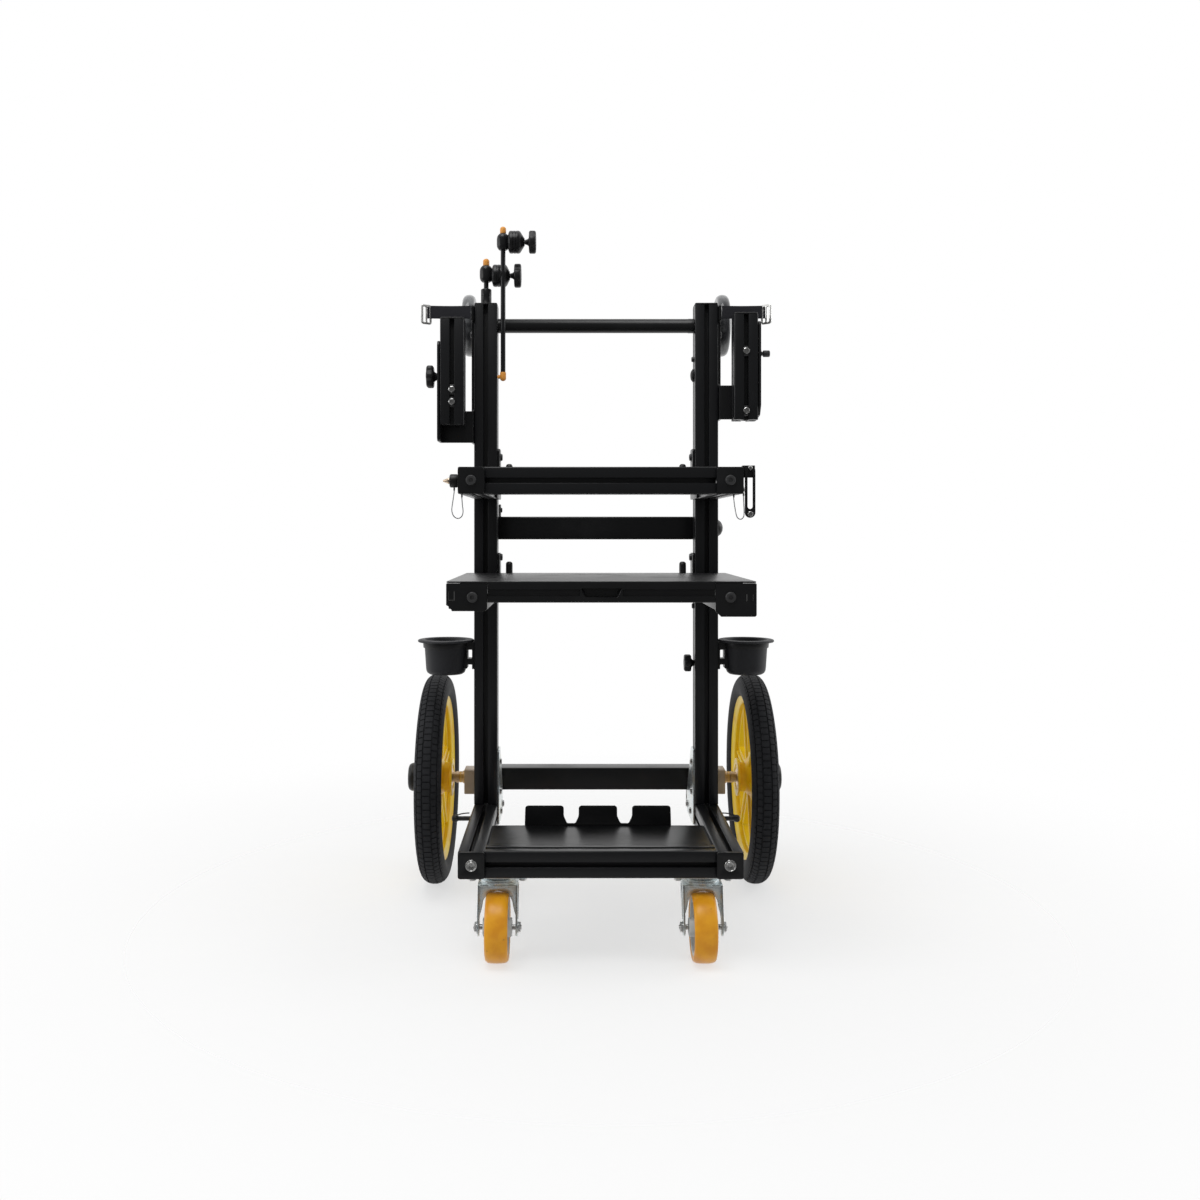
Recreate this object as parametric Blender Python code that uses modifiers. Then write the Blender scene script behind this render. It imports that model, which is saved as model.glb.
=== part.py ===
"""Sound cart.

A slotted-rail frame on two spoked wheels and two swivel casters, with a tray, two shelves,
cup holders, side wings, transport rollers and a jointed microphone arm.

Lengths are metres. X runs to the cart's right, Y to its back and Z up. Sizes along Y are
measured from the front face of the base, and node() moves them so that the origin lies on
the floor under the middle of the cart.
"""
import math

import bmesh
import bpy
from mathutils import Matrix, Vector

# Fits
GAP = 0.0003  # left between two pieces that touch
PIN_FIT = 0.0003  # radial clearance of a pin, bolt or rod in its bore

# Slotted rail and square tube
RAIL = 0.040
RAIL_CORNER = 0.002
SLOT_MOUTH = 0.008
SLOT_ROOM = 0.0165
SLOT_LIP = 0.0045
SLOT_DEPTH = 0.0125
RAIL_BORE = 0.0046
TUBE_WALL = 0.003

# Frame
FRAME_WIDTH = 0.420
BASE_DEPTH = 0.470
END_PLATE = 0.005
PLATE_CORNER = 0.004
CASTER_HEIGHT = 0.128
UPRIGHT_FRONT = 0.304
UPRIGHT_LENGTH = 0.860
RAIL_CAP = 0.003
CAP_INSET = 0.0003  # the caps stand back from the rails' faces
JOINT_DEPTH = 0.0008  # how far pieces that are one solid run into each other
PUSH_BAR_RADIUS = 0.0125
PUSH_BAR_DROP = 0.034
CROSSBAR_BOTTOM = 0.6235
CROSSBAR_NUT_RADIUS = 0.016
CROSSBAR_NUT_HEIGHT = 0.012
AXLE_FROM_REAR = 0.031

# Corner gussets
GUSSET = 0.003
GUSSET_DEPTH = 0.111
GUSSET_RISE = 0.094
GUSSET_INSET = 0.004

# Tray
TRAY_SHEET = 0.002
TRAY_DEPTH = 0.132
TRAY_RECESS = 0.004
TRAY_FLANGE = 0.022
TAB_WIDTH = 0.062
TAB_PITCH = 0.086
TAB_HEIGHT = 0.032
TAB_CORNER = 0.005
TAB_FLARE = 0.003

# Wheels
WHEEL_OFFSET = 0.288
TYRE_WIDTH = 0.043
RIM_RADIUS = 0.148
RIM_WIDTH = 0.036
RIM_THICKNESS = 0.013
SPOKES = 6
SPOKE_WIDTH = 0.024
SPOKE_THICKNESS = 0.012
HUB_FLANGE_RADIUS = 0.034
HUB_RADIUS = 0.026
HUB_INNER = 0.029
HUB_OUTER = 0.030
HUB_LIP = 0.005
BEARING_RADIUS = 0.016
BEARING_WIDTH = 0.010
SPINDLE_RADIUS = 0.007
SPACER_RADIUS = 0.010
HUB_CAP_RADIUS = 0.0255
HUB_CAP_LENGTH = 0.021
AXLE_BLOCK_LENGTH = 0.027
AXLE_BLOCK_DROP = 0.008
AXLE_BLOCK_HEIGHT = 0.045

# Wheel-lock pins
LOCK_PIN_BACK = 0.330
LOCK_PIN_HEIGHT = 0.138
LOCK_PIN_RADIUS = 0.004
LOCK_PIN_REACH = 0.041
LOCK_PIN_LENGTH = 0.063
LOCK_KNOB_RADIUS = 0.0065
LOCK_GUIDE_RADIUS = 0.009
LOCK_GUIDE_LENGTH = 0.008
LOCK_PIN_OFF_SPOKE = 15.0

# Casters
CASTER_BACK = 0.050
CASTER_TRAIL = 0.027
CASTER_WHEEL_RADIUS = 0.051
CASTER_TREAD_WIDTH = 0.034
CASTER_CORE_RADIUS = 0.041
CASTER_HUB_RADIUS = 0.014
CASTER_HUB_WIDTH = 0.043
CASTER_WEB = 0.012
CASTER_AXLE_RADIUS = 0.004
CASTER_PLATE = 0.004
CASTER_PLATE_WIDTH = 0.095
CASTER_PLATE_DEPTH = 0.067
CASTER_BOLT_WIDTH = 0.075
CASTER_BOLT_DEPTH = 0.050
CASTER_RACE_RADIUS = 0.027
CASTER_RACE_HEIGHT = 0.0045
CASTER_CROWN_HEIGHT = 0.0094
CASTER_HEAD_HEIGHT = 0.005
FORK_INSIDE = 0.054
FORK_SHEET = 0.003
FORK_FOOT_RADIUS = 0.013
FORK_CROWN_DEPTH = 0.050
KINGPIN_RADIUS = 0.006

# Upper shelf frame
UPPER_TOP = 0.733
BRACKET_SHEET = 0.004
BRACKET_REACH = 0.064
UPPER_BRACKET_RISE = 0.047
UPPER_SCREW_RISE = 0.033
LATCH_BACK = 0.025
LATCH_RADIUS = 0.010
LATCH_LENGTH = 0.0137
LATCH_PIN_RADIUS = 0.0028
LATCH_TIP_RADIUS = 0.0045
LATCH_TIP_LENGTH = 0.009
LINK_FRONT = 0.009
LINK_SHEET = 0.003
LINK_WIDTH = 0.0156
LINK_LENGTH = 0.077
LINK_SLOT = 0.0076
LINK_SLOT_LENGTH = 0.0564
LINK_HOLE = 0.0021
LINK_SCREW_RADIUS = 0.0042
ANCHOR_BACK = 0.032
ANCHOR_DROP = 0.013  # below the middle of the upper rails

# Clamping levers
LEVER_HUB_RADIUS = 0.009
LEVER_INNER = 0.145
LEVER_WIDTH = 0.011
LEVER_REACH = 0.041
LEVER_TIP_RADIUS = 0.0055

# Mid shelf
SHELF_WIDTH = 0.445
SHELF_OVERHANG = 0.039
SHELF_TOP = 0.5665
SHELF_SHEET = 0.0025
SHELF_BAR_HEIGHT = 0.0306
SHELF_BAR_DEPTH = 0.020
SHELF_GROOVE = 0.009
SHELF_GROOVE_DEPTH = 0.003
FINGER_WIDTH = 0.056
FINGER_HEIGHT = 0.012
FINGER_DEPTH = 0.008
SHELF_RAIL_INSET = 0.005
SHELF_PLATE_WIDTH = 0.059
SHELF_PLATE_DROP_LEFT = 0.040
SHELF_PLATE_DROP_RIGHT = 0.048
SHELF_BRACKET_RISE = 0.034
SHELF_SCREW_RISE = 0.0265

# Cups
CUP_CENTRE = 0.260
CUP_FLANGE_RADIUS = 0.0485
CUP_FLANGE = 0.003
CUP_RADIUS = 0.0365
CUP_FOOT_RADIUS = 0.0325
CUP_TOP = 0.451
CUP_HEIGHT = 0.060
CUP_WALL = 0.0025
CUP_FIT = 0.0006
CUP_RING_WALL = 0.004
CUP_RING_HEIGHT = 0.011
CUP_KNOB_HEIGHT = 0.4095
CUP_KNOB_RADIUS = 0.0155
CUP_KNOB_LENGTH = 0.017
CUP_KNOB_STEM = 0.004
CUP_BRACKET_SHEET = 0.0035
CUP_BRACKET_DROP = 0.051
CUP_BRACKET_DEPTH = 0.028
CUP_POST_WIDTH = 0.007
CUP_POST_DEPTH = 0.006
CUP_ARM_RISE = 0.008
CUP_ARM_HEIGHT = 0.010

# Wings
WING_OFFSET = 0.248
WING_FRONT = 0.250
WING_BOTTOM_LEFT = 0.817
WING_BOTTOM_RIGHT = 0.825
WING_LENGTH = 0.177
SIDE_PLATE = 0.004
WING_FLANGE_OFFSET = 0.273
WING_ARM_LEFT = (0.789, 0.843)
WING_ARM_RIGHT = (0.829, 0.887)
WING_FLANGE_TOP_LEFT = 0.958
WING_FLANGE_TOP_RIGHT = 0.991
WING_KNOB_HEIGHT = 0.899
WING_KNOB_RADIUS = 0.020
WING_KNOB_LENGTH = 0.0125
WING_KNOB_STEM = 0.005
WING_STUD_HEIGHT = 0.938
WING_SCREWS_LEFT = (0.8755, 0.8546)
WING_SCREWS_RIGHT = (0.940, 0.840)

# Straps and buckles
STRAP_THICKNESS = 0.003
STRAP_WIDTH = 0.022
STRAP_DROP = 0.0265
STRAP_END = 0.282
BUCKLE_WIDTH = 0.020
BUCKLE_HEIGHT = 0.036
BUCKLE_SHEET = 0.002
BUCKLE_SAG = 0.005

# Transport rollers
ROLLER_RADIUS = 0.055
ROLLER_WIDTH = 0.024
ROLLER_ROUNDING = 0.005
ROLLER_INNER = 0.215
ROLLER_BACK = 0.405
ROLLER_HEIGHT = 1.008
ROLLER_AXLE_RADIUS = 0.005
ROLLER_EAR_RADIUS = 0.018

# Microphone arm
ARM_BACK = 0.318
ARM_BASE_RADIUS = 0.009
ARM_BASE_RISE = 0.026  # above the upright's cap
ARM_NECK_RADIUS = 0.00415
ARM_TIP_RADIUS = 0.0055
ARM_TIP_LENGTH = 0.0125
ARM_COLLAR_RADIUS = 0.010
ARM_COLLAR_RISE = 0.012
ARM_COLLAR_LENGTH = 0.0275
ARM_HEAD_RADIUS = 0.0205
ARM_HEAD_RISE = 0.011  # above the collar's foot
ARM_HEAD_SPLIT = 0.1660
ARM_HEAD_OUTER = 0.149
ARM_ROD_ACROSS = 0.160
ARM_ROD_BACK = 0.303
ARM_ROD_LENGTH = 0.238
ARM_ROD_PAST = 0.001  # past the upper collar
ARM_UPPER_RISE = 0.041  # above the lower head's middle
ARM_UPPER_LENGTH = 0.027
ARM_UPPER_COLLAR_RADIUS = 0.009
ARM_UPPER_RADIUS = 0.020
ARM_LOW_TIP_LENGTH = 0.0155
ARM_ROD_TIP_RADIUS = 0.005
ARM_UPPER_KNOB_RADIUS = 0.0195
ARM_UPPER_OUTER = 0.123
ARM_KNOB_RADIUS = 0.0205
ARM_KNOB_LENGTH = 0.0130
ARM_KNOB_STEM = 0.0065
ARM_KNOB_STEM_RADIUS = 0.004

# Screws and the end plates' bolts
SCREW_HEAD_RADIUS = 0.0055
SCREW_HEAD_HEIGHT = 0.0035
FLAT_HEAD_RADIUS = 0.0085
FLAT_HEAD_HEIGHT = 0.0006
BOLT_HEAD_RADIUS = 0.0078
BOLT_HEAD_HEIGHT = 0.0045
BOLT_RADIUS = 0.0040
BOLT_LENGTH = 0.018

# Sides of round pieces
WHEEL_SIDES = 32
ROUND_SIDES = 20
HUB_SIDES = 16
SMALL_SIDES = 12
SCREW_SIDES = 8

# Wire lanyards
WIRE_RADIUS = 0.00075
WIRE_STEP = 0.0042

# Places that follow from the sizes above
OUTER = FRAME_WIDTH / 2
AXLE_FROM_FRONT = BASE_DEPTH - AXLE_FROM_REAR
INNER = OUTER - RAIL
MIDDLE = OUTER - RAIL / 2
BASE_BOTTOM = CASTER_HEIGHT
BASE_TOP = BASE_BOTTOM + RAIL
BASE_MIDDLE = BASE_BOTTOM + RAIL / 2
AXLE_HEIGHT = BASE_TOP + RAIL / 2
WHEEL_RADIUS = AXLE_HEIGHT  # the tyre reaches the floor
UPRIGHT_MIDDLE = UPRIGHT_FRONT + RAIL / 2
UPRIGHT_BACK = UPRIGHT_FRONT + RAIL
UPRIGHT_TOP = BASE_TOP + UPRIGHT_LENGTH
CASTER_ACROSS = MIDDLE - CASTER_BOLT_WIDTH / 2
CASTER_PLATE_BOTTOM = BASE_BOTTOM - GAP - CASTER_PLATE
AXLE_BLOCK_OUTER = OUTER + AXLE_BLOCK_LENGTH
UPPER_MIDDLE = UPPER_TOP - RAIL / 2
ANCHOR_HEIGHT = UPPER_MIDDLE - ANCHOR_DROP
ARM_BASE_TOP = UPRIGHT_TOP + RAIL_CAP + ARM_BASE_RISE
ARM_COLLAR_BOTTOM = ARM_BASE_TOP + ARM_COLLAR_RISE
ARM_COLLAR_TOP = ARM_COLLAR_BOTTOM + ARM_COLLAR_LENGTH
ARM_HEAD_HEIGHT = ARM_COLLAR_BOTTOM + ARM_HEAD_RISE
ARM_UPPER_BOTTOM = ARM_HEAD_HEIGHT + ARM_UPPER_RISE
ARM_UPPER_TOP = ARM_UPPER_BOTTOM + ARM_UPPER_LENGTH
ARM_ROD_TOP = ARM_UPPER_TOP + ARM_ROD_PAST
ARM_ROD_BOTTOM = ARM_ROD_TOP - ARM_ROD_LENGTH
LINK_PIVOT = UPPER_TOP - 0.0017
LINK_ACROSS = OUTER + 0.0025 + LINK_WIDTH / 2
SHELF_RAIL_TOP = SHELF_TOP - SHELF_SHEET - GAP
SHELF_RAIL_MIDDLE = SHELF_RAIL_TOP - RAIL / 2
SHELF_INNER = INNER - SHELF_RAIL_INSET
FRONT = (SHELF_OVERHANG + BOLT_HEAD_HEIGHT - AXLE_FROM_FRONT - WHEEL_RADIUS) / 2
HANDS = ((-1, "left"), (1, "right"))


def clear_scene():
    for obj in list(bpy.data.objects):
        bpy.data.objects.remove(obj, do_unlink=True)


def new_collection(name):
    collection = bpy.data.collections.new(name)
    bpy.context.scene.collection.children.link(collection)
    return collection


def new_material(name, color, roughness, metallic=0.0):
    material = bpy.data.materials.new(name)
    material.use_nodes = True
    shader = material.node_tree.nodes["Principled BSDF"]
    shader.inputs["Base Color"].default_value = (*color, 1.0)
    shader.inputs["Roughness"].default_value = roughness
    shader.inputs["Metallic"].default_value = metallic
    material.diffuse_color = (*color, 1.0)
    return material


def evaluated_mesh(obj):
    """The mesh that the object shows, welded; the object itself is removed."""
    bpy.context.view_layer.update()
    depsgraph = bpy.context.evaluated_depsgraph_get()
    mesh = bpy.data.meshes.new_from_object(obj.evaluated_get(depsgraph))
    bpy.data.objects.remove(obj, do_unlink=True)
    weld = bmesh.new()
    weld.from_mesh(mesh)
    bmesh.ops.remove_doubles(weld, verts=weld.verts, dist=0.000002)
    weld.to_mesh(mesh)
    weld.free()
    return mesh


def flat_mesh(outline, thickness, holes=()):
    """A flat plate in the XY plane, centred on it, from a closed outline and its holes."""
    curve = bpy.data.curves.new("outline", "CURVE")
    curve.dimensions = "2D"
    curve.fill_mode = "BOTH"
    curve.extrude = thickness / 2
    for loop in (outline, *holes):
        spline = curve.splines.new("POLY")
        spline.points.add(len(loop) - 1)
        for point, (across, along) in zip(spline.points, loop):
            point.co = (across, along, 0.0, 1.0)
        spline.use_cyclic_u = True
    obj = bpy.data.objects.new("outline", curve)
    bpy.context.scene.collection.objects.link(obj)
    return evaluated_mesh(obj)


def circle(across, along, radius, steps=SMALL_SIDES):
    turn = 2 * math.pi / steps
    return [(across + radius * math.cos(i * turn), along + radius * math.sin(i * turn))
            for i in range(steps)]


def rounded(corners, radius, steps=2):
    """The corners as arcs of one radius, drawn as quadratic curves with a few points."""
    points = []
    for i, corner in enumerate(corners):
        here = Vector(corner)
        before = (Vector(corners[i - 1]) - here)
        after = (Vector(corners[(i + 1) % len(corners)]) - here)
        reach = min(radius, before.length * 0.45, after.length * 0.45)
        start = here + before.normalized() * reach
        end = here + after.normalized() * reach
        for k in range(steps + 1):
            t = k / steps
            points.append(tuple(start * (1 - t) ** 2 + here * 2 * t * (1 - t) + end * t ** 2))
    return points


def rectangle(low, high, radius, steps=2):
    corners = [(low[0], low[1]), (high[0], low[1]), (high[0], high[1]), (low[0], high[1])]
    return rounded(corners, radius, steps)


def capsule(start, end, start_radius, end_radius, steps=5):
    """Outline of two round ends and the straight sides between them."""
    start = Vector(start)
    end = Vector(end)
    heading = math.atan2((end - start).y, (end - start).x)
    points = []
    for centre, radius, first in ((end, end_radius, -90.0), (start, start_radius, 90.0)):
        for k in range(steps + 1):
            turn = heading + math.radians(first + 180.0 * k / steps)
            points.append((centre.x + radius * math.cos(turn), centre.y + radius * math.sin(turn)))
    return points


def star(across, along, radius, lobes=6, depth=0.16):
    """Outline of a lobed knob, four points to a lobe, of which one is in the hollow."""
    points = []
    for i in range(4 * lobes):
        turn = math.pi * i / (2 * lobes)
        reach = radius * (1 - depth * (0.0, 0.35, 1.0, 0.35)[i % 4])
        points.append((across + reach * math.sin(turn), along + reach * math.cos(turn)))
    return points


def slot_outline():
    """Outline of the slotted rail: ten points on each side, corners cut."""
    half = RAIL / 2
    mouth = SLOT_MOUTH / 2
    room = SLOT_ROOM / 2
    lip = half - SLOT_LIP
    floor = half - SLOT_DEPTH
    side = [(half, -half + RAIL_CORNER), (half, -mouth), (lip, -mouth), (lip, -room),
            (floor, -mouth), (floor, mouth), (lip, room), (lip, mouth), (half, mouth),
            (half, half - RAIL_CORNER)]
    points = []
    for quarter in range(4):
        turn = Matrix.Rotation(math.radians(90 * quarter), 2)
        points += [tuple(turn @ Vector(point)) for point in side]
    return points


AXIS_TURNS = {
    "x": Matrix(((0, 0, 1, 0), (1, 0, 0, 0), (0, 1, 0, 0), (0, 0, 0, 1))),
    "y": Matrix(((1, 0, 0, 0), (0, 0, 1, 0), (0, 1, 0, 0), (0, 0, 0, 1))),
    "z": Matrix.Identity(4),
}


def along_axis(axis, distance, across):
    """A point on a line parallel to an axis, from its two other coordinates in order."""
    index = "xyz".index(axis)
    point = list(across)
    point.insert(index, distance)
    return Vector(point)


class Body:
    """Closed solids gathered in cart coordinates before they become one node."""

    def __init__(self):
        self.bm = bmesh.new()

    def add(self, mesh, matrix):
        first = len(self.bm.verts)
        self.bm.from_mesh(mesh)
        self.bm.verts.ensure_lookup_table()
        bmesh.ops.transform(self.bm, matrix=matrix, verts=self.bm.verts[first:])
        bpy.data.meshes.remove(mesh)
        return self

    def box(self, low, high):
        size = [abs(b - a) for a, b in zip(low, high)]
        centre = [(a + b) / 2 for a, b in zip(low, high)]
        place = Matrix.Translation(centre) @ Matrix.Diagonal((*size, 1.0))
        bmesh.ops.create_cube(self.bm, size=1.0, matrix=place)
        return self

    def rod(self, start, end, radius, end_radius=None, steps=SMALL_SIDES):
        start = Vector(start)
        end = Vector(end)
        line = end - start
        place = Matrix.Translation((start + end) / 2) @ line.to_track_quat("Z", "Y").to_matrix().to_4x4()
        bmesh.ops.create_cone(self.bm, cap_ends=True, segments=steps, radius1=radius,
                              radius2=radius if end_radius is None else end_radius,
                              depth=line.length, matrix=place)
        return self

    def turned(self, profile, origin, direction, steps=SMALL_SIDES):
        """A profile of (radius, distance) turned about the line through origin."""
        edges = [(i, i + 1) for i in range(len(profile) - 1)]
        if profile[0][0] > 0:
            edges.append((len(profile) - 1, 0))
        mesh = bpy.data.meshes.new("profile")
        mesh.from_pydata([(radius, 0.0, distance) for radius, distance in profile], edges, [])
        obj = bpy.data.objects.new("profile", mesh)
        bpy.context.scene.collection.objects.link(obj)
        turn = obj.modifiers.new("turn", "SCREW")
        turn.steps = steps
        turn.render_steps = steps
        turn.use_merge_vertices = True
        turn.merge_threshold = 0.00001
        aim = Vector(direction).to_track_quat("Z", "Y").to_matrix().to_4x4()
        return self.add(evaluated_mesh(obj), Matrix.Translation(origin) @ aim)

    def sheet(self, axis, outline, low, high, holes=()):
        """A plate square to an axis, between two distances along it."""
        middle = along_axis(axis, (low + high) / 2, (0.0, 0.0))
        mesh = flat_mesh(outline, abs(high - low), holes)
        return self.add(mesh, Matrix.Translation(middle) @ AXIS_TURNS[axis])

    def rail(self, axis, low, high, across):
        """A slotted rail along an axis, bored through its middle."""
        middle = along_axis(axis, (low + high) / 2, across)
        mesh = flat_mesh(slot_outline(), abs(high - low), [circle(0, 0, RAIL_BORE, SCREW_SIDES)])
        return self.add(mesh, Matrix.Translation(middle) @ AXIS_TURNS[axis])

    def tube(self, axis, low, high, across):
        """A square tube along an axis, open at its ends."""
        middle = along_axis(axis, (low + high) / 2, across)
        half = RAIL / 2
        inside = half - TUBE_WALL
        hole = [(-inside, -inside), (inside, -inside), (inside, inside), (-inside, inside)]
        mesh = flat_mesh(rectangle((-half, -half), (half, half), RAIL_CORNER, 1), abs(high - low), [hole])
        return self.add(mesh, Matrix.Translation(middle) @ AXIS_TURNS[axis])

    def head(self, seat, direction, radius=SCREW_HEAD_RADIUS, height=SCREW_HEAD_HEIGHT, steps=SCREW_SIDES):
        """A screw's head that stands on the seat."""
        profile = [(0.0, height), (radius * 0.88, height), (radius, -JOINT_DEPTH), (0.0, -JOINT_DEPTH)]
        return self.turned(profile, seat, direction, steps)

    def bolt(self, seat, direction, steps=SMALL_SIDES):
        """An end plate's bolt: its head on the seat and its shank in the rail's bore behind."""
        profile = [(0.0, BOLT_HEAD_HEIGHT), (BOLT_HEAD_RADIUS * 0.88, BOLT_HEAD_HEIGHT),
                   (BOLT_HEAD_RADIUS, -JOINT_DEPTH), (BOLT_RADIUS, -JOINT_DEPTH),
                   (BOLT_RADIUS, -BOLT_LENGTH), (0.0, -BOLT_LENGTH)]
        return self.turned(profile, seat, direction, steps)


def to_object(name, body, origin):
    bmesh.ops.recalc_face_normals(body.bm, faces=body.bm.faces)
    bmesh.ops.translate(body.bm, vec=-Vector(origin), verts=body.bm.verts)
    mesh = bpy.data.meshes.new(name)
    body.bm.to_mesh(mesh)
    body.bm.free()
    mesh.shade_smooth()
    mesh.set_sharp_from_angle(angle=math.radians(35))
    return bpy.data.objects.new(name, mesh)


def world(point):
    """A point in cart coordinates, moved to the cart's own origin."""
    return Vector(point) + Vector((0.0, FRONT, 0.0))


def put(obj, point, parent):
    """Places an object at a point, under a parent that may have parents of its own."""
    obj.parent = parent
    obj.location = world(point)
    while parent is not None:
        obj.location -= parent.location
        parent = parent.parent
    PARTS.objects.link(obj)
    return obj


def node(name, body, material, origin=(0.0, 0.0, 0.0), parent=None):
    obj = to_object(name, body, origin)
    obj.data.materials.append(material)
    return put(obj, origin, parent)


def pivot(name, point, parent=None):
    """An empty on the axis of a moving piece."""
    empty = bpy.data.objects.new(name, None)
    empty.empty_display_size = 0.02
    return put(empty, point, parent)


def combine(obj, body, operation):
    cutter = to_object(obj.name + "_" + operation.lower(), body, (0.0, 0.0, 0.0))
    cutter.location = world((0.0, 0.0, 0.0))
    cutter.hide_render = True
    cutter.display_type = "WIRE"
    CUTTERS.objects.link(cutter)
    modifier = obj.modifiers.new(operation.lower(), "BOOLEAN")
    modifier.object = cutter
    modifier.operation = operation
    return obj


def weld(obj, body):
    return combine(obj, body, "UNION")


def cut(obj, body):
    return combine(obj, body, "DIFFERENCE")


def span(a, b):
    return (a, b) if a < b else (b, a)


def make_base():
    """The front rail with both side rails, their end plates and the lock-pin guides."""
    reach = INNER + JOINT_DEPTH
    front_rail = Body().rail("x", -reach, reach, (END_PLATE + RAIL / 2, BASE_MIDDLE))
    base = node("base_frame", front_rail, BLACK_ANODISED)
    back = BASE_DEPTH - END_PLATE
    sides = Body()
    plates = Body()
    guides = Body()
    bores = Body()
    for side, _ in HANDS:
        sides.rail("y", END_PLATE, back, (side * MIDDLE, BASE_MIDDLE))
        half = RAIL / 2 - CAP_INSET
        low = (side * MIDDLE - half, BASE_MIDDLE - half)
        high = (side * MIDDLE + half, BASE_MIDDLE + half)
        plate = rectangle(low, high, PLATE_CORNER)
        plates.sheet("y", plate, 0.0, END_PLATE + JOINT_DEPTH)
        plates.sheet("y", plate, back - JOINT_DEPTH, BASE_DEPTH,
                     [circle(side * MIDDLE, BASE_MIDDLE, RAIL_BORE, SCREW_SIDES)])
        axis = (0.0, LOCK_PIN_BACK, LOCK_PIN_HEIGHT)
        end = OUTER + LOCK_GUIDE_LENGTH
        profile = [(0.0, end), (LOCK_GUIDE_RADIUS * 0.7, end), (LOCK_GUIDE_RADIUS, end - 0.004),
                   (LOCK_GUIDE_RADIUS, OUTER - JOINT_DEPTH), (0.0, OUTER - JOINT_DEPTH)]
        guides.turned(profile, axis, (side, 0, 0), HUB_SIDES)
        bores.rod((side * (OUTER - RAIL * 0.75), LOCK_PIN_BACK, LOCK_PIN_HEIGHT),
                  (side * (end + 0.01), LOCK_PIN_BACK, LOCK_PIN_HEIGHT), LOCK_PIN_RADIUS + PIN_FIT,
                  steps=HUB_SIDES)
    weld(base, sides)
    weld(base, plates)
    weld(base, guides)
    cut(base, bores)
    heads = Body()
    for side, _ in HANDS:
        heads.head((side * MIDDLE, 0.0, BASE_MIDDLE), (0, -1, 0), FLAT_HEAD_RADIUS, FLAT_HEAD_HEIGHT,
                   SMALL_SIDES)
    weld(base, heads)


def make_uprights():
    """Two uprights with their caps, the push bar and the crossbar."""
    for side, hand in HANDS:
        foot = (side * MIDDLE, UPRIGHT_MIDDLE, BASE_TOP + GAP)
        upright = Body().rail("z", foot[2], UPRIGHT_TOP, foot[:2])
        upright = node("upright_" + hand, upright, BLACK_ANODISED, foot)
        half = RAIL / 2 - CAP_INSET
        low = (side * MIDDLE - half, UPRIGHT_MIDDLE - half)
        high = (side * MIDDLE + half, UPRIGHT_MIDDLE + half)
        cap = Body().sheet("z", rectangle(low, high, PLATE_CORNER), UPRIGHT_TOP - JOINT_DEPTH,
                           UPRIGHT_TOP + RAIL_CAP)
        weld(upright, cap)
        if side < 0:
            weld(upright, arm_spigot())
    height = UPRIGHT_TOP - PUSH_BAR_DROP
    reach = INNER - GAP
    bar = Body().rod((-reach, UPRIGHT_MIDDLE, height), (reach, UPRIGHT_MIDDLE, height), PUSH_BAR_RADIUS,
                     steps=ROUND_SIDES)
    node("push_bar", bar, BLACK_PAINT, (0.0, UPRIGHT_MIDDLE, height))
    middle = (UPRIGHT_BACK + GAP + RAIL / 2, CROSSBAR_BOTTOM + RAIL / 2)
    crossbar = node("mid_crossbar", Body().tube("x", -OUTER, OUTER, middle), BLACK_PAINT, (0.0, *middle))
    half = RAIL / 2 - CAP_INSET
    low = (middle[0] - half, middle[1] - half)
    high = (middle[0] + half, middle[1] + half)
    start = OUTER - JOINT_DEPTH
    cap = Body().sheet("x", rectangle(low, high, PLATE_CORNER), start, OUTER + RAIL_CAP)
    weld(crossbar, cap)
    radius = CROSSBAR_NUT_RADIUS
    end = OUTER + RAIL_CAP + CROSSBAR_NUT_HEIGHT
    profile = [(0.0, end), (radius * 0.4, end - 0.0005), (radius * 0.85, end - CROSSBAR_NUT_HEIGHT / 2),
               (radius, OUTER + RAIL_CAP + 0.002), (radius, OUTER + RAIL_CAP - JOINT_DEPTH),
               (0.0, OUTER + RAIL_CAP - JOINT_DEPTH)]
    weld(crossbar, Body().turned(profile, (0.0, *middle), (1, 0, 0), ROUND_SIDES))


def arm_spigot():
    """The spigot on the left upright that the microphone arm turns on."""
    foot = UPRIGHT_TOP + RAIL_CAP - JOINT_DEPTH
    tip = ARM_COLLAR_TOP + 0.0005
    profile = [(0.0, tip + ARM_TIP_LENGTH), (ARM_TIP_RADIUS * 0.8, tip + ARM_TIP_LENGTH),
               (ARM_TIP_RADIUS, tip + ARM_TIP_LENGTH - 0.002), (ARM_TIP_RADIUS, tip), (ARM_NECK_RADIUS, tip),
               (ARM_NECK_RADIUS, ARM_BASE_TOP), (ARM_BASE_RADIUS, ARM_BASE_TOP - 0.002), (ARM_BASE_RADIUS,
                                                                                          foot),
               (0.0, foot)]
    return Body().turned(profile, (-MIDDLE, ARM_BACK, 0.0), (0, 0, 1))


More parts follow.
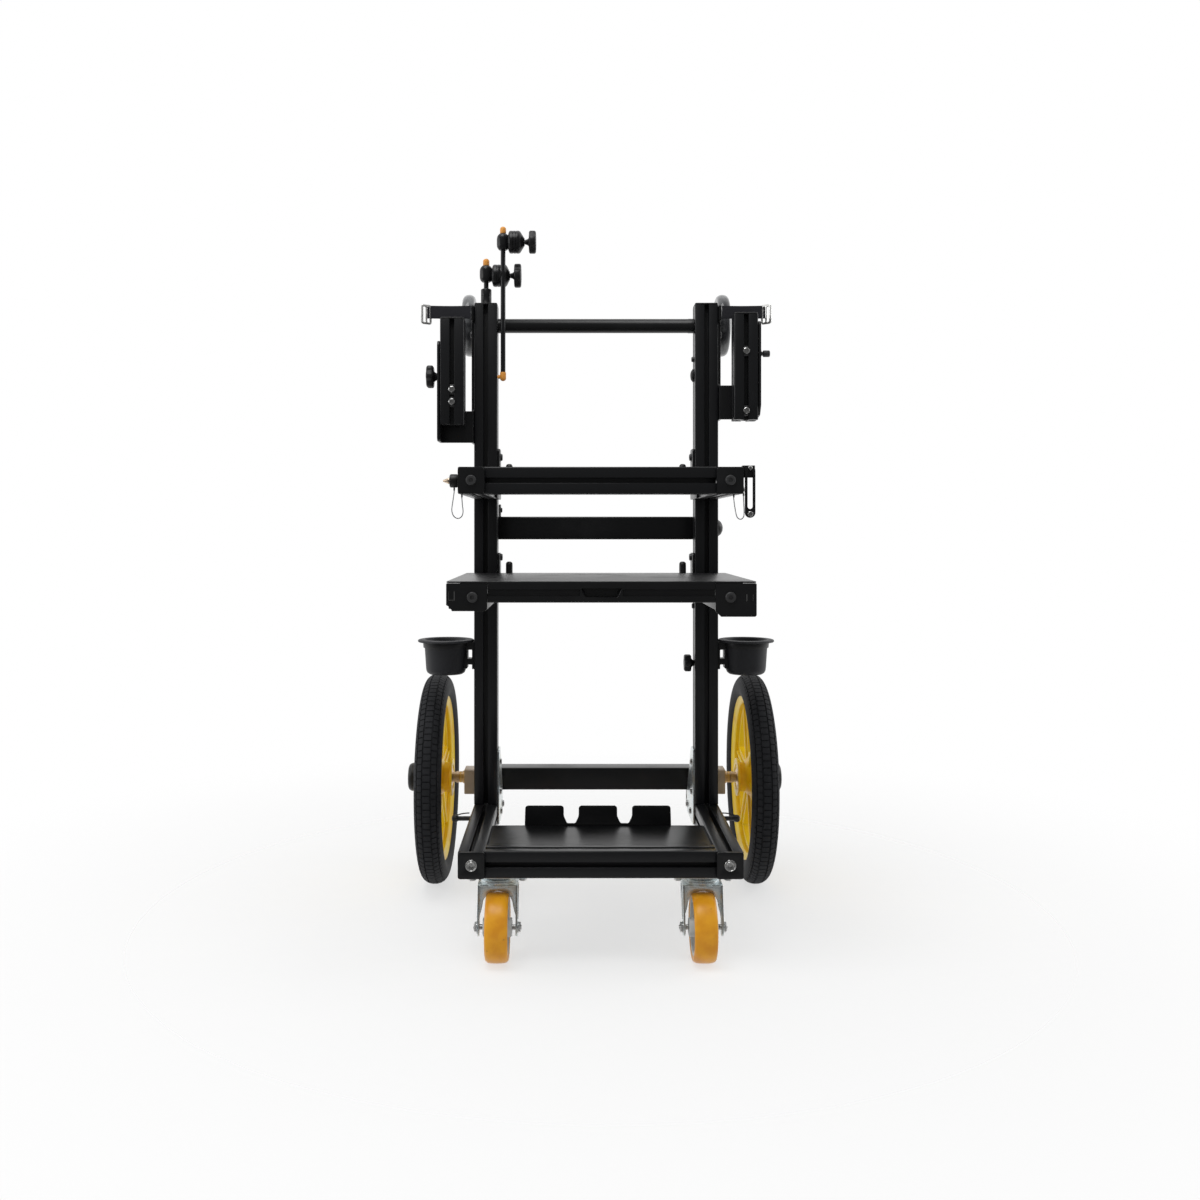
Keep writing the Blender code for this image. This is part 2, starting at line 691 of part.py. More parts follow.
def make_gussets():
    """Corner plates on the inner faces of a base rail and its upright."""
    front = UPRIGHT_FRONT + GUSSET_INSET / 2
    low = BASE_BOTTOM + GUSSET_INSET
    back = front + GUSSET_DEPTH
    outline = rounded([(front, low), (back, low), (back, BASE_TOP),
                       (UPRIGHT_BACK - GUSSET_INSET / 2, BASE_TOP + GUSSET_RISE),
                       (front, BASE_TOP + GUSSET_RISE)], PLATE_CORNER)
    places = [(UPRIGHT_MIDDLE, BASE_TOP + 0.75 * GUSSET_RISE), (UPRIGHT_MIDDLE, BASE_TOP + 0.2 * GUSSET_RISE),
              (front + 0.35 * GUSSET_DEPTH, BASE_MIDDLE), (front + 0.85 * GUSSET_DEPTH, BASE_MIDDLE)]
    for side, hand in HANDS:
        face = side * (INNER - GAP)
        plate = Body().sheet("x", outline, face, face - side * GUSSET)
        gusset = node("gusset_" + hand, plate, ZINC)
        heads = Body()
        for place in places:
            heads.head((face - side * GUSSET, *place), (-side, 0, 0))
        weld(gusset, heads)


def make_axle():
    """The beam on the base rails and the stub axles: block, spindle, spacer and bearings."""
    across = (AXLE_FROM_FRONT, AXLE_HEIGHT + GAP)
    node("axle_beam", Body().tube("x", -OUTER, OUTER, across), BLACK_PAINT, (0.0, *across))
    low = (AXLE_FROM_FRONT - RAIL / 2, BASE_TOP - AXLE_BLOCK_DROP)
    high = (AXLE_FROM_FRONT + RAIL / 2, BASE_TOP - AXLE_BLOCK_DROP + AXLE_BLOCK_HEIGHT)
    axis = (0.0, AXLE_FROM_FRONT, AXLE_HEIGHT)
    hub_end = WHEEL_OFFSET - HUB_INNER
    first = hub_end + 0.001
    second = WHEEL_OFFSET + HUB_OUTER - 0.002 - BEARING_WIDTH
    end = WHEEL_OFFSET + HUB_OUTER - GAP
    collar = OUTER - TUBE_WALL
    profile = [(0.0, end), (SPINDLE_RADIUS, end), (SPINDLE_RADIUS, second + BEARING_WIDTH),
               (BEARING_RADIUS, second + BEARING_WIDTH), (BEARING_RADIUS, second), (SPINDLE_RADIUS, second),
               (SPINDLE_RADIUS, first + BEARING_WIDTH), (BEARING_RADIUS, first + BEARING_WIDTH),
               (BEARING_RADIUS, first), (SPACER_RADIUS, first), (SPACER_RADIUS,
                                                                 AXLE_BLOCK_OUTER - JOINT_DEPTH),
               (SPINDLE_RADIUS, AXLE_BLOCK_OUTER - JOINT_DEPTH), (SPINDLE_RADIUS, collar),
               (SPINDLE_RADIUS + 0.005, collar), (SPINDLE_RADIUS + 0.005, collar - 0.006), (0.0,
                                                                                            collar - 0.006)]
    for side, hand in HANDS:
        start = side * (OUTER + GAP)
        block = Body().sheet("x", rectangle(low, high, PLATE_CORNER), start, side * AXLE_BLOCK_OUTER)
        block = node("stub_axle_" + hand, block, BARE_ALUMINIUM, (start, *axis[1:]))
        weld(block, Body().turned(profile, axis, (side, 0, 0)))


def spoke_windows(back, height, first_spoke):
    """The openings between the spokes, each a ring sector with the spokes' width left over."""
    inner = HUB_FLANGE_RADIUS + 0.010
    outer = RIM_RADIUS - RIM_THICKNESS - 0.006
    half = SPOKE_WIDTH / 2
    windows = []
    for k in range(SPOKES):
        start = first_spoke + 2 * math.pi * k / SPOKES
        stop = start + 2 * math.pi / SPOKES
        loop = []
        for radius, first, last, steps in ((outer, start, stop, 4), (inner, stop, start, 1)):
            trim = math.asin(half / radius) * (1 if last > first else -1)
            for i in range(steps + 1):
                turn = (first + trim) + (last - first - 2 * trim) * i / steps
                loop.append((back + radius * math.cos(turn), height + radius * math.sin(turn)))
        windows.append(rounded(loop, 0.008, 1))
    return windows


def make_wheel(side, hand):
    """A one-piece spoked rim, its tyre and the hub cap, on one axis."""
    axis = (side * WHEEL_OFFSET, AXLE_FROM_FRONT, AXLE_HEIGHT)
    hub = pivot("wheel_axis_" + hand, axis)
    steps = WHEEL_SIDES
    half = RIM_WIDTH / 2
    inner = RIM_RADIUS - RIM_THICKNESS
    ring_profile = [(RIM_RADIUS, half), (RIM_RADIUS, -half), (inner, -half), (inner, half)]
    rim = node("rim_" + hand, Body().turned(ring_profile, axis, (side, 0, 0), steps), YELLOW_RIM, axis, hub)
    pin_turn = math.atan2(LOCK_PIN_HEIGHT - AXLE_HEIGHT, LOCK_PIN_BACK - AXLE_FROM_FRONT)
    first_spoke = pin_turn - math.radians(LOCK_PIN_OFF_SPOKE)
    back, height = axis[1:]
    middle = side * WHEEL_OFFSET
    disc = circle(back, height, RIM_RADIUS - RIM_THICKNESS / 2, steps)
    windows = spoke_windows(back, height, first_spoke)
    web = Body().sheet("x", disc, middle - SPOKE_THICKNESS / 2, middle + SPOKE_THICKNESS / 2, windows)
    weld(rim, web)
    bore = BEARING_RADIUS + PIN_FIT
    flange = HUB_FLANGE_RADIUS
    web_half = SPOKE_THICKNESS / 2
    hub_profile = [(0.0, HUB_OUTER), (HUB_RADIUS, HUB_OUTER), (HUB_RADIUS, 2 * web_half),
                   (flange, web_half * 0.7),
                   (flange, -web_half * 0.7), (HUB_RADIUS, -2 * web_half), (HUB_RADIUS, HUB_LIP - HUB_INNER),
                   (flange, HUB_LIP - HUB_INNER), (flange, -HUB_INNER), (0.0, -HUB_INNER)]
    weld(rim, Body().turned(hub_profile, axis, (side, 0, 0), HUB_SIDES))
    cut(rim, Body().rod((middle - 0.05, back, height), (middle + 0.05, back, height), bore))
    wide = TYRE_WIDTH / 2
    seat = RIM_RADIUS + GAP
    crown = WHEEL_RADIUS
    tyre_profile = [(crown, 0.3 * wide), (crown, -0.3 * wide), (crown - 0.005, -0.75 * wide),
                    (crown - 0.018, -wide), (seat, -0.8 * wide), (seat, 0.8 * wide), (crown - 0.018, wide),
                    (crown - 0.005, 0.75 * wide)]
    node("tyre_" + hand, Body().turned(tyre_profile, axis, (side, 0, 0), steps), TYRE_RUBBER, axis, hub)
    start = HUB_OUTER + GAP
    end = start + HUB_CAP_LENGTH
    radius = HUB_CAP_RADIUS
    cap_profile = [(0.0, end), (radius * 0.7, end), (radius * 0.95, end - 0.004), (radius, end - 0.009),
                   (radius, start), (0.0, start)]
    node("hub_cap_" + hand, Body().turned(cap_profile, axis, (side, 0, 0), ROUND_SIDES), BLACK_PLASTIC,
         axis, hub)


def make_lock_pins():
    """Pins that slide out of the base rail between the spokes."""
    tip = OUTER + LOCK_PIN_REACH
    knob = LOCK_KNOB_RADIUS
    foot = tip - LOCK_PIN_LENGTH
    profile = [(0.0, tip), (0.6 * knob, tip - 0.001), (knob, tip - 0.004), (knob, tip - 0.009),
               (LOCK_PIN_RADIUS, tip - 0.012), (LOCK_PIN_RADIUS, foot), (0.0, foot)]
    for side, hand in HANDS:
        pin = Body().turned(profile, (0.0, LOCK_PIN_BACK, LOCK_PIN_HEIGHT), (side, 0, 0))
        node("lock_pin_" + hand, pin, BRASS, (side * tip, LOCK_PIN_BACK, LOCK_PIN_HEIGHT))


def make_tray():
    """A sheet tray between the base rails: floor, side flanges and three upstanding tabs."""
    top = BASE_TOP - TRAY_RECESS
    front = END_PLATE + RAIL + GAP
    back = front + TRAY_DEPTH
    reach = INNER - GAP
    tray = node("tray", Body().box((-reach, front, top - TRAY_SHEET), (reach, back, top)), BLACK_PAINT)
    flanges = Body()
    heads = Body()
    for side, _ in HANDS:
        flanges.box((side * (reach - 0.00005), front + CAP_INSET, top - TRAY_FLANGE),
                    (side * (reach - TRAY_SHEET), back - CAP_INSET, top - TRAY_SHEET / 2))
        for share in (0.2, 0.8):
            seat = (side * (reach - TRAY_SHEET), front + share * TRAY_DEPTH, BASE_MIDDLE)
            heads.head(seat, (-side, 0, 0))
    weld(tray, flanges)
    weld(tray, heads)
    half = TAB_WIDTH / 2
    low = top - TRAY_SHEET / 2
    foot = top + TAB_HEIGHT * 0.38
    high = top + TAB_HEIGHT
    wall = [(-TAB_PITCH - half, low)]
    for i in (-1, 0, 1):
        left = i * TAB_PITCH - half
        right = i * TAB_PITCH + half
        if i > -1:
            wall += [(left - TAB_FLARE, top + TAB_FLARE), (left - TAB_FLARE, foot)]
        wall += [(left, foot + TAB_FLARE * 2), (left, high - TAB_CORNER), (left + TAB_CORNER, high),
                 (right - TAB_CORNER, high), (right, high - TAB_CORNER), (right, foot + TAB_FLARE * 2)]
        if i < 1:
            wall += [(right + TAB_FLARE, foot), (right + TAB_FLARE, top + TAB_FLARE)]
    wall.append((TAB_PITCH + half, low))
    weld(tray, Body().sheet("y", wall, back - TRAY_SHEET, back - CAP_INSET))


def make_casters():
    """Plate casters: plate with race and kingpin, fork with its axle bolt, and wheel."""
    low_race = CASTER_PLATE_BOTTOM - CASTER_RACE_HEIGHT
    crown = low_race - GAP
    crown_bottom = crown - CASTER_CROWN_HEIGHT
    head = crown_bottom - GAP
    for side, hand in HANDS:
        across = side * CASTER_ACROSS
        axis = (across, CASTER_BACK, 0.0)
        low = (across - CASTER_PLATE_WIDTH / 2, CASTER_BACK - CASTER_PLATE_DEPTH / 2)
        high = (across + CASTER_PLATE_WIDTH / 2, CASTER_BACK + CASTER_PLATE_DEPTH / 2)
        outline = rectangle(low, high, PLATE_CORNER * 2)
        plate = Body().sheet("z", outline, CASTER_PLATE_BOTTOM, BASE_BOTTOM - GAP)
        plate = node("caster_plate_" + hand, plate, ZINC, (across, CASTER_BACK, BASE_BOTTOM))
        race = CASTER_RACE_RADIUS * 0.8
        top = CASTER_PLATE_BOTTOM + JOINT_DEPTH
        profile = [(0.0, top), (race, top), (race, low_race), (KINGPIN_RADIUS, low_race),
                   (KINGPIN_RADIUS, head),
                   (KINGPIN_RADIUS * 1.7, head), (KINGPIN_RADIUS * 1.5, head - CASTER_HEAD_HEIGHT),
                   (0.0, head - CASTER_HEAD_HEIGHT)]
        weld(plate, Body().turned(profile, axis, (0, 0, 1)))
        heads = Body()
        inside = side * (CASTER_ACROSS - CASTER_BOLT_WIDTH / 2)
        front = CASTER_BACK - CASTER_BOLT_DEPTH / 2
        back = CASTER_BACK + CASTER_BOLT_DEPTH / 2
        for place in ((side * MIDDLE, front), (side * MIDDLE, back), (inside, front)):
            heads.head((*place, CASTER_PLATE_BOTTOM), (0, 0, -1))
        weld(plate, heads)
        make_fork(side, hand, crown, crown_bottom)


def make_fork(side, hand, crown, crown_bottom):
    across = side * CASTER_ACROSS
    wheel_back = CASTER_BACK - CASTER_TRAIL
    height = CASTER_WHEEL_RADIUS
    swivel = pivot("caster_swivel_" + hand, (across, CASTER_BACK, height))
    inside = FORK_INSIDE / 2
    outside = inside + FORK_SHEET
    shoulder = crown_bottom + FORK_SHEET
    bore = KINGPIN_RADIUS + PIN_FIT
    front = CASTER_BACK - FORK_CROWN_DEPTH / 2
    back = CASTER_BACK + FORK_CROWN_DEPTH / 2
    base = rectangle((across - outside, front), (across + outside, back), 0.006)
    crown_sheet = Body().sheet("z", base, crown_bottom, shoulder)
    fork = node("caster_fork_" + hand, crown_sheet, ZINC, (across, CASTER_BACK, height), swivel)
    radius = CASTER_RACE_RADIUS
    profile = [(0.0, crown), (radius * 0.86, crown), (radius, crown - 0.003),
               (radius, shoulder - JOINT_DEPTH),
               (0.0, shoulder - JOINT_DEPTH)]
    weld(fork, Body().turned(profile, (across, CASTER_BACK, 0.0), (0, 0, 1), ROUND_SIDES))
    foot = circle(wheel_back, height, FORK_FOOT_RADIUS)
    leg = [(front + 0.002, shoulder - JOINT_DEPTH), *foot[5:], *foot[:2],
           (back - 0.006, crown_bottom - 0.022), (back - 0.002, shoulder - JOINT_DEPTH)]
    legs = Body()
    for face in (-1, 1):
        legs.sheet("x", leg, across + face * inside, across + face * (outside - 0.0001))
    weld(fork, legs)
    end = outside
    profile = [(0.0, end + 0.006), (0.006, end + 0.006), (0.0075, end + 0.004), (0.0075, end - JOINT_DEPTH),
               (CASTER_AXLE_RADIUS, end - JOINT_DEPTH), (CASTER_AXLE_RADIUS, JOINT_DEPTH - end),
               (0.0065, JOINT_DEPTH - end), (0.0065, -end - 0.006), (0.0, -end - 0.006)]
    weld(fork, Body().turned(profile, (across, wheel_back, height), (1, 0, 0)))
    cut(fork, Body().rod((across, CASTER_BACK, crown_bottom - 0.01), (across, CASTER_BACK, crown + 0.01),
                         bore))
    axis = (across, wheel_back, height)
    hub = pivot("caster_wheel_axis_" + hand, axis, swivel)
    half = CASTER_TREAD_WIDTH / 2
    hub_half = CASTER_HUB_WIDTH / 2
    inner = CASTER_AXLE_RADIUS + PIN_FIT
    rim = CASTER_CORE_RADIUS
    tread = CASTER_WHEEL_RADIUS
    web = CASTER_WEB / 2
    profile = [(tread, half - 0.005), (tread, 0.005 - half), (tread - 0.004, -half), (rim - 0.005, -half),
               (rim - 0.006, -web), (CASTER_HUB_RADIUS, -web), (CASTER_HUB_RADIUS, -hub_half),
               (inner, -hub_half), (inner, hub_half), (CASTER_HUB_RADIUS, hub_half), (CASTER_HUB_RADIUS, web),
               (rim - 0.006, web), (rim - 0.005, half), (tread - 0.004, half)]
    node("caster_wheel_" + hand, Body().turned(profile, axis, (1, 0, 0), ROUND_SIDES), ORANGE_TREAD, axis,
         hub)


def clamp_lever(name, side, start, height, parent):
    """A clamping lever on an upright's inner face; its arm points up at rest."""
    axis = (side * start, UPRIGHT_MIDDLE, height)
    turn = pivot(name + "_axis", axis, parent)
    inner = side * LEVER_INNER
    hub = Body().rod(axis, (inner, *axis[1:]), LEVER_HUB_RADIUS)
    lever = node(name, hub, BLACK_PLASTIC, axis, turn)
    tip = (UPRIGHT_MIDDLE, height + LEVER_REACH - LEVER_TIP_RADIUS)
    outline = capsule((UPRIGHT_MIDDLE, height), tip, LEVER_HUB_RADIUS * 0.85, LEVER_TIP_RADIUS)
    weld(lever, Body().sheet("x", outline, inner - side * JOINT_DEPTH, inner + side * LEVER_WIDTH))


def make_upper_frame():
    """The open upper shelf frame with joining plates, end plates, levers, latch and link."""
    slide = pivot("upper_frame_slide", (0.0, UPRIGHT_MIDDLE, UPPER_MIDDLE))
    bottom = UPPER_TOP - RAIL
    back = UPRIGHT_FRONT - GAP
    reach = INNER + JOINT_DEPTH
    front_rail = Body().rail("x", -reach, reach, (END_PLATE + GAP + RAIL / 2, UPPER_MIDDLE))
    frame = node("upper_rails", front_rail, BLACK_ANODISED, (0.0, UPRIGHT_MIDDLE, UPPER_MIDDLE), slide)
    sides = Body()
    plates = Body()
    pads = Body()
    heads = Body()
    front = UPRIGHT_FRONT - BRACKET_REACH
    end = UPRIGHT_BACK - GAP
    rise = UPPER_TOP + UPPER_BRACKET_RISE
    behind = UPRIGHT_FRONT + GAP
    outline = rounded([(front, bottom), (end, bottom), (end, rise), (behind, rise), (behind, UPPER_TOP),
                       (front, UPPER_TOP)], PLATE_CORNER)
    for side, hand in HANDS:
        sides.rail("y", END_PLATE + GAP, back, (side * MIDDLE, UPPER_MIDDLE))
        half = RAIL / 2 - CAP_INSET
        low = (side * MIDDLE - half, UPPER_MIDDLE - half)
        high = (side * MIDDLE + half, UPPER_MIDDLE + half)
        plate = Body().sheet("y", rectangle(low, high, PLATE_CORNER), 0.0, END_PLATE)
        seat = (side * MIDDLE, 0.0, UPPER_MIDDLE)
        plate = node("upper_end_plate_" + hand, plate, BLACK_PAINT, seat, slide)
        weld(plate, Body().bolt(seat, (0, -1, 0)))
        face = side * (INNER - GAP)
        inner = face - side * BRACKET_SHEET
        plates.sheet("x", outline, face, inner)
        low = (*span(inner + side * JOINT_DEPTH, side * (INNER + JOINT_DEPTH)), front + PLATE_CORNER)
        pads.box((low[0], low[2], UPPER_MIDDLE - RAIL * 0.3),
                 (low[1], back - PLATE_CORNER, UPPER_MIDDLE + RAIL * 0.3))
        for place in ((UPRIGHT_MIDDLE, UPPER_TOP + UPPER_SCREW_RISE), (front + 0.012, UPPER_MIDDLE),
                      (front + 0.044, UPPER_MIDDLE)):
            heads.head((inner, *place), (-side, 0, 0))
        clamp_lever("upper_lever_" + hand, side, INNER - BRACKET_SHEET - 2 * GAP, UPPER_MIDDLE, slide)
    weld(frame, sides)
    weld(frame, pads)
    weld(frame, plates)
    weld(frame, heads)
    weld(frame, latch_housing())
    weld(frame, link_bracket())
    weld(frame, link_screws())
    cut(frame, Body().rod((-OUTER + JOINT_DEPTH * 2, LATCH_BACK, UPPER_MIDDLE),
                          (-OUTER - LATCH_LENGTH - 0.005, LATCH_BACK,
                           UPPER_MIDDLE), LATCH_PIN_RADIUS + PIN_FIT))
    make_latch_pin(slide)
    make_link(slide)
    make_lanyards(slide)


def latch_housing():
    """The round housing of the spring latch, on the left rail's outer face."""
    end = OUTER + LATCH_LENGTH
    profile = [(0.0, end), (LATCH_RADIUS * 0.9, end), (LATCH_RADIUS, end - 0.001),
               (LATCH_RADIUS, OUTER - JOINT_DEPTH),
               (0.0, OUTER - JOINT_DEPTH)]
    return Body().turned(profile, (0.0, LATCH_BACK, UPPER_MIDDLE), (-1, 0, 0), ROUND_SIDES)


def link_bracket():
    """An angle on the right rail's outer face that carries the link."""
    ear = LINK_FRONT + LINK_SHEET + GAP
    start = OUTER - JOINT_DEPTH
    outline = [(start, ear), (LINK_ACROSS + LINK_WIDTH / 2, ear),
               (LINK_ACROSS + LINK_WIDTH / 2, ear + LINK_SHEET),
               (OUTER + LINK_SHEET, ear + LINK_SHEET), (OUTER + LINK_SHEET, ear + 0.012), (start,
                                                                                           ear + 0.012)]
    return Body().sheet("z", outline, LINK_PIVOT - 0.014, LINK_PIVOT + 0.004)


def link_screws():
    """The link's pivot screw and the screw that the right wire loop ends under."""
    screws = Body()
    ear = LINK_FRONT + LINK_SHEET + GAP + JOINT_DEPTH
    pin = LINK_HOLE - PIN_FIT
    profile = [(0.0, 0.003), (0.0028, 0.003), (0.0036, 0.0), (pin, 0.0), (pin, LINK_FRONT - GAP - ear),
               (0.0, LINK_FRONT - GAP - ear)]
    screws.turned(profile, (LINK_ACROSS, LINK_FRONT - GAP, LINK_PIVOT), (0, -1, 0), SCREW_SIDES)
    screws.turned([(0.0, 0.006), (0.004, 0.006), (0.005, 0.004), (0.005, -JOINT_DEPTH), (0.0, -JOINT_DEPTH)],
                  (OUTER, ANCHOR_BACK, ANCHOR_HEIGHT), (1, 0, 0))
    return screws


def make_latch_pin(slide):
    """The brass pin in the latch housing, which pulls out against its spring."""
    seat = OUTER + LATCH_LENGTH + GAP
    tip = seat + LATCH_TIP_LENGTH
    foot = OUTER + JOINT_DEPTH
    profile = [(0.0, tip), (LATCH_TIP_RADIUS * 0.7, tip), (LATCH_TIP_RADIUS, tip - 0.0015),
               (LATCH_TIP_RADIUS, seat),
               (LATCH_PIN_RADIUS, seat), (LATCH_PIN_RADIUS, foot), (0.0, foot)]
    pin = Body().turned(profile, (0.0, LATCH_BACK, UPPER_MIDDLE), (-1, 0, 0))
    node("latch_pin", pin, BRASS, (-tip, LATCH_BACK, UPPER_MIDDLE), slide)


def make_link(slide):
    """A slotted link that hangs from a pivot screw beside the right rail."""
    half = LINK_WIDTH / 2
    top = LINK_PIVOT + 0.0037 - half
    foot = LINK_PIVOT + 0.0037 - LINK_LENGTH + half
    outline = capsule((LINK_ACROSS, foot), (LINK_ACROSS, top), half, half, 6)
    slot_half = LINK_SLOT / 2
    slot_top = LINK_PIVOT - 0.0038 - slot_half
    slot = capsule((LINK_ACROSS, slot_top - LINK_SLOT_LENGTH + LINK_SLOT), (LINK_ACROSS, slot_top),
                   slot_half, slot_half, 4)
    holes = [slot, circle(LINK_ACROSS, LINK_PIVOT, LINK_HOLE, SCREW_SIDES)]
    axis = (LINK_ACROSS, LINK_FRONT, LINK_PIVOT)
    turn = pivot("slotted_link_axis", axis, slide)
    body = Body().sheet("y", outline, LINK_FRONT, LINK_FRONT + LINK_SHEET, holes)
    link = node("slotted_link", body, BLACK_PAINT, axis, turn)
    seat = (LINK_ACROSS, LINK_FRONT, foot - 0.001)
    weld(link, Body().head(seat, (0, -1, 0), LINK_SCREW_RADIUS))


def smooth_route(points, step):
    """Points at even steps along a smooth curve through the route's own points."""
    route = [Vector(point) for point in points]
    ends = [route[0] * 2 - route[1], *route, route[-1] * 2 - route[-2]]
    fine = []
    for before, start, end, after in zip(ends, ends[1:], ends[2:], ends[3:]):
        for k in range(20):
            t = k / 20
            fine.append(0.5 * (2 * start + (end - before) * t
                               + (2 * before - 5 * start + 4 * end - after) * t ** 2
                               + (3 * start - before - 3 * end + after) * t ** 3))
    fine.append(route[-1])
    lengths = [0.0]
    for a, b in zip(fine, fine[1:]):
        lengths.append(lengths[-1] + (b - a).length)
    count = max(3, round(lengths[-1] / step))
    even = []
    index = 0
    for k in range(count + 1):
        target = lengths[-1] * k / count
        while index < len(lengths) - 2 and lengths[index + 1] < target:
            index += 1
        share = (target - lengths[index]) / (lengths[index + 1] - lengths[index])
        even.append(fine[index].lerp(fine[index + 1], share))
    return even


def make_lanyards(slide):
    """Two thin wire loops that hang under the upper frame's corners."""
    bottom = UPPER_TOP - RAIL - GAP
    housing = UPPER_MIDDLE - LATCH_RADIUS - GAP
    anchor = ANCHOR_HEIGHT - 0.005 - GAP
    # Each point is across and up from where the loop leaves the rail's underside
    left = [(-0.0114, housing - bottom), (-0.0116, 0.0033), (-0.0134, -0.0097), (-0.0150, -0.0227),
            (-0.0124, -0.0317), (-0.0064, -0.0355), (-0.0006, -0.0329), (0.0017, -0.0257),
            (0.0006, -0.0137), (0.0, -0.0057), (0.0, 0.0)]
    right = [(0.0, 0.0), (0.0001, -0.0067), (0.0018, -0.0197), (0.0038, -0.0297), (0.0060, -0.0347),
             (0.0106, -0.0367), (0.0148, -0.0327), (0.0154, -0.0227), (0.0148, -0.0117), (0.0145, -0.0047),
             (0.0145, anchor - bottom)]
    for name, route, across, back in (("lanyard_left", left, -OUTER + 0.0044, LATCH_BACK),
                                      ("lanyard_right", right, OUTER - 0.0108, ANCHOR_BACK)):
        points = smooth_route([(across + x, back, bottom + z) for x, z in route], WIRE_STEP)
        curve = bpy.data.curves.new(name, "CURVE")
        curve.dimensions = "3D"
        curve.bevel_depth = WIRE_RADIUS
        curve.bevel_resolution = 2
        curve.use_fill_caps = True
        spline = curve.splines.new("POLY")
        spline.points.add(len(points) - 1)
        for point, place in zip(spline.points, points):
            point.co = (*(place - points[0]), 1.0)
        curve.materials.append(STEEL)
        put(bpy.data.objects.new(name, curve), points[0], slide)


def make_mid_shelf():
    """The deep shelf: sheet top with a grooved front bar, side rails and end plates."""
    slide = pivot("mid_shelf_slide", (0.0, UPRIGHT_MIDDLE, SHELF_RAIL_MIDDLE))
    half = SHELF_WIDTH / 2
    back = UPRIGHT_FRONT - GAP
    under = SHELF_TOP - SHELF_SHEET
    sheet = rectangle((-half, -SHELF_OVERHANG), (half, back), 0.006)
    top = Body().sheet("z", sheet, under, SHELF_TOP)
    top = node("mid_shelf_top", top, BLACK_PAINT, (0.0, -SHELF_OVERHANG, SHELF_TOP), slide)
    plate_inner = half - SHELF_PLATE_WIDTH
    reach = plate_inner - GAP
    bar_bottom = SHELF_TOP - SHELF_BAR_HEIGHT
    front = -SHELF_OVERHANG + CAP_INSET
    weld(top, Body().box((-reach, front, bar_bottom), (reach, front + SHELF_BAR_DEPTH,
                                                       SHELF_TOP - SHELF_SHEET / 2)))
    middle = (bar_bottom + under) / 2
    wide = FINGER_WIDTH / 2
    low = middle - FINGER_HEIGHT / 2
    high = middle + FINGER_HEIGHT / 2
    grooves = Body()
    for side, _ in HANDS:
        grooves.box((side * (wide + 0.003), front - 0.01, middle - SHELF_GROOVE / 2),
                    (side * (reach + 0.01), front + SHELF_GROOVE_DEPTH, middle + SHELF_GROOVE / 2))
    slope = FINGER_HEIGHT / 2
    grooves.sheet("y", [(slope - wide, low), (wide - slope, low), (wide, high), (-wide, high)],
                  front - 0.01, front + FINGER_DEPTH)
    cut(top, grooves)
    rail_middle = SHELF_INNER + RAIL / 2
    for side, hand in HANDS:
        origin = (side * rail_middle, UPRIGHT_MIDDLE, SHELF_RAIL_MIDDLE)
        rail_front = -SHELF_OVERHANG + END_PLATE + GAP
        rail = Body().rail("y", rail_front, back, (side * rail_middle, SHELF_RAIL_MIDDLE))
        rail = node("mid_side_rail_" + hand, rail, BLACK_ANODISED, origin, slide)
        add_shelf_bracket(rail, side)
        drop = SHELF_PLATE_DROP_LEFT if side < 0 else SHELF_PLATE_DROP_RIGHT
        left, right = span(side * plate_inner, side * half)
        outline = rectangle((left, under - GAP - drop), (right, under - GAP), PLATE_CORNER)
        seat = (side * rail_middle, -SHELF_OVERHANG, SHELF_RAIL_MIDDLE)
        plate = Body().sheet("y", outline, -SHELF_OVERHANG, END_PLATE - SHELF_OVERHANG)
        plate = node("mid_end_plate_" + hand, plate, BLACK_PAINT, seat, slide)
        weld(plate, Body().bolt(seat, (0, -1, 0)))
        clamp_lever("mid_lever_" + hand, side, SHELF_INNER - BRACKET_SHEET - 2 * GAP, SHELF_RAIL_MIDDLE,
                    slide)


def add_shelf_bracket(rail, side):
    """The joining plate behind the shelf: an arm on the rail and a foot on the upright."""
    bottom = SHELF_RAIL_TOP - RAIL
    top = SHELF_RAIL_TOP - CAP_INSET
    rise = SHELF_TOP + SHELF_BRACKET_RISE
    behind = UPRIGHT_FRONT + GAP
    end = UPRIGHT_BACK - GAP
    front = UPRIGHT_FRONT - BRACKET_REACH
    upright_face = side * (INNER - GAP)
    rail_face = side * (SHELF_INNER + JOINT_DEPTH)
    inner = side * (SHELF_INNER - GAP - BRACKET_SHEET)
    plan = [(rail_face, front), (rail_face, behind), (upright_face, behind), (upright_face, end),
            (inner, end), (inner, front)]
    weld(rail, Body().sheet("z", plan, bottom + CAP_INSET, top))
    step = upright_face - side * BRACKET_SHEET
    upper = rounded([(behind + CAP_INSET, top - 0.008), (end - CAP_INSET, top - 0.008),
                     (end - CAP_INSET, rise),
                     (behind + CAP_INSET, rise)], PLATE_CORNER)
    weld(rail, Body().sheet("x", upper, upright_face - side * CAP_INSET, step))
    heads = Body()
    heads.head((step, UPRIGHT_MIDDLE, SHELF_TOP + SHELF_SCREW_RISE), (-side, 0, 0))
    for share in (0.2, 0.65):
        heads.head((inner, front + share * BRACKET_REACH, SHELF_RAIL_MIDDLE), (-side, 0, 0))
    weld(rail, heads)


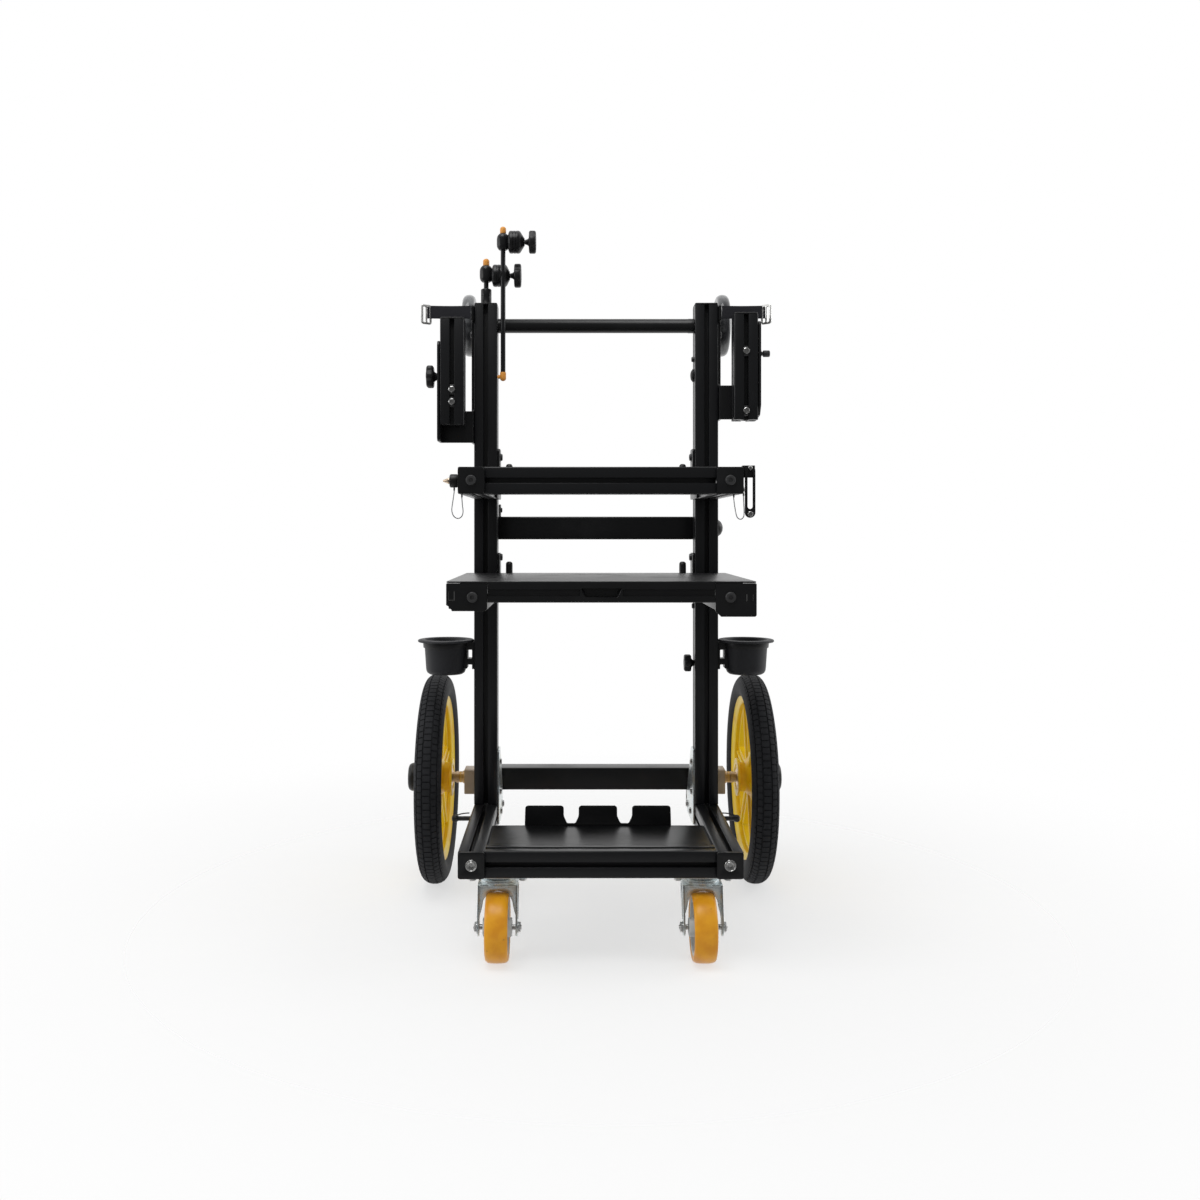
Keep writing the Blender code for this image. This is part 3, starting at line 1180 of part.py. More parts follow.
def make_cups():
    """Two cups that drop into brackets on the uprights' outer faces."""
    inner = CUP_RADIUS + CUP_FIT
    outer = inner + CUP_RING_WALL
    ring_top = CUP_TOP - CUP_FLANGE - GAP
    foot = CUP_TOP - CUP_HEIGHT
    under = CUP_TOP - CUP_FLANGE
    profile = [(0.0, foot + CUP_WALL), (CUP_FOOT_RADIUS - CUP_WALL, foot + CUP_WALL),
               (CUP_RADIUS - CUP_WALL, under),
               (CUP_RADIUS, CUP_TOP), (CUP_FLANGE_RADIUS, CUP_TOP), (CUP_FLANGE_RADIUS, under), (CUP_RADIUS,
                                                                                                 under),
               (CUP_FOOT_RADIUS, foot + 0.003), (CUP_FOOT_RADIUS - 0.003, foot), (0.0, foot)]
    for side, hand in HANDS:
        centre = (side * CUP_CENTRE, UPRIGHT_MIDDLE)
        cup = Body().turned(profile, (*centre, 0.0), (0, 0, 1), ROUND_SIDES)
        node("cup_" + hand, cup, MATT_PLASTIC, (*centre, CUP_TOP))
        ring = [(outer, ring_top), (outer, ring_top - CUP_RING_HEIGHT),
                (inner - 0.002, ring_top - CUP_RING_HEIGHT),
                (inner - 0.002, ring_top)]
        bracket = Body().turned(ring, (*centre, 0.0), (0, 0, 1), ROUND_SIDES)
        bracket = node("cup_bracket_" + hand, bracket, MATT_PLASTIC, (side * OUTER, UPRIGHT_MIDDLE, CUP_TOP))
        weld(bracket, cup_cradle(side, inner, ring_top))
        cut(bracket, Body().rod((*centre, foot), (*centre, CUP_TOP + 0.01), inner, steps=ROUND_SIDES))
    axis = (INNER - GAP, UPRIGHT_MIDDLE, CUP_KNOB_HEIGHT)
    turn = pivot("cup_knob_axis", axis)
    outline = star(UPRIGHT_MIDDLE, CUP_KNOB_HEIGHT, CUP_KNOB_RADIUS)
    knob = Body().sheet("x", outline, axis[0] - CUP_KNOB_STEM, axis[0] - CUP_KNOB_LENGTH)
    knob = node("cup_knob", knob, BLACK_PLASTIC, axis, turn)
    weld(knob, Body().rod(axis, (axis[0] - CUP_KNOB_STEM - JOINT_DEPTH, *axis[1:]), CUP_KNOB_RADIUS * 0.45))


def cup_cradle(side, inner, ring_top):
    """One bracket's outline seen from the front: wall plate, two arms and the post by the cup."""
    wall = OUTER + GAP
    leaf = wall + CUP_BRACKET_SHEET
    post = CUP_CENTRE - inner + CUP_POST_DEPTH
    post_inner = post - CUP_POST_WIDTH
    low = CUP_TOP - CUP_BRACKET_DROP
    top = ring_top - CAP_INSET
    arm_low = low + CUP_ARM_RISE
    arm_high = arm_low + CUP_ARM_HEIGHT
    bridge = top - CUP_ARM_HEIGHT - CUP_BRACKET_SHEET
    outline = [(wall, low), (leaf, low), (leaf, arm_low), (post_inner, arm_low), (post_inner, low),
               (post, low),
               (post, top), (wall, top)]
    window = [(leaf, arm_high), (post_inner, arm_high), (post_inner, bridge), (leaf, bridge)]
    outline = [(side * across, height) for across, height in outline]
    window = [(side * across, height) for across, height in window]
    half = CUP_BRACKET_DEPTH / 2
    return Body().sheet("y", outline, UPRIGHT_MIDDLE - half, UPRIGHT_MIDDLE + half, [window])


def make_wings():
    """Vertical rails beside the uprights, each with a cap and two screws in its front slot."""
    back = WING_FRONT + RAIL
    for side, hand in HANDS:
        bottom = WING_BOTTOM_LEFT if side < 0 else WING_BOTTOM_RIGHT
        top = bottom + WING_LENGTH
        middle = (side * WING_OFFSET, WING_FRONT + RAIL / 2)
        wing = Body().rail("z", bottom, top, middle)
        wing = node("wing_" + hand, wing, BLACK_ANODISED, (*middle, bottom))
        half = RAIL / 2 - CAP_INSET
        cap = rectangle((middle[0] - half, WING_FRONT + CAP_INSET), (middle[0] + half, back - CAP_INSET),
                        PLATE_CORNER)
        weld(wing, Body().sheet("z", cap, top - JOINT_DEPTH, top + RAIL_CAP))
        heads = Body()
        for height in (WING_SCREWS_LEFT if side < 0 else WING_SCREWS_RIGHT):
            heads.head((middle[0], WING_FRONT, height), (0, -1, 0))
        weld(wing, heads)
    start = -(WING_FLANGE_OFFSET + SIDE_PLATE + GAP)
    axis = (start, WING_FRONT + RAIL / 2, WING_KNOB_HEIGHT)
    turn = pivot("wing_knob_axis", axis)
    knob = Body().sheet("x", star(axis[1], axis[2], WING_KNOB_RADIUS), start - WING_KNOB_STEM,
                        start - WING_KNOB_LENGTH)
    knob = node("wing_knob", knob, BLACK_PLASTIC, axis, turn)
    radius = WING_KNOB_RADIUS
    weld(knob, Body().rod(axis, (start - WING_KNOB_STEM - JOINT_DEPTH, *axis[1:]), radius * 0.3,
                          radius * 0.55))


def make_side_plates():
    """Bent plates on the uprights' outer faces that hold the wings, the straps and the rollers."""
    back = WING_FRONT + RAIL
    plate_front = back + GAP
    plate_back = plate_front + SIDE_PLATE
    front_edge = UPRIGHT_FRONT + 0.002
    back_edge = UPRIGHT_BACK - 0.002
    ear_low = UPRIGHT_TOP - STRAP_DROP - 0.003
    hub = circle(ROLLER_BACK, ROLLER_HEIGHT, ROLLER_EAR_RADIUS)
    for side, hand in HANDS:
        arm_low, arm_high = WING_ARM_LEFT if side < 0 else WING_ARM_RIGHT
        wall = side * (OUTER + GAP)
        face = wall + side * SIDE_PLATE
        outline = [(back_edge, arm_low + CAP_INSET), (back_edge, ROLLER_HEIGHT - ROLLER_RADIUS),
                   *hub[9:], *hub[:4],
                   (plate_back + 0.001, UPRIGHT_TOP - 0.002), (plate_back + 0.001, ear_low),
                   (front_edge, ear_low),
                   (front_edge, arm_high - CAP_INSET), (plate_front + CAP_INSET, arm_high - CAP_INSET),
                   (plate_front + CAP_INSET, arm_low + CAP_INSET)]
        plate = Body().sheet("x", outline, wall, face)
        plate = node("side_plate_" + hand, plate, BLACK_PAINT, (wall, UPRIGHT_MIDDLE, UPRIGHT_TOP))
        flange = side * WING_FLANGE_OFFSET
        flange_top = WING_FLANGE_TOP_LEFT if side < 0 else WING_FLANGE_TOP_RIGHT
        arm = Body().box((face - side * JOINT_DEPTH, plate_front, arm_low),
                         (flange + side * JOINT_DEPTH, plate_back, arm_high))
        weld(plate, arm)
        leaf = rounded([(WING_FRONT, arm_low - CAP_INSET), (plate_back + CAP_INSET, arm_low - CAP_INSET),
                        (plate_back + CAP_INSET, flange_top), (WING_FRONT, flange_top)], PLATE_CORNER)
        weld(plate, Body().sheet("x", leaf, flange, flange + side * SIDE_PLATE))
        heads = Body()
        for height in (arm_low + 0.012, arm_high - 0.012, ear_low - 0.020, UPRIGHT_TOP - 0.014):
            heads.head((face, UPRIGHT_MIDDLE, height), (side, 0, 0))
        outer = ROLLER_INNER + ROLLER_WIDTH + GAP
        radius = ROLLER_AXLE_RADIUS
        inside = OUTER + GAP
        profile = [(0.0, outer + 0.006), (radius + 0.001, outer + 0.006), (radius + 0.003, outer + 0.004),
                   (radius + 0.003, outer), (radius, outer), (radius, inside + JOINT_DEPTH),
                   (radius + 0.003, inside + JOINT_DEPTH), (radius + 0.003, inside - 0.006), (0.0,
                                                                                              inside - 0.006)]
        heads.turned(profile, (0.0, ROLLER_BACK, ROLLER_HEIGHT), (side, 0, 0))
        if side > 0:
            nut = WING_FLANGE_OFFSET + SIDE_PLATE
            heads.turned([(0.0, 0.0155), (0.003, 0.0155), (0.003, 0.005), (0.0062, 0.005),
                          (0.0062, -JOINT_DEPTH),
                          (0.0, -JOINT_DEPTH)], (nut, WING_FRONT + RAIL / 2, WING_STUD_HEIGHT), (1, 0,
                                                                                                 0),
                                                                                                 SCREW_SIDES)
        weld(plate, heads)


def make_rollers():
    for side, hand in HANDS:
        axis = (side * (ROLLER_INNER + ROLLER_WIDTH / 2), ROLLER_BACK, ROLLER_HEIGHT)
        half = ROLLER_WIDTH / 2
        bore = ROLLER_AXLE_RADIUS + PIN_FIT
        edge = ROLLER_RADIUS - ROLLER_ROUNDING
        profile = [(ROLLER_RADIUS, 0.35 * half), (ROLLER_RADIUS, -0.35 * half), (edge, -half),
                   (0.5 * edge, -half),
                   (0.5 * edge, -0.6 * half), (bore, -0.6 * half), (bore, half), (0.5 * edge, 0.6 * half),
                   (0.5 * edge, half), (edge, half)]
        turn = pivot("roller_axis_" + hand, axis)
        node("roller_" + hand, Body().turned(profile, axis, (side, 0, 0), ROUND_SIDES), CLEAR_ROLLER, axis,
             turn)


def make_straps():
    """A flat strap on edge behind each wing's top with a steel buckle at its end."""
    front = WING_FRONT + RAIL + 2 * GAP
    back = front + STRAP_THICKNESS
    low = UPRIGHT_TOP - STRAP_DROP
    high = low + STRAP_WIDTH
    start = OUTER + GAP + SIDE_PLATE + GAP
    inner = STRAP_END - JOINT_DEPTH
    outer = STRAP_END + BUCKLE_WIDTH
    middle = (low + high) / 2 - BUCKLE_SAG
    for side, hand in HANDS:
        strap = Body().box((side * start, front, low), (side * STRAP_END, back, high))
        strap = node("strap_" + hand, strap, WEBBING, (side * start, front, low))
        left, right = span(side * inner, side * outer)
        frame = rectangle((left, middle - BUCKLE_HEIGHT / 2), (right, middle + BUCKLE_HEIGHT / 2), 0.003)
        centre = side * (inner + outer) / 2
        slots = []
        for k in (-1, 1):
            shift = centre + k * BUCKLE_WIDTH * 0.22
            half = BUCKLE_WIDTH * 0.15
            slots.append(rectangle((shift - half, middle - BUCKLE_HEIGHT / 2 + 0.004),
                                   (shift + half, middle + BUCKLE_HEIGHT / 2 - 0.004), 0.001, 1))
        start_back = front + (STRAP_THICKNESS - BUCKLE_SHEET) / 2
        weld(strap, Body().sheet("y", frame, start_back, start_back + BUCKLE_SHEET, slots))


def make_arm():
    """The jointed microphone arm on the left upright's spigot."""
    bore = ARM_NECK_RADIUS + PIN_FIT
    foot = (-MIDDLE, ARM_BACK, ARM_COLLAR_BOTTOM)
    swivel = pivot("arm_swivel_axis", foot)
    collar = [(ARM_COLLAR_RADIUS, ARM_COLLAR_TOP), (ARM_COLLAR_RADIUS, ARM_COLLAR_BOTTOM),
              (bore, ARM_COLLAR_BOTTOM),
              (bore, ARM_COLLAR_TOP)]
    body = Body().turned(collar, (-MIDDLE, ARM_BACK, 0.0), (0, 0, 1))
    lower = node("arm_lower_head", body, BLACK_PAINT, foot, swivel)
    start = MIDDLE - ARM_COLLAR_RADIUS + JOINT_DEPTH
    tilt = (-ARM_HEAD_SPLIT, ARM_BACK, ARM_HEAD_HEIGHT)
    weld(lower, Body().rod((-start, *tilt[1:]), tilt, ARM_HEAD_RADIUS, steps=ROUND_SIDES))

    outer = -ARM_HEAD_OUTER
    turn = pivot("arm_tilt_axis", tilt, swivel)
    jaw = Body().rod((-ARM_HEAD_SPLIT + GAP, *tilt[1:]), (outer, *tilt[1:]), ARM_HEAD_RADIUS,
                     steps=ROUND_SIDES)
    jaw = node("arm_rod", jaw, BLACK_PAINT, tilt, turn)
    across = -ARM_ROD_ACROSS
    bottom = ARM_ROD_BOTTOM - ARM_LOW_TIP_LENGTH
    top = ARM_ROD_TOP + ARM_TIP_LENGTH
    wide = ARM_ROD_TIP_RADIUS
    profile = [(0.0, top), (wide * 0.8, top), (wide, top - 0.002), (wide, ARM_ROD_TOP),
               (ARM_NECK_RADIUS, ARM_ROD_TOP),
               (ARM_NECK_RADIUS, ARM_ROD_BOTTOM), (wide, ARM_ROD_BOTTOM), (wide,
                                                                           bottom + 0.002), (wide * 0.8,
                                                                                             bottom),
               (0.0, bottom)]
    weld(jaw, Body().turned(profile, (across, ARM_ROD_BACK, 0.0), (0, 0, 1)))

    head_height = (ARM_UPPER_BOTTOM + ARM_UPPER_TOP) / 2
    upper_axis = (across, ARM_ROD_BACK, ARM_UPPER_BOTTOM)
    turn_upper = pivot("arm_upper_axis", upper_axis, turn)
    radius = ARM_UPPER_COLLAR_RADIUS
    collar = [(radius, ARM_UPPER_TOP), (radius, ARM_UPPER_BOTTOM), (bore, ARM_UPPER_BOTTOM),
              (bore, ARM_UPPER_TOP)]
    body = Body().turned(collar, (across, ARM_ROD_BACK, 0.0), (0, 0, 1))
    upper = node("arm_upper_head", body, BLACK_PAINT, upper_axis, turn_upper)
    start = (-ARM_ROD_ACROSS + radius - JOINT_DEPTH, ARM_ROD_BACK, head_height)
    end = (-ARM_UPPER_OUTER, ARM_ROD_BACK, head_height)
    weld(upper, Body().rod(start, end, ARM_UPPER_RADIUS, steps=ROUND_SIDES))
    arm_knob("arm_lower_knob", (outer + GAP, ARM_BACK, ARM_HEAD_HEIGHT), ARM_KNOB_RADIUS, swivel)
    arm_knob("arm_upper_knob", (end[0] + GAP, ARM_ROD_BACK, head_height), ARM_UPPER_KNOB_RADIUS, turn_upper)


def arm_knob(name, start, radius, parent):
    """A lobed knob on a short stem, along X."""
    turn = pivot(name + "_axis", start, parent)
    face = start[0] + ARM_KNOB_STEM
    knob = Body().sheet("x", star(start[1], start[2], radius), face, face + ARM_KNOB_LENGTH)
    knob = node(name, knob, BLACK_PLASTIC, start, turn)
    weld(knob, Body().rod(start, (face + JOINT_DEPTH, *start[1:]), ARM_KNOB_STEM_RADIUS))


def make_cart():
    make_base()
    make_uprights()
    make_gussets()
    make_axle()
    for side, hand in HANDS:
        make_wheel(side, hand)
    make_lock_pins()
    make_tray()
    make_casters()
    make_upper_frame()
    make_mid_shelf()
    make_cups()
    make_side_plates()
    make_wings()
    make_rollers()
    make_straps()
    make_arm()


clear_scene()
PARTS = new_collection("sound_cart")
CUTTERS = new_collection("cutters")
BLACK_ANODISED = new_material("black_anodised", (0.012, 0.012, 0.014), 0.38, 0.3)
BLACK_PAINT = new_material("black_paint", (0.010, 0.010, 0.011), 0.35)
BLACK_PLASTIC = new_material("black_plastic", (0.010, 0.010, 0.011), 0.5)
MATT_PLASTIC = new_material("matt_plastic", (0.022, 0.022, 0.023), 0.6)
TYRE_RUBBER = new_material("tyre_rubber", (0.014, 0.014, 0.015), 0.8)
YELLOW_RIM = new_material("yellow_rim", (0.78, 0.50, 0.02), 0.4)
ORANGE_TREAD = new_material("orange_tread", (0.75, 0.34, 0.015), 0.5)
CLEAR_ROLLER = new_material("clear_roller", (0.12, 0.12, 0.13), 0.3)
ZINC = new_material("zinc", (0.56, 0.58, 0.57), 0.35, 1.0)
STEEL = new_material("steel", (0.60, 0.61, 0.62), 0.3, 1.0)
BARE_ALUMINIUM = new_material("bare_aluminium", (0.42, 0.37, 0.31), 0.45, 0.8)
BRASS = new_material("brass", (0.50, 0.38, 0.18), 0.35, 1.0)
WEBBING = new_material("webbing", (0.02, 0.02, 0.026), 0.9)
make_cart()
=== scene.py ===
import math

import bpy
import numpy as np
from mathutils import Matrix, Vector
from mathutils.geometry import tessellate_polygon


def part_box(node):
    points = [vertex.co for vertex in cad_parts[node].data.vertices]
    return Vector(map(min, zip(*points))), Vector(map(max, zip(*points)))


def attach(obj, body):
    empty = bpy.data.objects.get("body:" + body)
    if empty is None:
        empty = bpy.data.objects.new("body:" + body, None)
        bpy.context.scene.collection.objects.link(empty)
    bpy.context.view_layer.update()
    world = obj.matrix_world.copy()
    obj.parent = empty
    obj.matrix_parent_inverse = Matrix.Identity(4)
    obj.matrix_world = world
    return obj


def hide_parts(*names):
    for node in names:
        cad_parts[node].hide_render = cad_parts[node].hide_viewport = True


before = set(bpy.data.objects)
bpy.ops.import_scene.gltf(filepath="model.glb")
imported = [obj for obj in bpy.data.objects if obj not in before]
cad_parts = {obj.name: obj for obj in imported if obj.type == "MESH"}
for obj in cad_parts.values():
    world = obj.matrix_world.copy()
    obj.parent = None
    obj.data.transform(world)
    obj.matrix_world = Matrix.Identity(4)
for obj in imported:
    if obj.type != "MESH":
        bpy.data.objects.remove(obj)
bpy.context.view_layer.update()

scene = bpy.context.scene
hands = ((-1, "left"), (1, "right"))
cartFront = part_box("upright_left")[0].y - 0.304  # the base's front face, along world Y


# One line of output for each stage
def note(text):
    print("sound cart:", text)


# Camera, where the photograph was taken; y in this file counts back from the base's front face
view = {"lens": 35.85, "across": -0.045, "away": 1.750, "height": 0.640,
        "shiftX": 0.025, "shiftY": -0.0583}


# A level camera that looks along Y, its picture shifted as the photograph is cropped
def makeCamera():
    data = bpy.data.cameras.new("photoCamera")
    data.lens = view["lens"]
    data.shift_x = view["shiftX"]
    data.shift_y = view["shiftY"]
    camera = bpy.data.objects.new("photoCamera", data)
    camera.location = (view["across"], cartFront - view["away"], view["height"])
    camera.rotation_euler = (math.pi / 2, 0.0, 0.0)
    scene.collection.objects.link(camera)
    scene.camera = camera


makeCamera()
note("camera placed")


# A shader socket; an operator on it adds the Math node for it
class Value:
    def __init__(self, shader, socket):
        self.shader = shader
        self.socket = socket

    def math(self, operation, other=None, turned=False):
        sockets = {0: other, 1: self} if turned else {0: self, 1: other}
        sockets = {i: v for i, v in sockets.items() if v is not None}
        return self.shader.node("ShaderNodeMath", {"operation": operation}, sockets)

    def __add__(self, other):
        return self.math("ADD", other)

    def __radd__(self, other):
        return self.math("ADD", other)

    def __sub__(self, other):
        return self.math("SUBTRACT", other)

    def __rsub__(self, other):
        return self.math("SUBTRACT", other, turned=True)

    def __mul__(self, other):
        return self.math("MULTIPLY", other)

    def __rmul__(self, other):
        return self.math("MULTIPLY", other)

    def between(self, low, high):  # 0 under low, 1 over high, smooth in between
        return self.shader.node("ShaderNodeMapRange", {"interpolation_type": "SMOOTHSTEP"},
                                {"Value": self, "From Min": low, "From Max": high})


# One node tree, of a finish or of the sky
class Shader:
    def __init__(self, tree):
        self.tree = tree

    def fill(self, node, sockets):
        for key, value in sockets.items():
            socket = node.inputs[key]
            if isinstance(value, Value):
                self.tree.links.new(value.socket, socket)
            elif socket.type == "RGBA" and len(value) == 3:
                socket.default_value = (*value, 1.0)
            else:
                socket.default_value = value

    def node(self, kind, settings=None, sockets=None, output=0):
        node = self.tree.nodes.new(kind)
        for key, value in (settings or {}).items():
            setattr(node, key, value)
        self.fill(node, sockets or {})
        return Value(self, node.outputs[output])

    def point(self):
        return self.node("ShaderNodeTexCoord", output="Object")

    def stretched(self, scale):
        return self.node("ShaderNodeMapping", None, {"Vector": self.point(), "Scale": scale})

    def noise(self, scale, detail=2.0, roughness=0.5, vector=None):
        return self.node("ShaderNodeTexNoise", None, {"Vector": vector or self.point(), "Scale": scale,
                                                      "Detail": detail, "Roughness": roughness})

    def blend(self, share, a, b):  # colour a where share is 0, colour b where it is 1
        return self.node("ShaderNodeMix", {"data_type": "RGBA"}, {0: share, 6: a, 7: b}, output=2)

    def bump(self, height, distance, strength=1.0):
        return self.node("ShaderNodeBump", None, {"Height": height, "Distance": distance,
                                                  "Strength": strength})

    def split(self, vector):  # the three coordinates of a vector
        first = self.node("ShaderNodeSeparateXYZ", None, {0: vector})
        return [Value(self, socket) for socket in first.socket.node.outputs]


# A finish starts as a Principled surface with the sockets that are the same all over it
class Finish(Shader):
    def __init__(self, name, **sockets):
        self.material = bpy.data.materials.new(name)
        self.material.use_nodes = True
        super().__init__(self.material.node_tree)
        self.surface = self.tree.nodes["Principled BSDF"]
        self.done(**sockets)

    def done(self, **sockets):
        self.fill(self.surface, {key.replace("_", " "): value for key, value in sockets.items()})
        return self.material


finishes = {
    "anodised": {"color": (0.0080, 0.0084, 0.0096), "worn": (0.026, 0.027, 0.030), "roughness": 0.32},
    "painted": {"color": (0.0065, 0.0067, 0.0074), "dust": (0.020, 0.020, 0.022), "roughness": 0.34},
    "moulded": {"color": (0.0070, 0.0070, 0.0076), "roughness": 0.42, "dent": 0.00006},
    "printed": {"color": (0.0125, 0.0132, 0.0160), "roughness": 0.54, "dent": 0.00012},
    "rubber": {"color": (0.0100, 0.0108, 0.0130), "dust": (0.026, 0.027, 0.031), "roughness": 0.70},
    "yellow": {"color": (0.96, 0.68, 0.012), "shade": (0.88, 0.52, 0.008), "roughness": 0.36},
    "orange": {"color": (0.78, 0.35, 0.010), "shade": (0.68, 0.27, 0.006), "roughness": 0.34},
    "core": {"color": (0.62, 0.62, 0.60), "shade": (0.50, 0.50, 0.48), "roughness": 0.45},
    "tip": {"color": (0.72, 0.31, 0.050), "shade": (0.60, 0.22, 0.022), "roughness": 0.42},
    "zinc": {"color": (0.70, 0.74, 0.74), "blue": (0.60, 0.68, 0.72), "warm": (0.74, 0.71, 0.62),
             "roughness": 0.24},
    "steel": {"color": (0.60, 0.60, 0.59), "shade": (0.40, 0.40, 0.40), "roughness": 0.24},
    "pale": {"color": (0.80, 0.80, 0.78), "shade": (0.56, 0.56, 0.56), "roughness": 0.36},
    "dull": {"color": (0.075, 0.075, 0.077), "shade": (0.045, 0.045, 0.046), "roughness": 0.42},
    "bare": {"color": (0.45, 0.375, 0.30), "shade": (0.34, 0.28, 0.22), "roughness": 0.42},
    "brass": {"color": (0.74, 0.60, 0.46), "shade": (0.55, 0.42, 0.30), "roughness": 0.32},
    # The smoky roller's pale colour paints reflection streaks
    "smoky": {"color": (0.036, 0.037, 0.041), "pale": (0.16, 0.165, 0.17), "roughness": 0.22},
    "webbing": {"color": (0.0120, 0.0122, 0.0150), "light": (0.030, 0.030, 0.036), "roughness": 0.80},
}


# Satin black anodising: noise drawn out along the rail for its extrusion lines, mottling and rub marks
def anodised(name, axis):
    f = finishes["anodised"]
    s = Finish(name, Specular_IOR_Level=0.40)
    lines = s.noise(26.0, 3.0, vector=s.stretched([1.2 if "xyz"[i] == axis else 90.0 for i in range(3)]))
    mottle = s.noise(38.0, 4.0)
    marks = s.noise(7.0, 5.0, 0.65).between(0.60, 0.78)
    color = s.blend(marks * 0.30 + lines.between(0.55, 0.85) * 0.12, f["color"], f["worn"])
    rough = lines * 0.10 + mottle * 0.08 + marks * 0.10 + (f["roughness"] - 0.09)
    return s.done(**{"Base Color": color, "Roughness": rough, "Normal": s.bump(lines, 0.00006, 0.35)})


# Fine satin powder coat: small grain and a light film of dust
def painted():
    f = finishes["painted"]
    s = Finish("blackPaint", Specular_IOR_Level=0.42)
    grain = s.noise(1500.0)
    film = s.noise(9.0, 5.0, 0.6).between(0.48, 0.78)
    rough = grain * 0.06 + film * 0.12 + (f["roughness"] - 0.05)
    return s.done(**{"Base Color": s.blend(film * 0.30, f["color"], f["dust"]), "Roughness": rough,
                     "Normal": s.bump(grain, 0.00005, 0.30)})


# Moulded black plastic: fine grain, with patches that handling has polished
def moulded(name, key):
    f = finishes[key]
    s = Finish(name, Specular_IOR_Level=0.45)
    grain = s.noise(900.0)
    patch = s.noise(24.0, 3.0).between(0.42, 0.70)
    light = tuple(c * 1.7 for c in f["color"])
    return s.done(**{"Base Color": s.blend(grain * 0.4 + patch * 0.3, f["color"], light),
                     "Roughness": patch * 0.12 + grain * 0.05 + (f["roughness"] - 0.05),
                     "Normal": s.bump(grain, f["dent"], 0.4)})


# Tyre rubber: a dusty bloom over fine grain
def rubber():
    f = finishes["rubber"]
    s = Finish("tyreRubber", Specular_IOR_Level=0.30)
    bloom = s.noise(60.0, 5.0, 0.65)
    grain = s.noise(1100.0, 3.0)
    dust = bloom.between(0.42, 0.78) * 0.55 + grain * 0.20
    return s.done(**{"Base Color": s.blend(dust, f["color"], f["dust"]),
                     "Roughness": bloom * 0.18 + (f["roughness"] - 0.06),
                     "Normal": s.bump(grain, 0.00012, 0.5)})


# Coloured plastic: slow shade changes, fine grain and small dirty specks
def coloured(name, key, scale):
    f = finishes[key]
    s = Finish(name, Specular_IOR_Level=0.45)
    slow = s.noise(scale, 3.0).between(0.35, 0.72)
    grain = s.noise(700.0)
    specks = s.noise(190.0, 4.0, 0.6).between(0.66, 0.74)
    color = s.blend(specks * 0.35, s.blend(slow, f["color"], f["shade"]), (0.05, 0.04, 0.03))
    return s.done(**{"Base Color": color, "Roughness": grain * 0.08 + specks * 0.15 + (f["roughness"] - 0.05),
                     "Normal": s.bump(grain, 0.00005, 0.35)})


# Bright zinc plating: a blue and yellow cast, and soft spangle from cells
def zinced():
    f = finishes["zinc"]
    s = Finish("brightZinc", Metallic=1.0)
    cast = s.noise(34.0, 3.0)
    cells = s.node("ShaderNodeTexVoronoi", None, {"Vector": s.point(), "Scale": 420.0}, output="Distance")
    cool = s.blend(cast.between(0.30, 0.50), f["blue"], f["color"])
    return s.done(**{"Base Color": s.blend(cast.between(0.52, 0.70), cool, f["warm"]),
                     "Roughness": cells * 0.14 + cast * 0.10 + (f["roughness"] - 0.06),
                     "Normal": s.bump(cells, 0.00003, 0.25)})


# Turned or drawn metal: fine marks and stains that vary its polish
def metal(name, key, scale=700.0, metallic=1.0):
    f = finishes[key]
    s = Finish(name, Metallic=metallic)
    marks = s.noise(scale, 3.0, vector=s.stretched((1.0, 1.0, 0.25)))
    stain = s.noise(55.0, 4.0).between(0.45, 0.75)
    return s.done(**{"Base Color": s.blend(stain * 0.6 + marks * 0.2, f["color"], f["shade"]),
                     "Roughness": marks * 0.14 + stain * 0.12 + (f["roughness"] - 0.06),
                     "Normal": s.bump(marks, 0.00003, 0.4)})


# Smoky roller plastic with pale streaks that are painted reflections
def smoky():
    f = finishes["smoky"]
    s = Finish("smokyRoller", Coat_Weight=0.4, Coat_Roughness=0.12)
    paintedStreaks = s.noise(32.0, 5.0, 0.6)
    # The pale streaks in the colour are painted reflections
    return s.done(**{"Base Color": s.blend(paintedStreaks.between(0.40, 0.66), f["color"], f["pale"]),
                     "Roughness": paintedStreaks * 0.12 + (f["roughness"] - 0.04),
                     "Normal": s.bump(paintedStreaks, 0.0001, 0.2)})


# Woven strap: two slanted waves on its own map, u along and v across it, both in millimetres
def woven():
    f = finishes["webbing"]
    s = Finish("wovenWebbing", Specular_IOR_Level=0.25)
    u, v, _ = s.split(s.node("ShaderNodeUVMap", {"uv_map": "own"}))
    yarn = ((u * 3.4 + v * 1.9).math("SINE") * (u * 3.4 - v * 1.9).math("SINE")).between(-0.7, 0.8)
    fuzz = s.noise(2600.0)
    return s.done(**{"Base Color": s.blend(yarn * 0.75 + fuzz * 0.20, f["color"], f["light"]),
                     "Roughness": fuzz * 0.15 + f["roughness"], "Normal": s.bump(yarn, 0.00025, 0.8)})


# Wire rope: strands wound round its own map, u along it in millimetres and v once round it
def stranded():
    s = Finish("wireRope", Metallic=1.0)
    u, v, _ = s.split(s.node("ShaderNodeUVMap", {"uv_map": "own"}))
    strand = (u * 1.9 + v * (14 * math.pi)).math("SINE").between(-0.9, 0.9)
    # The colour is painted shade: dark in the grooves between the strands, light on their crowns
    return s.done(**{"Base Color": s.blend(strand, (0.22, 0.22, 0.23), (0.66, 0.67, 0.68)),
                     "Roughness": strand * -0.18 + 0.46, "Normal": s.bump(strand, 0.00015, 0.9)})


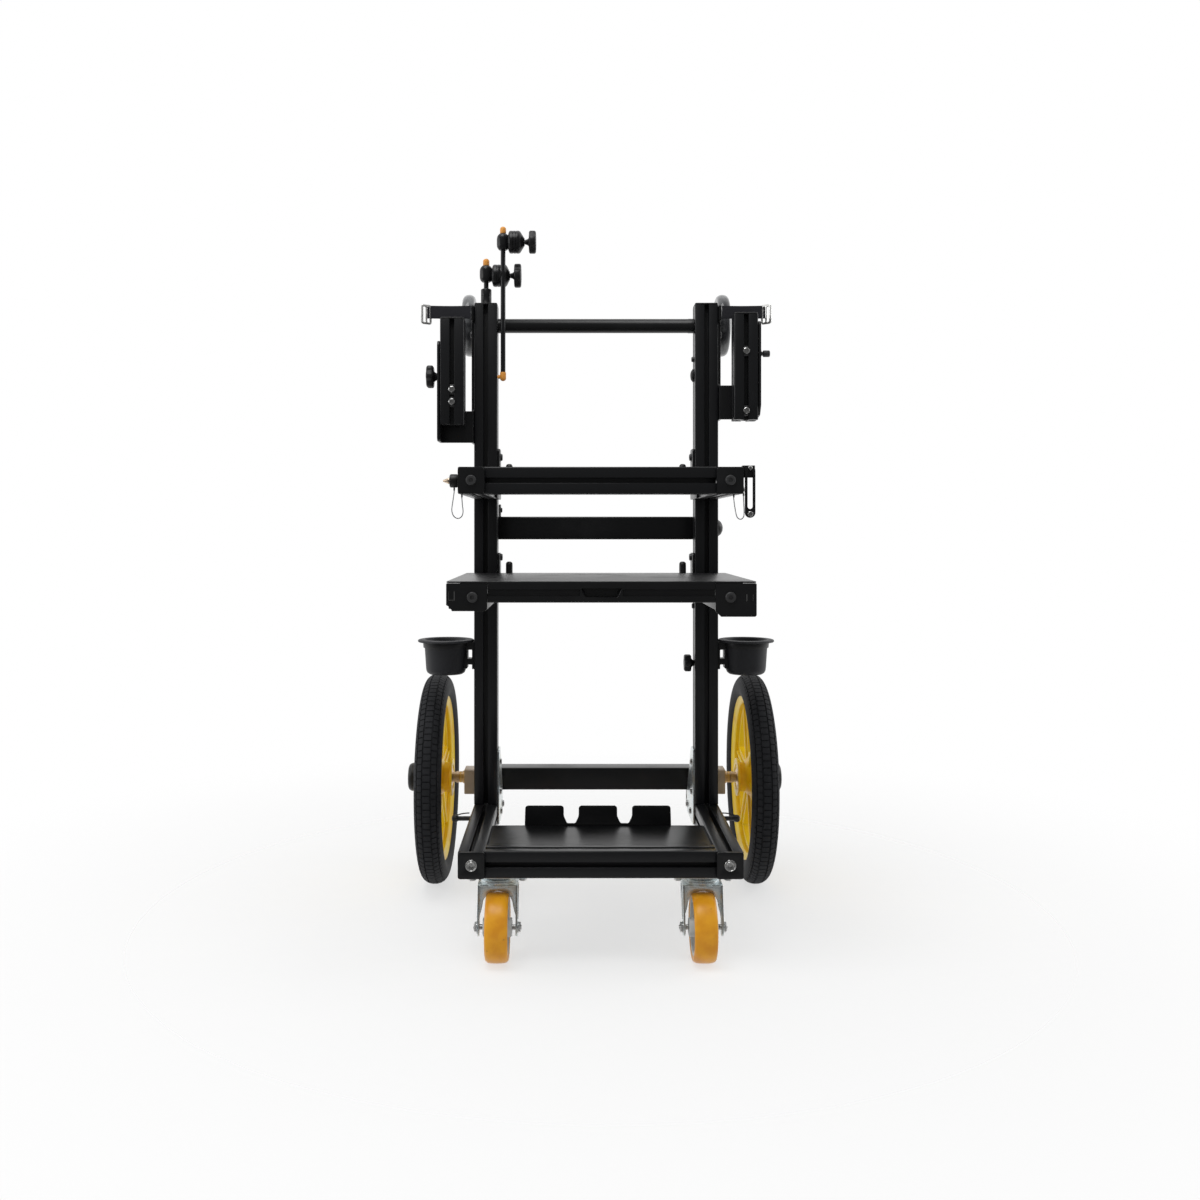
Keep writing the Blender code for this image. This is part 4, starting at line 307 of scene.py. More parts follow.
finish = {
    "railX": anodised("anodisedAcross", "x"),
    "railY": anodised("anodisedDeep", "y"),
    "railZ": anodised("anodisedUpright", "z"),
    "paint": painted(),
    "moulded": moulded("mouldedBlack", "moulded"),
    "printed": moulded("mattBlack", "printed"),
    "rubber": rubber(),
    "yellow": coloured("yellowPlastic", "yellow", 21.0),
    "orange": coloured("orangeTread", "orange", 44.0),
    "core": coloured("paleCore", "core", 60.0),
    "tip": coloured("orangeTip", "tip", 90.0),
    "zinc": zinced(),
    "steel": metal("brightSteel", "steel"),
    "pale": metal("paleSteel", "pale"),
    "dull": metal("darkSteel", "dull", 500.0, 0.6),
    "bare": metal("bareAluminium", "bare", 350.0, 0.35),
    "brass": metal("dullBrass", "brass"),
    "smoky": smoky(),
    "webbing": woven(),
    "wire": stranded(),
}
note("finishes mixed")


# Faces of a grid of points, row by row; a joined direction closes on itself
def gridFaces(rows, columns, joinRows=False, joinColumns=False):
    i, j = np.meshgrid(np.arange(rows - (not joinRows)),
                       np.arange(columns - (not joinColumns)), indexing="ij")
    k, m = (i + 1) % rows, (j + 1) % columns
    return np.stack([i * columns + j, k * columns + j, k * columns + m, i * columns + m], -1).reshape(-1, 4)


# Triangles from a middle point to the closed ring of points that starts at first
def fanFaces(middle, first, count, flipped=False):
    ring = first + np.arange(count)
    after = np.roll(ring, -1)
    pair = (after, ring) if flipped else (ring, after)
    return np.stack([np.full(count, middle), *pair], 1)


# The same grid's map, one pair per face corner, in steps along rows and columns
def gridMap(rows, columns, joinRows=False, joinColumns=False):
    i, j = np.meshgrid(np.arange(rows - (not joinRows)),
                       np.arange(columns - (not joinColumns)), indexing="ij")
    u = np.stack([i, i + 1, i + 1, i], -1)
    v = np.stack([j, j, j + 1, j + 1], -1)
    return np.stack([u, v], -1).reshape(-1, 4, 2).astype(float)


# Every corner of a closed outline becomes an arc that touches its two sides
def fillet(corners, radius, steps=4):
    p = np.array(corners, float)
    radius = np.broadcast_to(np.array(radius, float), (len(p),))
    before, after = np.roll(p, 1, 0) - p, np.roll(p, -1, 0) - p
    lengthBefore, lengthAfter = np.linalg.norm(before, axis=1), np.linalg.norm(after, axis=1)
    before, after = before / lengthBefore[:, None], after / lengthAfter[:, None]
    half = np.arccos(np.clip((before * after).sum(1), -1, 1)) / 2
    reach = np.minimum(radius / np.tan(half), 0.49 * np.minimum(lengthBefore, lengthAfter))[:, None]
    start, end = (p + before * reach)[:, None], (p + after * reach)[:, None]
    t = np.linspace(0, 1, steps + 1)[None, :, None]
    pull = 2 * np.sin(half)[:, None, None] * t * (1 - t)
    out = (start * (1 - t) ** 2 + p[:, None] * pull + end * t ** 2) / ((1 - t) ** 2 + pull + t ** 2)
    out = out.reshape(-1, 2)
    return out[np.linalg.norm(out - np.roll(out, 1, 0), axis=1) > 1e-7]


# The rectangle between two corners, each of its own corners rounded
def rectangle(low, high, radius=0.0, steps=4):
    return fillet([(low[0], low[1]), (high[0], low[1]), (high[0], high[1]), (low[0], high[1])], radius, steps)


# Points at even turns: the centre plus the radius times cosine and sine
def circle(across, along, radius, steps=32):
    turn = np.linspace(0, 2 * np.pi, steps, endpoint=False)
    return np.stack([across + radius * np.cos(turn), along + radius * np.sin(turn)], 1)


# Two round ends, each half a circle, and the straight sides between them
def capsule(start, end, startRadius, endRadius, steps=12):
    start, end = np.array(start, float), np.array(end, float)
    heading = math.atan2(*(end - start)[::-1])
    turn = np.linspace(-np.pi / 2, np.pi / 2, steps + 1) + heading
    first = end + endRadius * np.stack([np.cos(turn), np.sin(turn)], 1)
    second = start + startRadius * np.stack([np.cos(turn + np.pi), np.sin(turn + np.pi)], 1)
    return np.concatenate([first, second])


# A loop with a negative area runs clockwise and is turned round
def counterClockwise(loop):
    x, y = loop[:, 0], loop[:, 1]
    return loop if (x * np.roll(y, -1) - np.roll(x, -1) * y).sum() > 0 else loop[::-1]


# Moves each point of a loop inwards by the amount, along the bisector of its two sides
def inset(loop, amount):
    side = np.roll(loop, -1, 0) - loop
    normal = np.stack([side[:, 1], -side[:, 0]], 1) / np.linalg.norm(side, axis=1)[:, None]
    both = normal + np.roll(normal, 1, 0)
    both = both / (1 + (normal * np.roll(normal, 1, 0)).sum(1))[:, None]
    return loop - amount * both


# An outline and its holes carried along an axis from low to high, with quarter-round edges
def extruded(outline, low, high, axis, holes=(), edge=0.0004, steps=2):
    low, high = min(low, high), max(low, high)
    turn = np.linspace(0, np.pi / 2, steps + 1)
    back = edge * (1 - np.sin(turn))
    rise = edge * (1 - np.cos(turn))
    back = np.concatenate([back, back[::-1]])
    rise = np.concatenate([low + rise, high - rise[::-1]])
    points, faces, first, last, flat, base = [], [], [], [], [], 0
    for number, loop in enumerate((outline, *holes)):
        loop = counterClockwise(np.array(loop, float))
        rows = np.stack([inset(loop, b if number == 0 else -b) for b in back])
        height = np.broadcast_to(rise[:, None, None], (*rows.shape[:2], 1))
        points.append(np.concatenate([rows, height], -1).reshape(-1, 3))
        wall = gridFaces(len(rise), len(loop), False, True) + base
        faces.append(wall[:, ::-1] if number == 0 else wall)
        first.append(base + np.arange(len(loop)))
        last.append(base + (len(rise) - 1) * len(loop) + np.arange(len(loop)))
        flat.append(rows[0])
        base += len(rise) * len(loop)
    sheet = np.concatenate(flat)
    tri = np.array(tessellate_polygon([[Vector((a, b, 0)) for a, b in loop] for loop in flat]))
    a, b, c = sheet[tri[:, 0]], sheet[tri[:, 1]], sheet[tri[:, 2]]
    area = (b - a)[:, 0] * (c - a)[:, 1] - (b - a)[:, 1] * (c - a)[:, 0]
    tri = np.where(area[:, None] > 0, tri, tri[:, ::-1])
    faces += [np.concatenate(last)[tri], np.concatenate(first)[tri[:, ::-1]]]
    points = np.concatenate(points)
    order = {"x": [2, 0, 1], "y": [0, 2, 1], "z": [0, 1, 2]}[axis]
    return points[:, order], faces


# A profile of (radius, distance) turned about a line; a third number of 1 makes that ring a hexagon,
# and shape(turn, distance, radius) may change the radius round the axis
def turned(profile, origin, direction, sides=48, shape=None):
    rows = np.array([tuple(row) + (0.0,) * (3 - len(row)) for row in profile], float)
    poles = rows[0, 0] == 0
    rings = rows[1:-1] if poles else rows
    axis = np.array(direction, float)
    axis /= np.linalg.norm(axis)
    helper = np.array((0.0, 0.0, 1.0)) if abs(axis[2]) < 0.9 else np.array((1.0, 0.0, 0.0))
    across = np.cross(helper, axis)
    across /= np.linalg.norm(across)
    along = np.cross(axis, across)
    turn = np.linspace(0, 2 * np.pi, sides, endpoint=False)
    corner = 1 / np.cos((turn + np.pi / 6) % (np.pi / 3) - np.pi / 6) - 1
    radius = rings[:, 0, None] * (1 + rings[:, 2, None] * corner)
    distance = np.broadcast_to(rings[:, 1, None], radius.shape)
    if shape:
        radius = shape(turn[None, :], distance, radius)
    origin = np.array(origin, float)
    points = (origin + distance[..., None] * axis
              + radius[..., None] * (np.cos(turn)[None, :, None] * across
                                     + np.sin(turn)[None, :, None] * along))
    points = points.reshape(-1, 3)
    faces = [gridFaces(len(rings), sides, not poles, True)]
    if poles:
        faces.append(fanFaces(len(points), 0, sides))
        faces.append(fanFaces(len(points) + 1, (len(rings) - 1) * sides, sides, True))
        points = np.concatenate([points, [origin + axis * rows[0, 1], origin + axis * rows[-1, 1]]])
    return points, faces


# The rest of a profile that is the same on both sides of distance 0
def mirrored(half):
    return [(r, -d) for r, d in half[::-1]]


# Points at even steps on a smooth curve through a route's own points (a cubic between each two)
def smoothRoute(points, step):
    p = np.array(points, float)
    p = np.concatenate([[2 * p[0] - p[1]], p, [2 * p[-1] - p[-2]]])
    a, b, c, d = (p[i:len(p) - 3 + i, None] for i in range(4))
    t = np.linspace(0, 1, 20, endpoint=False)[None, :, None]
    fine = 0.5 * (2 * b + (c - a) * t + (2 * a - 5 * b + 4 * c - d) * t ** 2
                  + (3 * b - a - 3 * c + d) * t ** 3)
    fine = np.concatenate([fine.reshape(-1, 3), p[-2:-1]])
    run = np.concatenate([[0], np.cumsum(np.linalg.norm(np.diff(fine, axis=0), axis=1))])
    even = np.linspace(0, run[-1], max(3, round(run[-1] / step)) + 1)
    return np.stack([np.interp(even, run, fine[:, i]) for i in range(3)], 1)


# A round tube along a path that lies in the plane square to flat; its ends are closed
def tubed(path, radius, flat=(0.0, 1.0, 0.0), sides=12):
    path = np.array(path, float)
    tangent = np.gradient(path, axis=0)
    tangent /= np.linalg.norm(tangent, axis=1)[:, None]
    across = np.broadcast_to(np.array(flat, float), path.shape)
    along = np.cross(tangent, across)
    turn = np.linspace(0, 2 * np.pi, sides, endpoint=False)
    points = path[:, None] + radius * (np.cos(turn)[None, :, None] * across[:, None]
                                       + np.sin(turn)[None, :, None] * along[:, None])
    points = np.concatenate([points.reshape(-1, 3), path[:1], path[-1:]])
    count = len(path) * sides
    return points, [gridFaces(len(path), sides, False, True), fanFaces(count, 0, sides),
                    fanFaces(count + 1, count - sides, sides, True)]


# A block between two corners, whose edges are rounded
def box(low, high, edge):
    return extruded(rectangle(low[:2], high[:2], edge, 2), low[2], high[2], "z", (), edge)


# Six times a closed solid's volume: the sum of each face's corners' triple product
def volume(points, faces):
    total = 0.0
    for group in faces:
        a = points[group[:, 0]]
        for k in range(1, group.shape[1] - 1):
            total += (a * np.cross(points[group[:, k]], points[group[:, k + 1]])).sum()
    return total


# Solids gathered in cart coordinates that become one object, its faces turned outwards
class Piece:
    def __init__(self, name, body, slot, *skins, stands=()):
        self.name, self.body, self.slot, self.skins, self.stands = name, body, slot, skins, stands
        self.points, self.faces, self.skin, self.maps, self.count = [], [], [], [], 0

    def add(self, solid, skin=0, ownMap=None):
        points, faces = solid
        if volume(points, faces) < 0:
            faces = [group[:, ::-1] for group in faces]
            ownMap = None if ownMap is None else ownMap[:, ::-1]
        for number, group in enumerate(faces):
            self.faces += (group + self.count).tolist()
            self.skin.append(np.full(len(group), skin))
            mapped = ownMap if ownMap is not None and number == 0 else np.zeros((*group.shape, 2))
            self.maps.append(mapped.reshape(-1, 2))
        self.points.append(points)
        self.count += len(points)
        return self

    def make(self, sharp=38.0):
        points = np.concatenate(self.points) + (0.0, cartFront, 0.0)
        mesh = bpy.data.meshes.new(self.name)
        mesh.from_pydata(points.tolist(), [], self.faces)
        for skin in self.skins:
            mesh.materials.append(finish[skin])
        mesh.polygons.foreach_set("material_index", np.concatenate(self.skin))
        if any(m.any() for m in self.maps):
            own = mesh.uv_layers.new(name="own")
            own.data.foreach_set("uv", np.concatenate(self.maps).ravel())
        mesh.update()
        mesh.shade_smooth()
        mesh.set_sharp_from_angle(angle=math.radians(sharp))
        piece = bpy.data.objects.new(self.name, mesh)
        scene.collection.objects.link(piece)
        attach(piece, self.body)
        if self.stands:
            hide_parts(*self.stands)
        return piece


# Slotted rail: a 40 mm square with a T-shaped slot in each side, corners and lips rounded
slotted = {"size": 0.040, "mouth": 0.008, "room": 0.0165, "lip": 0.0045, "deep": 0.0125, "bore": 0.0046,
           "corner": 0.0022, "soft": 0.0005}


# One side's corners, turned by four quarter turns, each corner rounded by its own radius
def slottedOutline():
    r = slotted
    half, mouth, room = r["size"] / 2, r["mouth"] / 2, r["room"] / 2
    lip, floor = half - r["lip"], half - r["deep"]
    side = np.array([(half, -half), (half, -mouth), (lip, -mouth), (lip, -room), (floor, -mouth),
                     (floor, mouth), (lip, room), (lip, mouth), (half, mouth)])
    soft = [r["corner"], r["soft"], 0.0003, 0.0006, 0.0008, 0.0008, 0.0006, 0.0003, r["soft"]]
    turn = np.pi / 2 * np.arange(4)
    spin = np.stack([np.stack([np.cos(turn), -np.sin(turn)], 1),
                     np.stack([np.sin(turn), np.cos(turn)], 1)], 1)
    corners = np.einsum("qij,pj->qpi", spin, side).reshape(-1, 2)
    return fillet(corners, np.tile(soft, 4), 3)


# The slotted outline with a round bore, carried along an axis
def rail(axis, low, high, across, edge=0.0005):
    bore = circle(*across, slotted["bore"], 20)
    return extruded(slottedOutline() + np.array(across), low, high, axis, [bore], edge)


# A square tube 40 mm wide, carried along an axis
def tube(axis, low, high, across, wall=0.003):
    half, a = 0.020, np.array(across)
    outline = rectangle(a - half, a + half, 0.003, 5)
    inside = rectangle(a - half + wall, a + half - wall, 0.0015, 3)
    return extruded(outline, low, high, axis, [inside], 0.0004)


# A rounded square, carried along an axis
def square(axis, low, high, across, half=0.0197, radius=0.0036, holes=(), edge=0.0007):
    a = np.array(across)
    return extruded(rectangle(a - half, a + half, radius, 6), low, high, axis, holes, edge)


# A screw seen from its head: a rounded cap with a hexagon socket, profile radius against height
def screw(seat, direction, radius=0.0055, height=0.0035, sides=24):
    socket = radius * 0.45
    return turned([(0.0, height * 0.35), (socket, height * 0.35, 1.0), (socket, height * 0.94, 1.0),
                   (radius * 0.80, height), (radius * 0.95, height * 0.86), (radius, height * 0.55),
                   (radius, -0.0008), (0.0, -0.0008)], seat, direction, sides)


# A domed cap nut: a hexagon foot under a rounded dome
def capNut(seat, direction, radius, height, sides=30):
    turn = np.linspace(0, np.pi / 2, 7)
    dome = [(radius * 0.86 * math.sin(a), height * (0.45 + 0.55 * math.cos(a))) for a in turn]
    return turned([*dome, (radius * 0.9, height * 0.45, 1.0), (radius * 0.9, 0.0004, 1.0),
                   (radius * 0.84, 0.0, 1.0), (0.0, 0.0)], seat, direction, sides)


# Cords first: the two wire loops under the upper frame's corners, each hung by its two ends
loops = {
    "left": {"exit": (-0.2056, 0.025), "offsets": [
        (-0.0114, 0.0100), (-0.0116, 0.0033), (-0.0134, -0.0097), (-0.0150, -0.0227), (-0.0124, -0.0317),
        (-0.0064, -0.0355), (-0.0006, -0.0329), (0.0017, -0.0257), (0.0006, -0.0137),
        (0.0, -0.0057), (0.0, 0.0)]},
    "right": {"exit": (0.1992, 0.032), "offsets": [
        (0.0, 0.0), (0.0001, -0.0067), (0.0018, -0.0197), (0.0038, -0.0297), (0.0060, -0.0347),
        (0.0106, -0.0367), (0.0148, -0.0327), (0.0154, -0.0227), (0.0148, -0.0117), (0.0145, -0.0047),
        (0.0145, 0.0020)]},
    "foot": 0.6927, "radius": 0.00075, "step": 0.0021,
}


# A wire is a round tube on a smooth curve through its offsets; its map runs along and round it
def hangLoops():
    for side, hand in hands:
        across, back = loops[hand]["exit"]
        offsets = loops[hand]["offsets"]
        route = smoothRoute([(across + x, back, loops["foot"] + z) for x, z in offsets], loops["step"])
        wire = Piece("wireLoop_" + hand, "upper_frame", "steel_wire", "wire", stands=["lanyard_" + hand])
        solid = tubed(route, loops["radius"], sides=14)
        scale = np.array((loops["step"] * 1000, 1 / 14))
        wire.add(solid, ownMap=gridMap(len(route), 14, False, True) * scale)
        wire = wire.make(sharp=60.0)
        # Pressed ferrules where the wire's two legs meet the rail
        ferrule = Piece("wireFerrule_" + hand, "upper_frame", "zinc", "dull")
        for end in (route[0], route[-1]):
            ferrule.add(turned([(0.0, 0.0005), (0.0011, 0.0003), (0.0013, -0.0010), (0.0012, -0.0022),
                                (0.0013, -0.0034), (0.0010, -0.0042), (0.0, -0.0043)],
                               end, (0, 0, 1), 16))
        ferrule.make()


hangLoops()
note("wire loops hung")


# Base: slotted rails, end plates with sunk bolts, guides of the lock pins
base = {"outer": 0.210, "middle": 0.190, "inner": 0.170, "bottom": 0.128, "top": 0.168, "depth": 0.470,
        "plate": 0.005, "boltRadius": 0.0085}


# Rails are the slotted outline carried along x and y; bolt heads and guides are turned profiles
def makeBase():
    b = base
    middle = (b["bottom"] + b["top"]) / 2
    rails = Piece("baseRails", "frame", "black_anodised", "railX", "railY", stands=["base_frame"])
    rails.add(rail("x", -b["inner"] - 0.0008, b["inner"] + 0.0008, (b["plate"] + 0.020, middle)), 0)
    plates = Piece("baseEndPlates", "frame", "black_anodised", "paint", stands=["base_frame"])
    bolts = Piece("baseBolts", "frame", "zinc", "steel", stands=["base_frame"])
    guides = Piece("lockPinGuides", "frame", "zinc", "dull", stands=["base_frame"])
    for side in (-1, 1):
        x = side * b["middle"]
        rails.add(rail("y", b["plate"], b["depth"] - b["plate"], (x, middle)), 1)
        plates.add(square("y", 0.0, b["plate"] + 0.0004, (x, middle), holes=[circle(x, middle, 0.0080, 40)]))
        plates.add(square("y", b["depth"] - b["plate"] - 0.0004, b["depth"], (x, middle),
                          holes=[circle(x, middle, 0.0080, 40)]))
        r = b["boltRadius"]
        head = [(0.0, -0.0026), (0.0030, -0.0026, 1.0), (0.0033, 0.0002, 1.0),
                (0.0042, 0.0004), (r * 0.66, 0.0006),
                (r * 0.72, 0.0001), (r * 0.80, 0.0001), (r * 0.86, 0.0006), (r * 0.97, 0.0005), (r, 0.0002),
                (r, 0.0), (0.0079, 0.0), (0.0060, -0.0042), (0.0, -0.0042)]
        bolts.add(turned(head, (x, 0.0, middle), (0, -1, 0), 48))
        bolts.add(turned(head, (x, b["depth"], middle), (0, 1, 0), 48))
        seat = (side * b["outer"], lockPin["back"], lockPin["height"])
        guides.add(turned([(0.0044, 0.0082), (0.0060, 0.0082), (0.0086, 0.0050), (0.0090, 0.0040),
                           (0.0090, 0.0), (0.0044, 0.0)], seat, (side, 0, 0), 32))
    rails.make()
    plates.make()
    bolts.make()
    guides.make()


# Uprights and the push bar between their tops
upright = {"across": 0.190, "back": 0.324, "foot": 0.1683, "top": 1.028, "cap": 0.003, "barHeight": 0.994,
           "barRadius": 0.0125}


# A slotted rail with a moulded cap on each side; the bar is a turned profile, a little thicker at its ends
def makeUprights():
    u = upright
    for side, hand in hands:
        across = (side * u["across"], u["back"])
        post = Piece("uprightRail_" + hand, "frame", "black_anodised", "railZ", stands=["upright_" + hand])
        post.add(rail("z", u["foot"], u["top"], across))
        post.make()
        cap = Piece("uprightCap_" + hand, "frame", "black_plastic", "moulded", stands=["upright_" + hand])
        cap.add(square("z", u["top"], u["top"] + u["cap"], across, edge=0.0012))
        cap.make()
    bar = Piece("pushTube", "frame", "black_paint", "paint", stands=["push_bar"])
    r = u["barRadius"]
    half = [(0.0, 0.1697), (r * 0.9, 0.1697), (r, 0.1690), (r, 0.1600), (r - 0.0004, 0.1590)]
    bar.add(turned(half + mirrored(half), (0.0, u["back"], u["barHeight"]), (1, 0, 0), 64))
    bar.make()


# Crossbar behind the uprights: square tube, its right end capped and closed by a domed nut
crossbar = {"back": 0.3643, "height": 0.6435, "reach": 0.210, "end": 0.213, "tabBack": 0.3556,
            "tabHeight": 0.6750, "tabFace": 0.1668}


# The nut and its button are profiles turned about x; the nut's rim has twelve shallow hollows
def makeCrossbar():
    c = crossbar
    y, z = c["back"], c["height"]
    bar = Piece("crossbarTube", "frame", "black_paint", "paint", stands=["mid_crossbar"])
    bar.add(tube("x", -c["reach"], c["reach"], (y, z)))
    bar.add(square("x", 0.2096, c["end"], (y, z), edge=0.0008))
    bar.make()
    nut = Piece("crossbarNut", "frame", "black_plastic", "moulded", stands=["mid_crossbar"])
    nut.add(turned([(0.0, 0.0118), (0.0055, 0.0114), (0.0110, 0.0086), (0.0146, 0.0040), (0.0156, 0.0012),
                    (0.0156, 0.0), (0.0, 0.0)], (c["end"], y, z), (1, 0, 0), 48,
                   lambda t, d, r: r * (1 - 0.02 * (np.cos(12 * t) > 0.2) * (d < 0.009))))
    nut.add(turned([(0.0, 0.0119), (0.0032, 0.0118), (0.0034, 0.0108), (0.0, 0.0104)],
                   (c["end"], y, z), (1, 0, 0), 24))
    nut.make()
    tab = Piece("crossbarTab", "frame", "black_paint", "paint", stands=["mid_crossbar"])
    tab.add(extruded(rectangle((0.3452, 0.6626), (0.3660, 0.6850), 0.003, 4), -0.1699, -c["tabFace"], "x"))
    tab.add(screw((-c["tabFace"], c["tabBack"], c["tabHeight"]), (1, 0, 0), 0.0042, 0.0026))
    tab.make()


# Gussets: a five-cornered zinc plate carried through its sheet, with button screws and washers
def makeGussets():
    corners = [(0.306, 0.132), (0.417, 0.132), (0.417, 0.168), (0.342, 0.262), (0.306, 0.262)]
    for side, hand in hands:
        face = side * 0.1697
        front = face - side * 0.003
        plate = Piece("gussetPlate_" + hand, "frame", "zinc", "zinc", stands=["gusset_" + hand])
        plate.add(extruded(fillet(corners, (0.004, 0.010, 0.010, 0.006, 0.006), 5), face, front, "x"))
        plate.make()
        screws = Piece("gussetScrews_" + hand, "frame", "zinc", "steel", stands=["gusset_" + hand])
        for y, z in ((0.324, 0.2385), (0.324, 0.1868), (0.34485, 0.148), (0.40035, 0.148)):
            screws.add(screw((front, y, z), (-side, 0, 0)))
            screws.add(turned([(0.0, 0.0006), (0.0066, 0.0006), (0.0070, 0.0003),
                               (0.0070, -0.0003), (0.0, -0.0003)],
                              (front, y, z), (-side, 0, 0), 32))
        screws.make()


# Axle: a square tube across the base, machined blocks, and spindles that are profiles turned about x
def makeAxle():
    y, z = wheel["axis"]
    beam = Piece("axleTube", "frame", "black_paint", "paint", stands=["axle_beam"])
    beam.add(tube("x", -base["outer"], base["outer"], (y, z + 0.0003)))
    beam.make()
    for side, hand in hands:
        block = Piece("axleBlock_" + hand, "frame", "bare_aluminium", "bare", stands=["stub_axle_" + hand])
        block.add(extruded(rectangle((0.419, 0.160), (0.459, 0.205), 0.004, 6),
                           side * 0.2103, side * 0.237, "x",
                           edge=0.0012, steps=3))
        block.make()
        spindle = Piece("axleSpindle_" + hand, "frame", "zinc", "brass", "steel",
                        stands=["stub_axle_" + hand])
        spindle.add(turned([(0.0, 0.2470), (0.0096, 0.2470), (0.0100, 0.2464),
                            (0.0100, 0.2410), (0.0112, 0.2405),
                            (0.0115, 0.2398), (0.0115, 0.2366), (0.0, 0.2366)], (0, y, z),
                           (side, 0, 0), 48), 0)
        spindle.add(turned([(0.0, 0.3177), (0.0070, 0.3177), (0.0070, 0.3159),
                            (0.0160, 0.3159), (0.0160, 0.3060),
                            (0.0070, 0.3060), (0.0070, 0.2700), (0.0157, 0.2700),
                            (0.0157, 0.2602), (0.0125, 0.2600),
                            (0.0122, 0.2590), (0.0092, 0.2585), (0.0092, 0.2530),
                            (0.0104, 0.2526), (0.0104, 0.2478),
                            (0.0086, 0.2474), (0.0086, 0.2460), (0.0, 0.2460)], (0, y, z),
                           (side, 0, 0), 48), 0)
        spindle.add(turned([(0.0, 0.2030), (0.0120, 0.2030), (0.0120, 0.2068),
                            (0.0080, 0.2068), (0.0080, 0.2108),
                            (0.0, 0.2108)], (0, y, z), (side, 0, 0), 30), 1)
        spindle.make()


# Wheels: tyre with blocks, spoked rim and hub cap
wheel = {"offset": 0.288, "tyreOffset": 0.2866, "axis": (0.439, 0.188), "crown": 0.188, "halfWidth": 0.0232,
         "sectionHeight": 0.0236, "seat": 0.1440, "blocks": 101,
         "grooves": (-0.0182, -0.0062, 0.0062, 0.0182), "grooveWidth": 0.0016, "grooveDepth": 0.0022,
         "cutDepth": 0.0017, "shoulder": 0.0235,
         "ribStart": 0.0250, "ribEnd": 0.0418, "ribPitch": 0.0024, "ribRise": 0.0004, "discRadius": 0.1390,
         "spokes": 6, "spokeWidth": 0.024, "windowInner": 0.045, "windowOuter": 0.1285, "pinOffSpoke": 15.0}


# The tyre's section is a squared ellipse; the tread's surface falls by grooves round it and by cuts across
# it, whose places shift by half a block from one column to the next
def tyreSurface(side):
    w = wheel
    height = w["sectionHeight"]
    centre = w["crown"] - height
    last = math.acos((w["seat"] - centre) / height)
    grooves = np.array(w["grooves"])
    width = w["grooveWidth"] / 2
    marks = np.concatenate([g + np.array([-1.5, -1.0, 1.0, 1.5]) * width for g in grooves])
    ribs = w["ribStart"] + w["ribPitch"] * np.arange(7)[:, None] + np.array([-0.0005, 0.0, 0.0005])
    ribs = np.concatenate([s * ribs.ravel() for s in (-1, 1)])
    edge = last * height
    run = np.unique(np.concatenate([np.linspace(-edge, edge, 45), marks, ribs]).round(6))
    run = run[np.abs(run) <= edge]
    angle = run / height
    section = centre + height * np.sign(np.cos(angle)) * np.abs(np.cos(angle)) ** 0.93
    across = w["halfWidth"] * np.sign(np.sin(angle)) * np.abs(np.sin(angle)) ** 0.86
    groove = np.clip((1.5 * width - np.abs(run[:, None] - grooves)) / (0.5 * width), 0, 1).max(1)
    rib = 0.5 - 0.5 * np.cos(2 * np.pi * (np.abs(run) - w["ribStart"]) / w["ribPitch"])
    rib = rib * ((np.abs(run) > w["ribStart"]) & (np.abs(run) < w["ribEnd"]))
    share = np.array([-0.085, -0.060, 0.060, 0.085, 0.28, 0.50, 0.72])
    turn = ((np.arange(w["blocks"])[:, None] + share) / w["blocks"]).ravel()
    cut = np.tile([0.0, 1.0, 1.0, 0.0, 0.0, 0.0, 0.0], w["blocks"])
    column = (run[:, None] > grooves).sum(1)
    tread = ((column >= 1) & (column <= 3)).astype(float)
    shoulder = ((column == 0) | (column == 4)) & (np.abs(run) < w["shoulder"])
    shift = np.interp(run, np.concatenate([[g - width, g + width] for g in grooves]),
                      [0.0, 0.5, 0.5, 0.0, 0.0, 0.5, 0.5, 0.0]) / w["blocks"]
    cuts = cut[None, :] * (tread + 0.8 * shoulder)[:, None] * w["cutDepth"]
    depth = np.maximum(groove[:, None] * w["grooveDepth"], cuts) + w["ribRise"] * rib[:, None]
    radius = section[:, None] - depth * np.maximum(np.cos(angle), 0.25)[:, None]
    sideways = across[:, None] - depth * np.sin(angle)[:, None] * 0.7
    theta = 2 * np.pi * (turn[None, :] + shift[:, None])
    x = side * w["tyreOffset"] + sideways + 0 * theta
    y = w["axis"][0] + radius * np.cos(theta)
    z = w["axis"][1] + radius * np.sin(theta)
    points = np.stack([x, y, z], -1)
    return points.reshape(-1, 3), [gridFaces(len(run), len(turn), True, True)]


# Openings between the spokes: ring sectors, less half a spoke's width on each side
def spokeWindows(first):
    w = wheel
    inner, outer, half = w["windowInner"], w["windowOuter"], w["spokeWidth"] / 2
    windows = []
    for k in range(w["spokes"]):
        start = first + 2 * np.pi * k / w["spokes"]
        stop = start + 2 * np.pi / w["spokes"]
        trimOut, trimIn = math.asin(half * 0.92 / outer), math.asin(half * 1.06 / inner)
        far = np.linspace(start + trimOut, stop - trimOut, 13)
        near = np.linspace(stop - trimIn, start + trimIn, 5)
        loop = np.concatenate([np.stack([np.cos(far), np.sin(far)], 1) * outer,
                               np.stack([np.cos(near), np.sin(near)], 1) * inner])
        radii = np.concatenate([[0.011], np.zeros(11), [0.011], [0.007], np.zeros(3), [0.007]])
        windows.append(fillet(loop, radii, 5) + np.array(w["axis"]))
    return windows


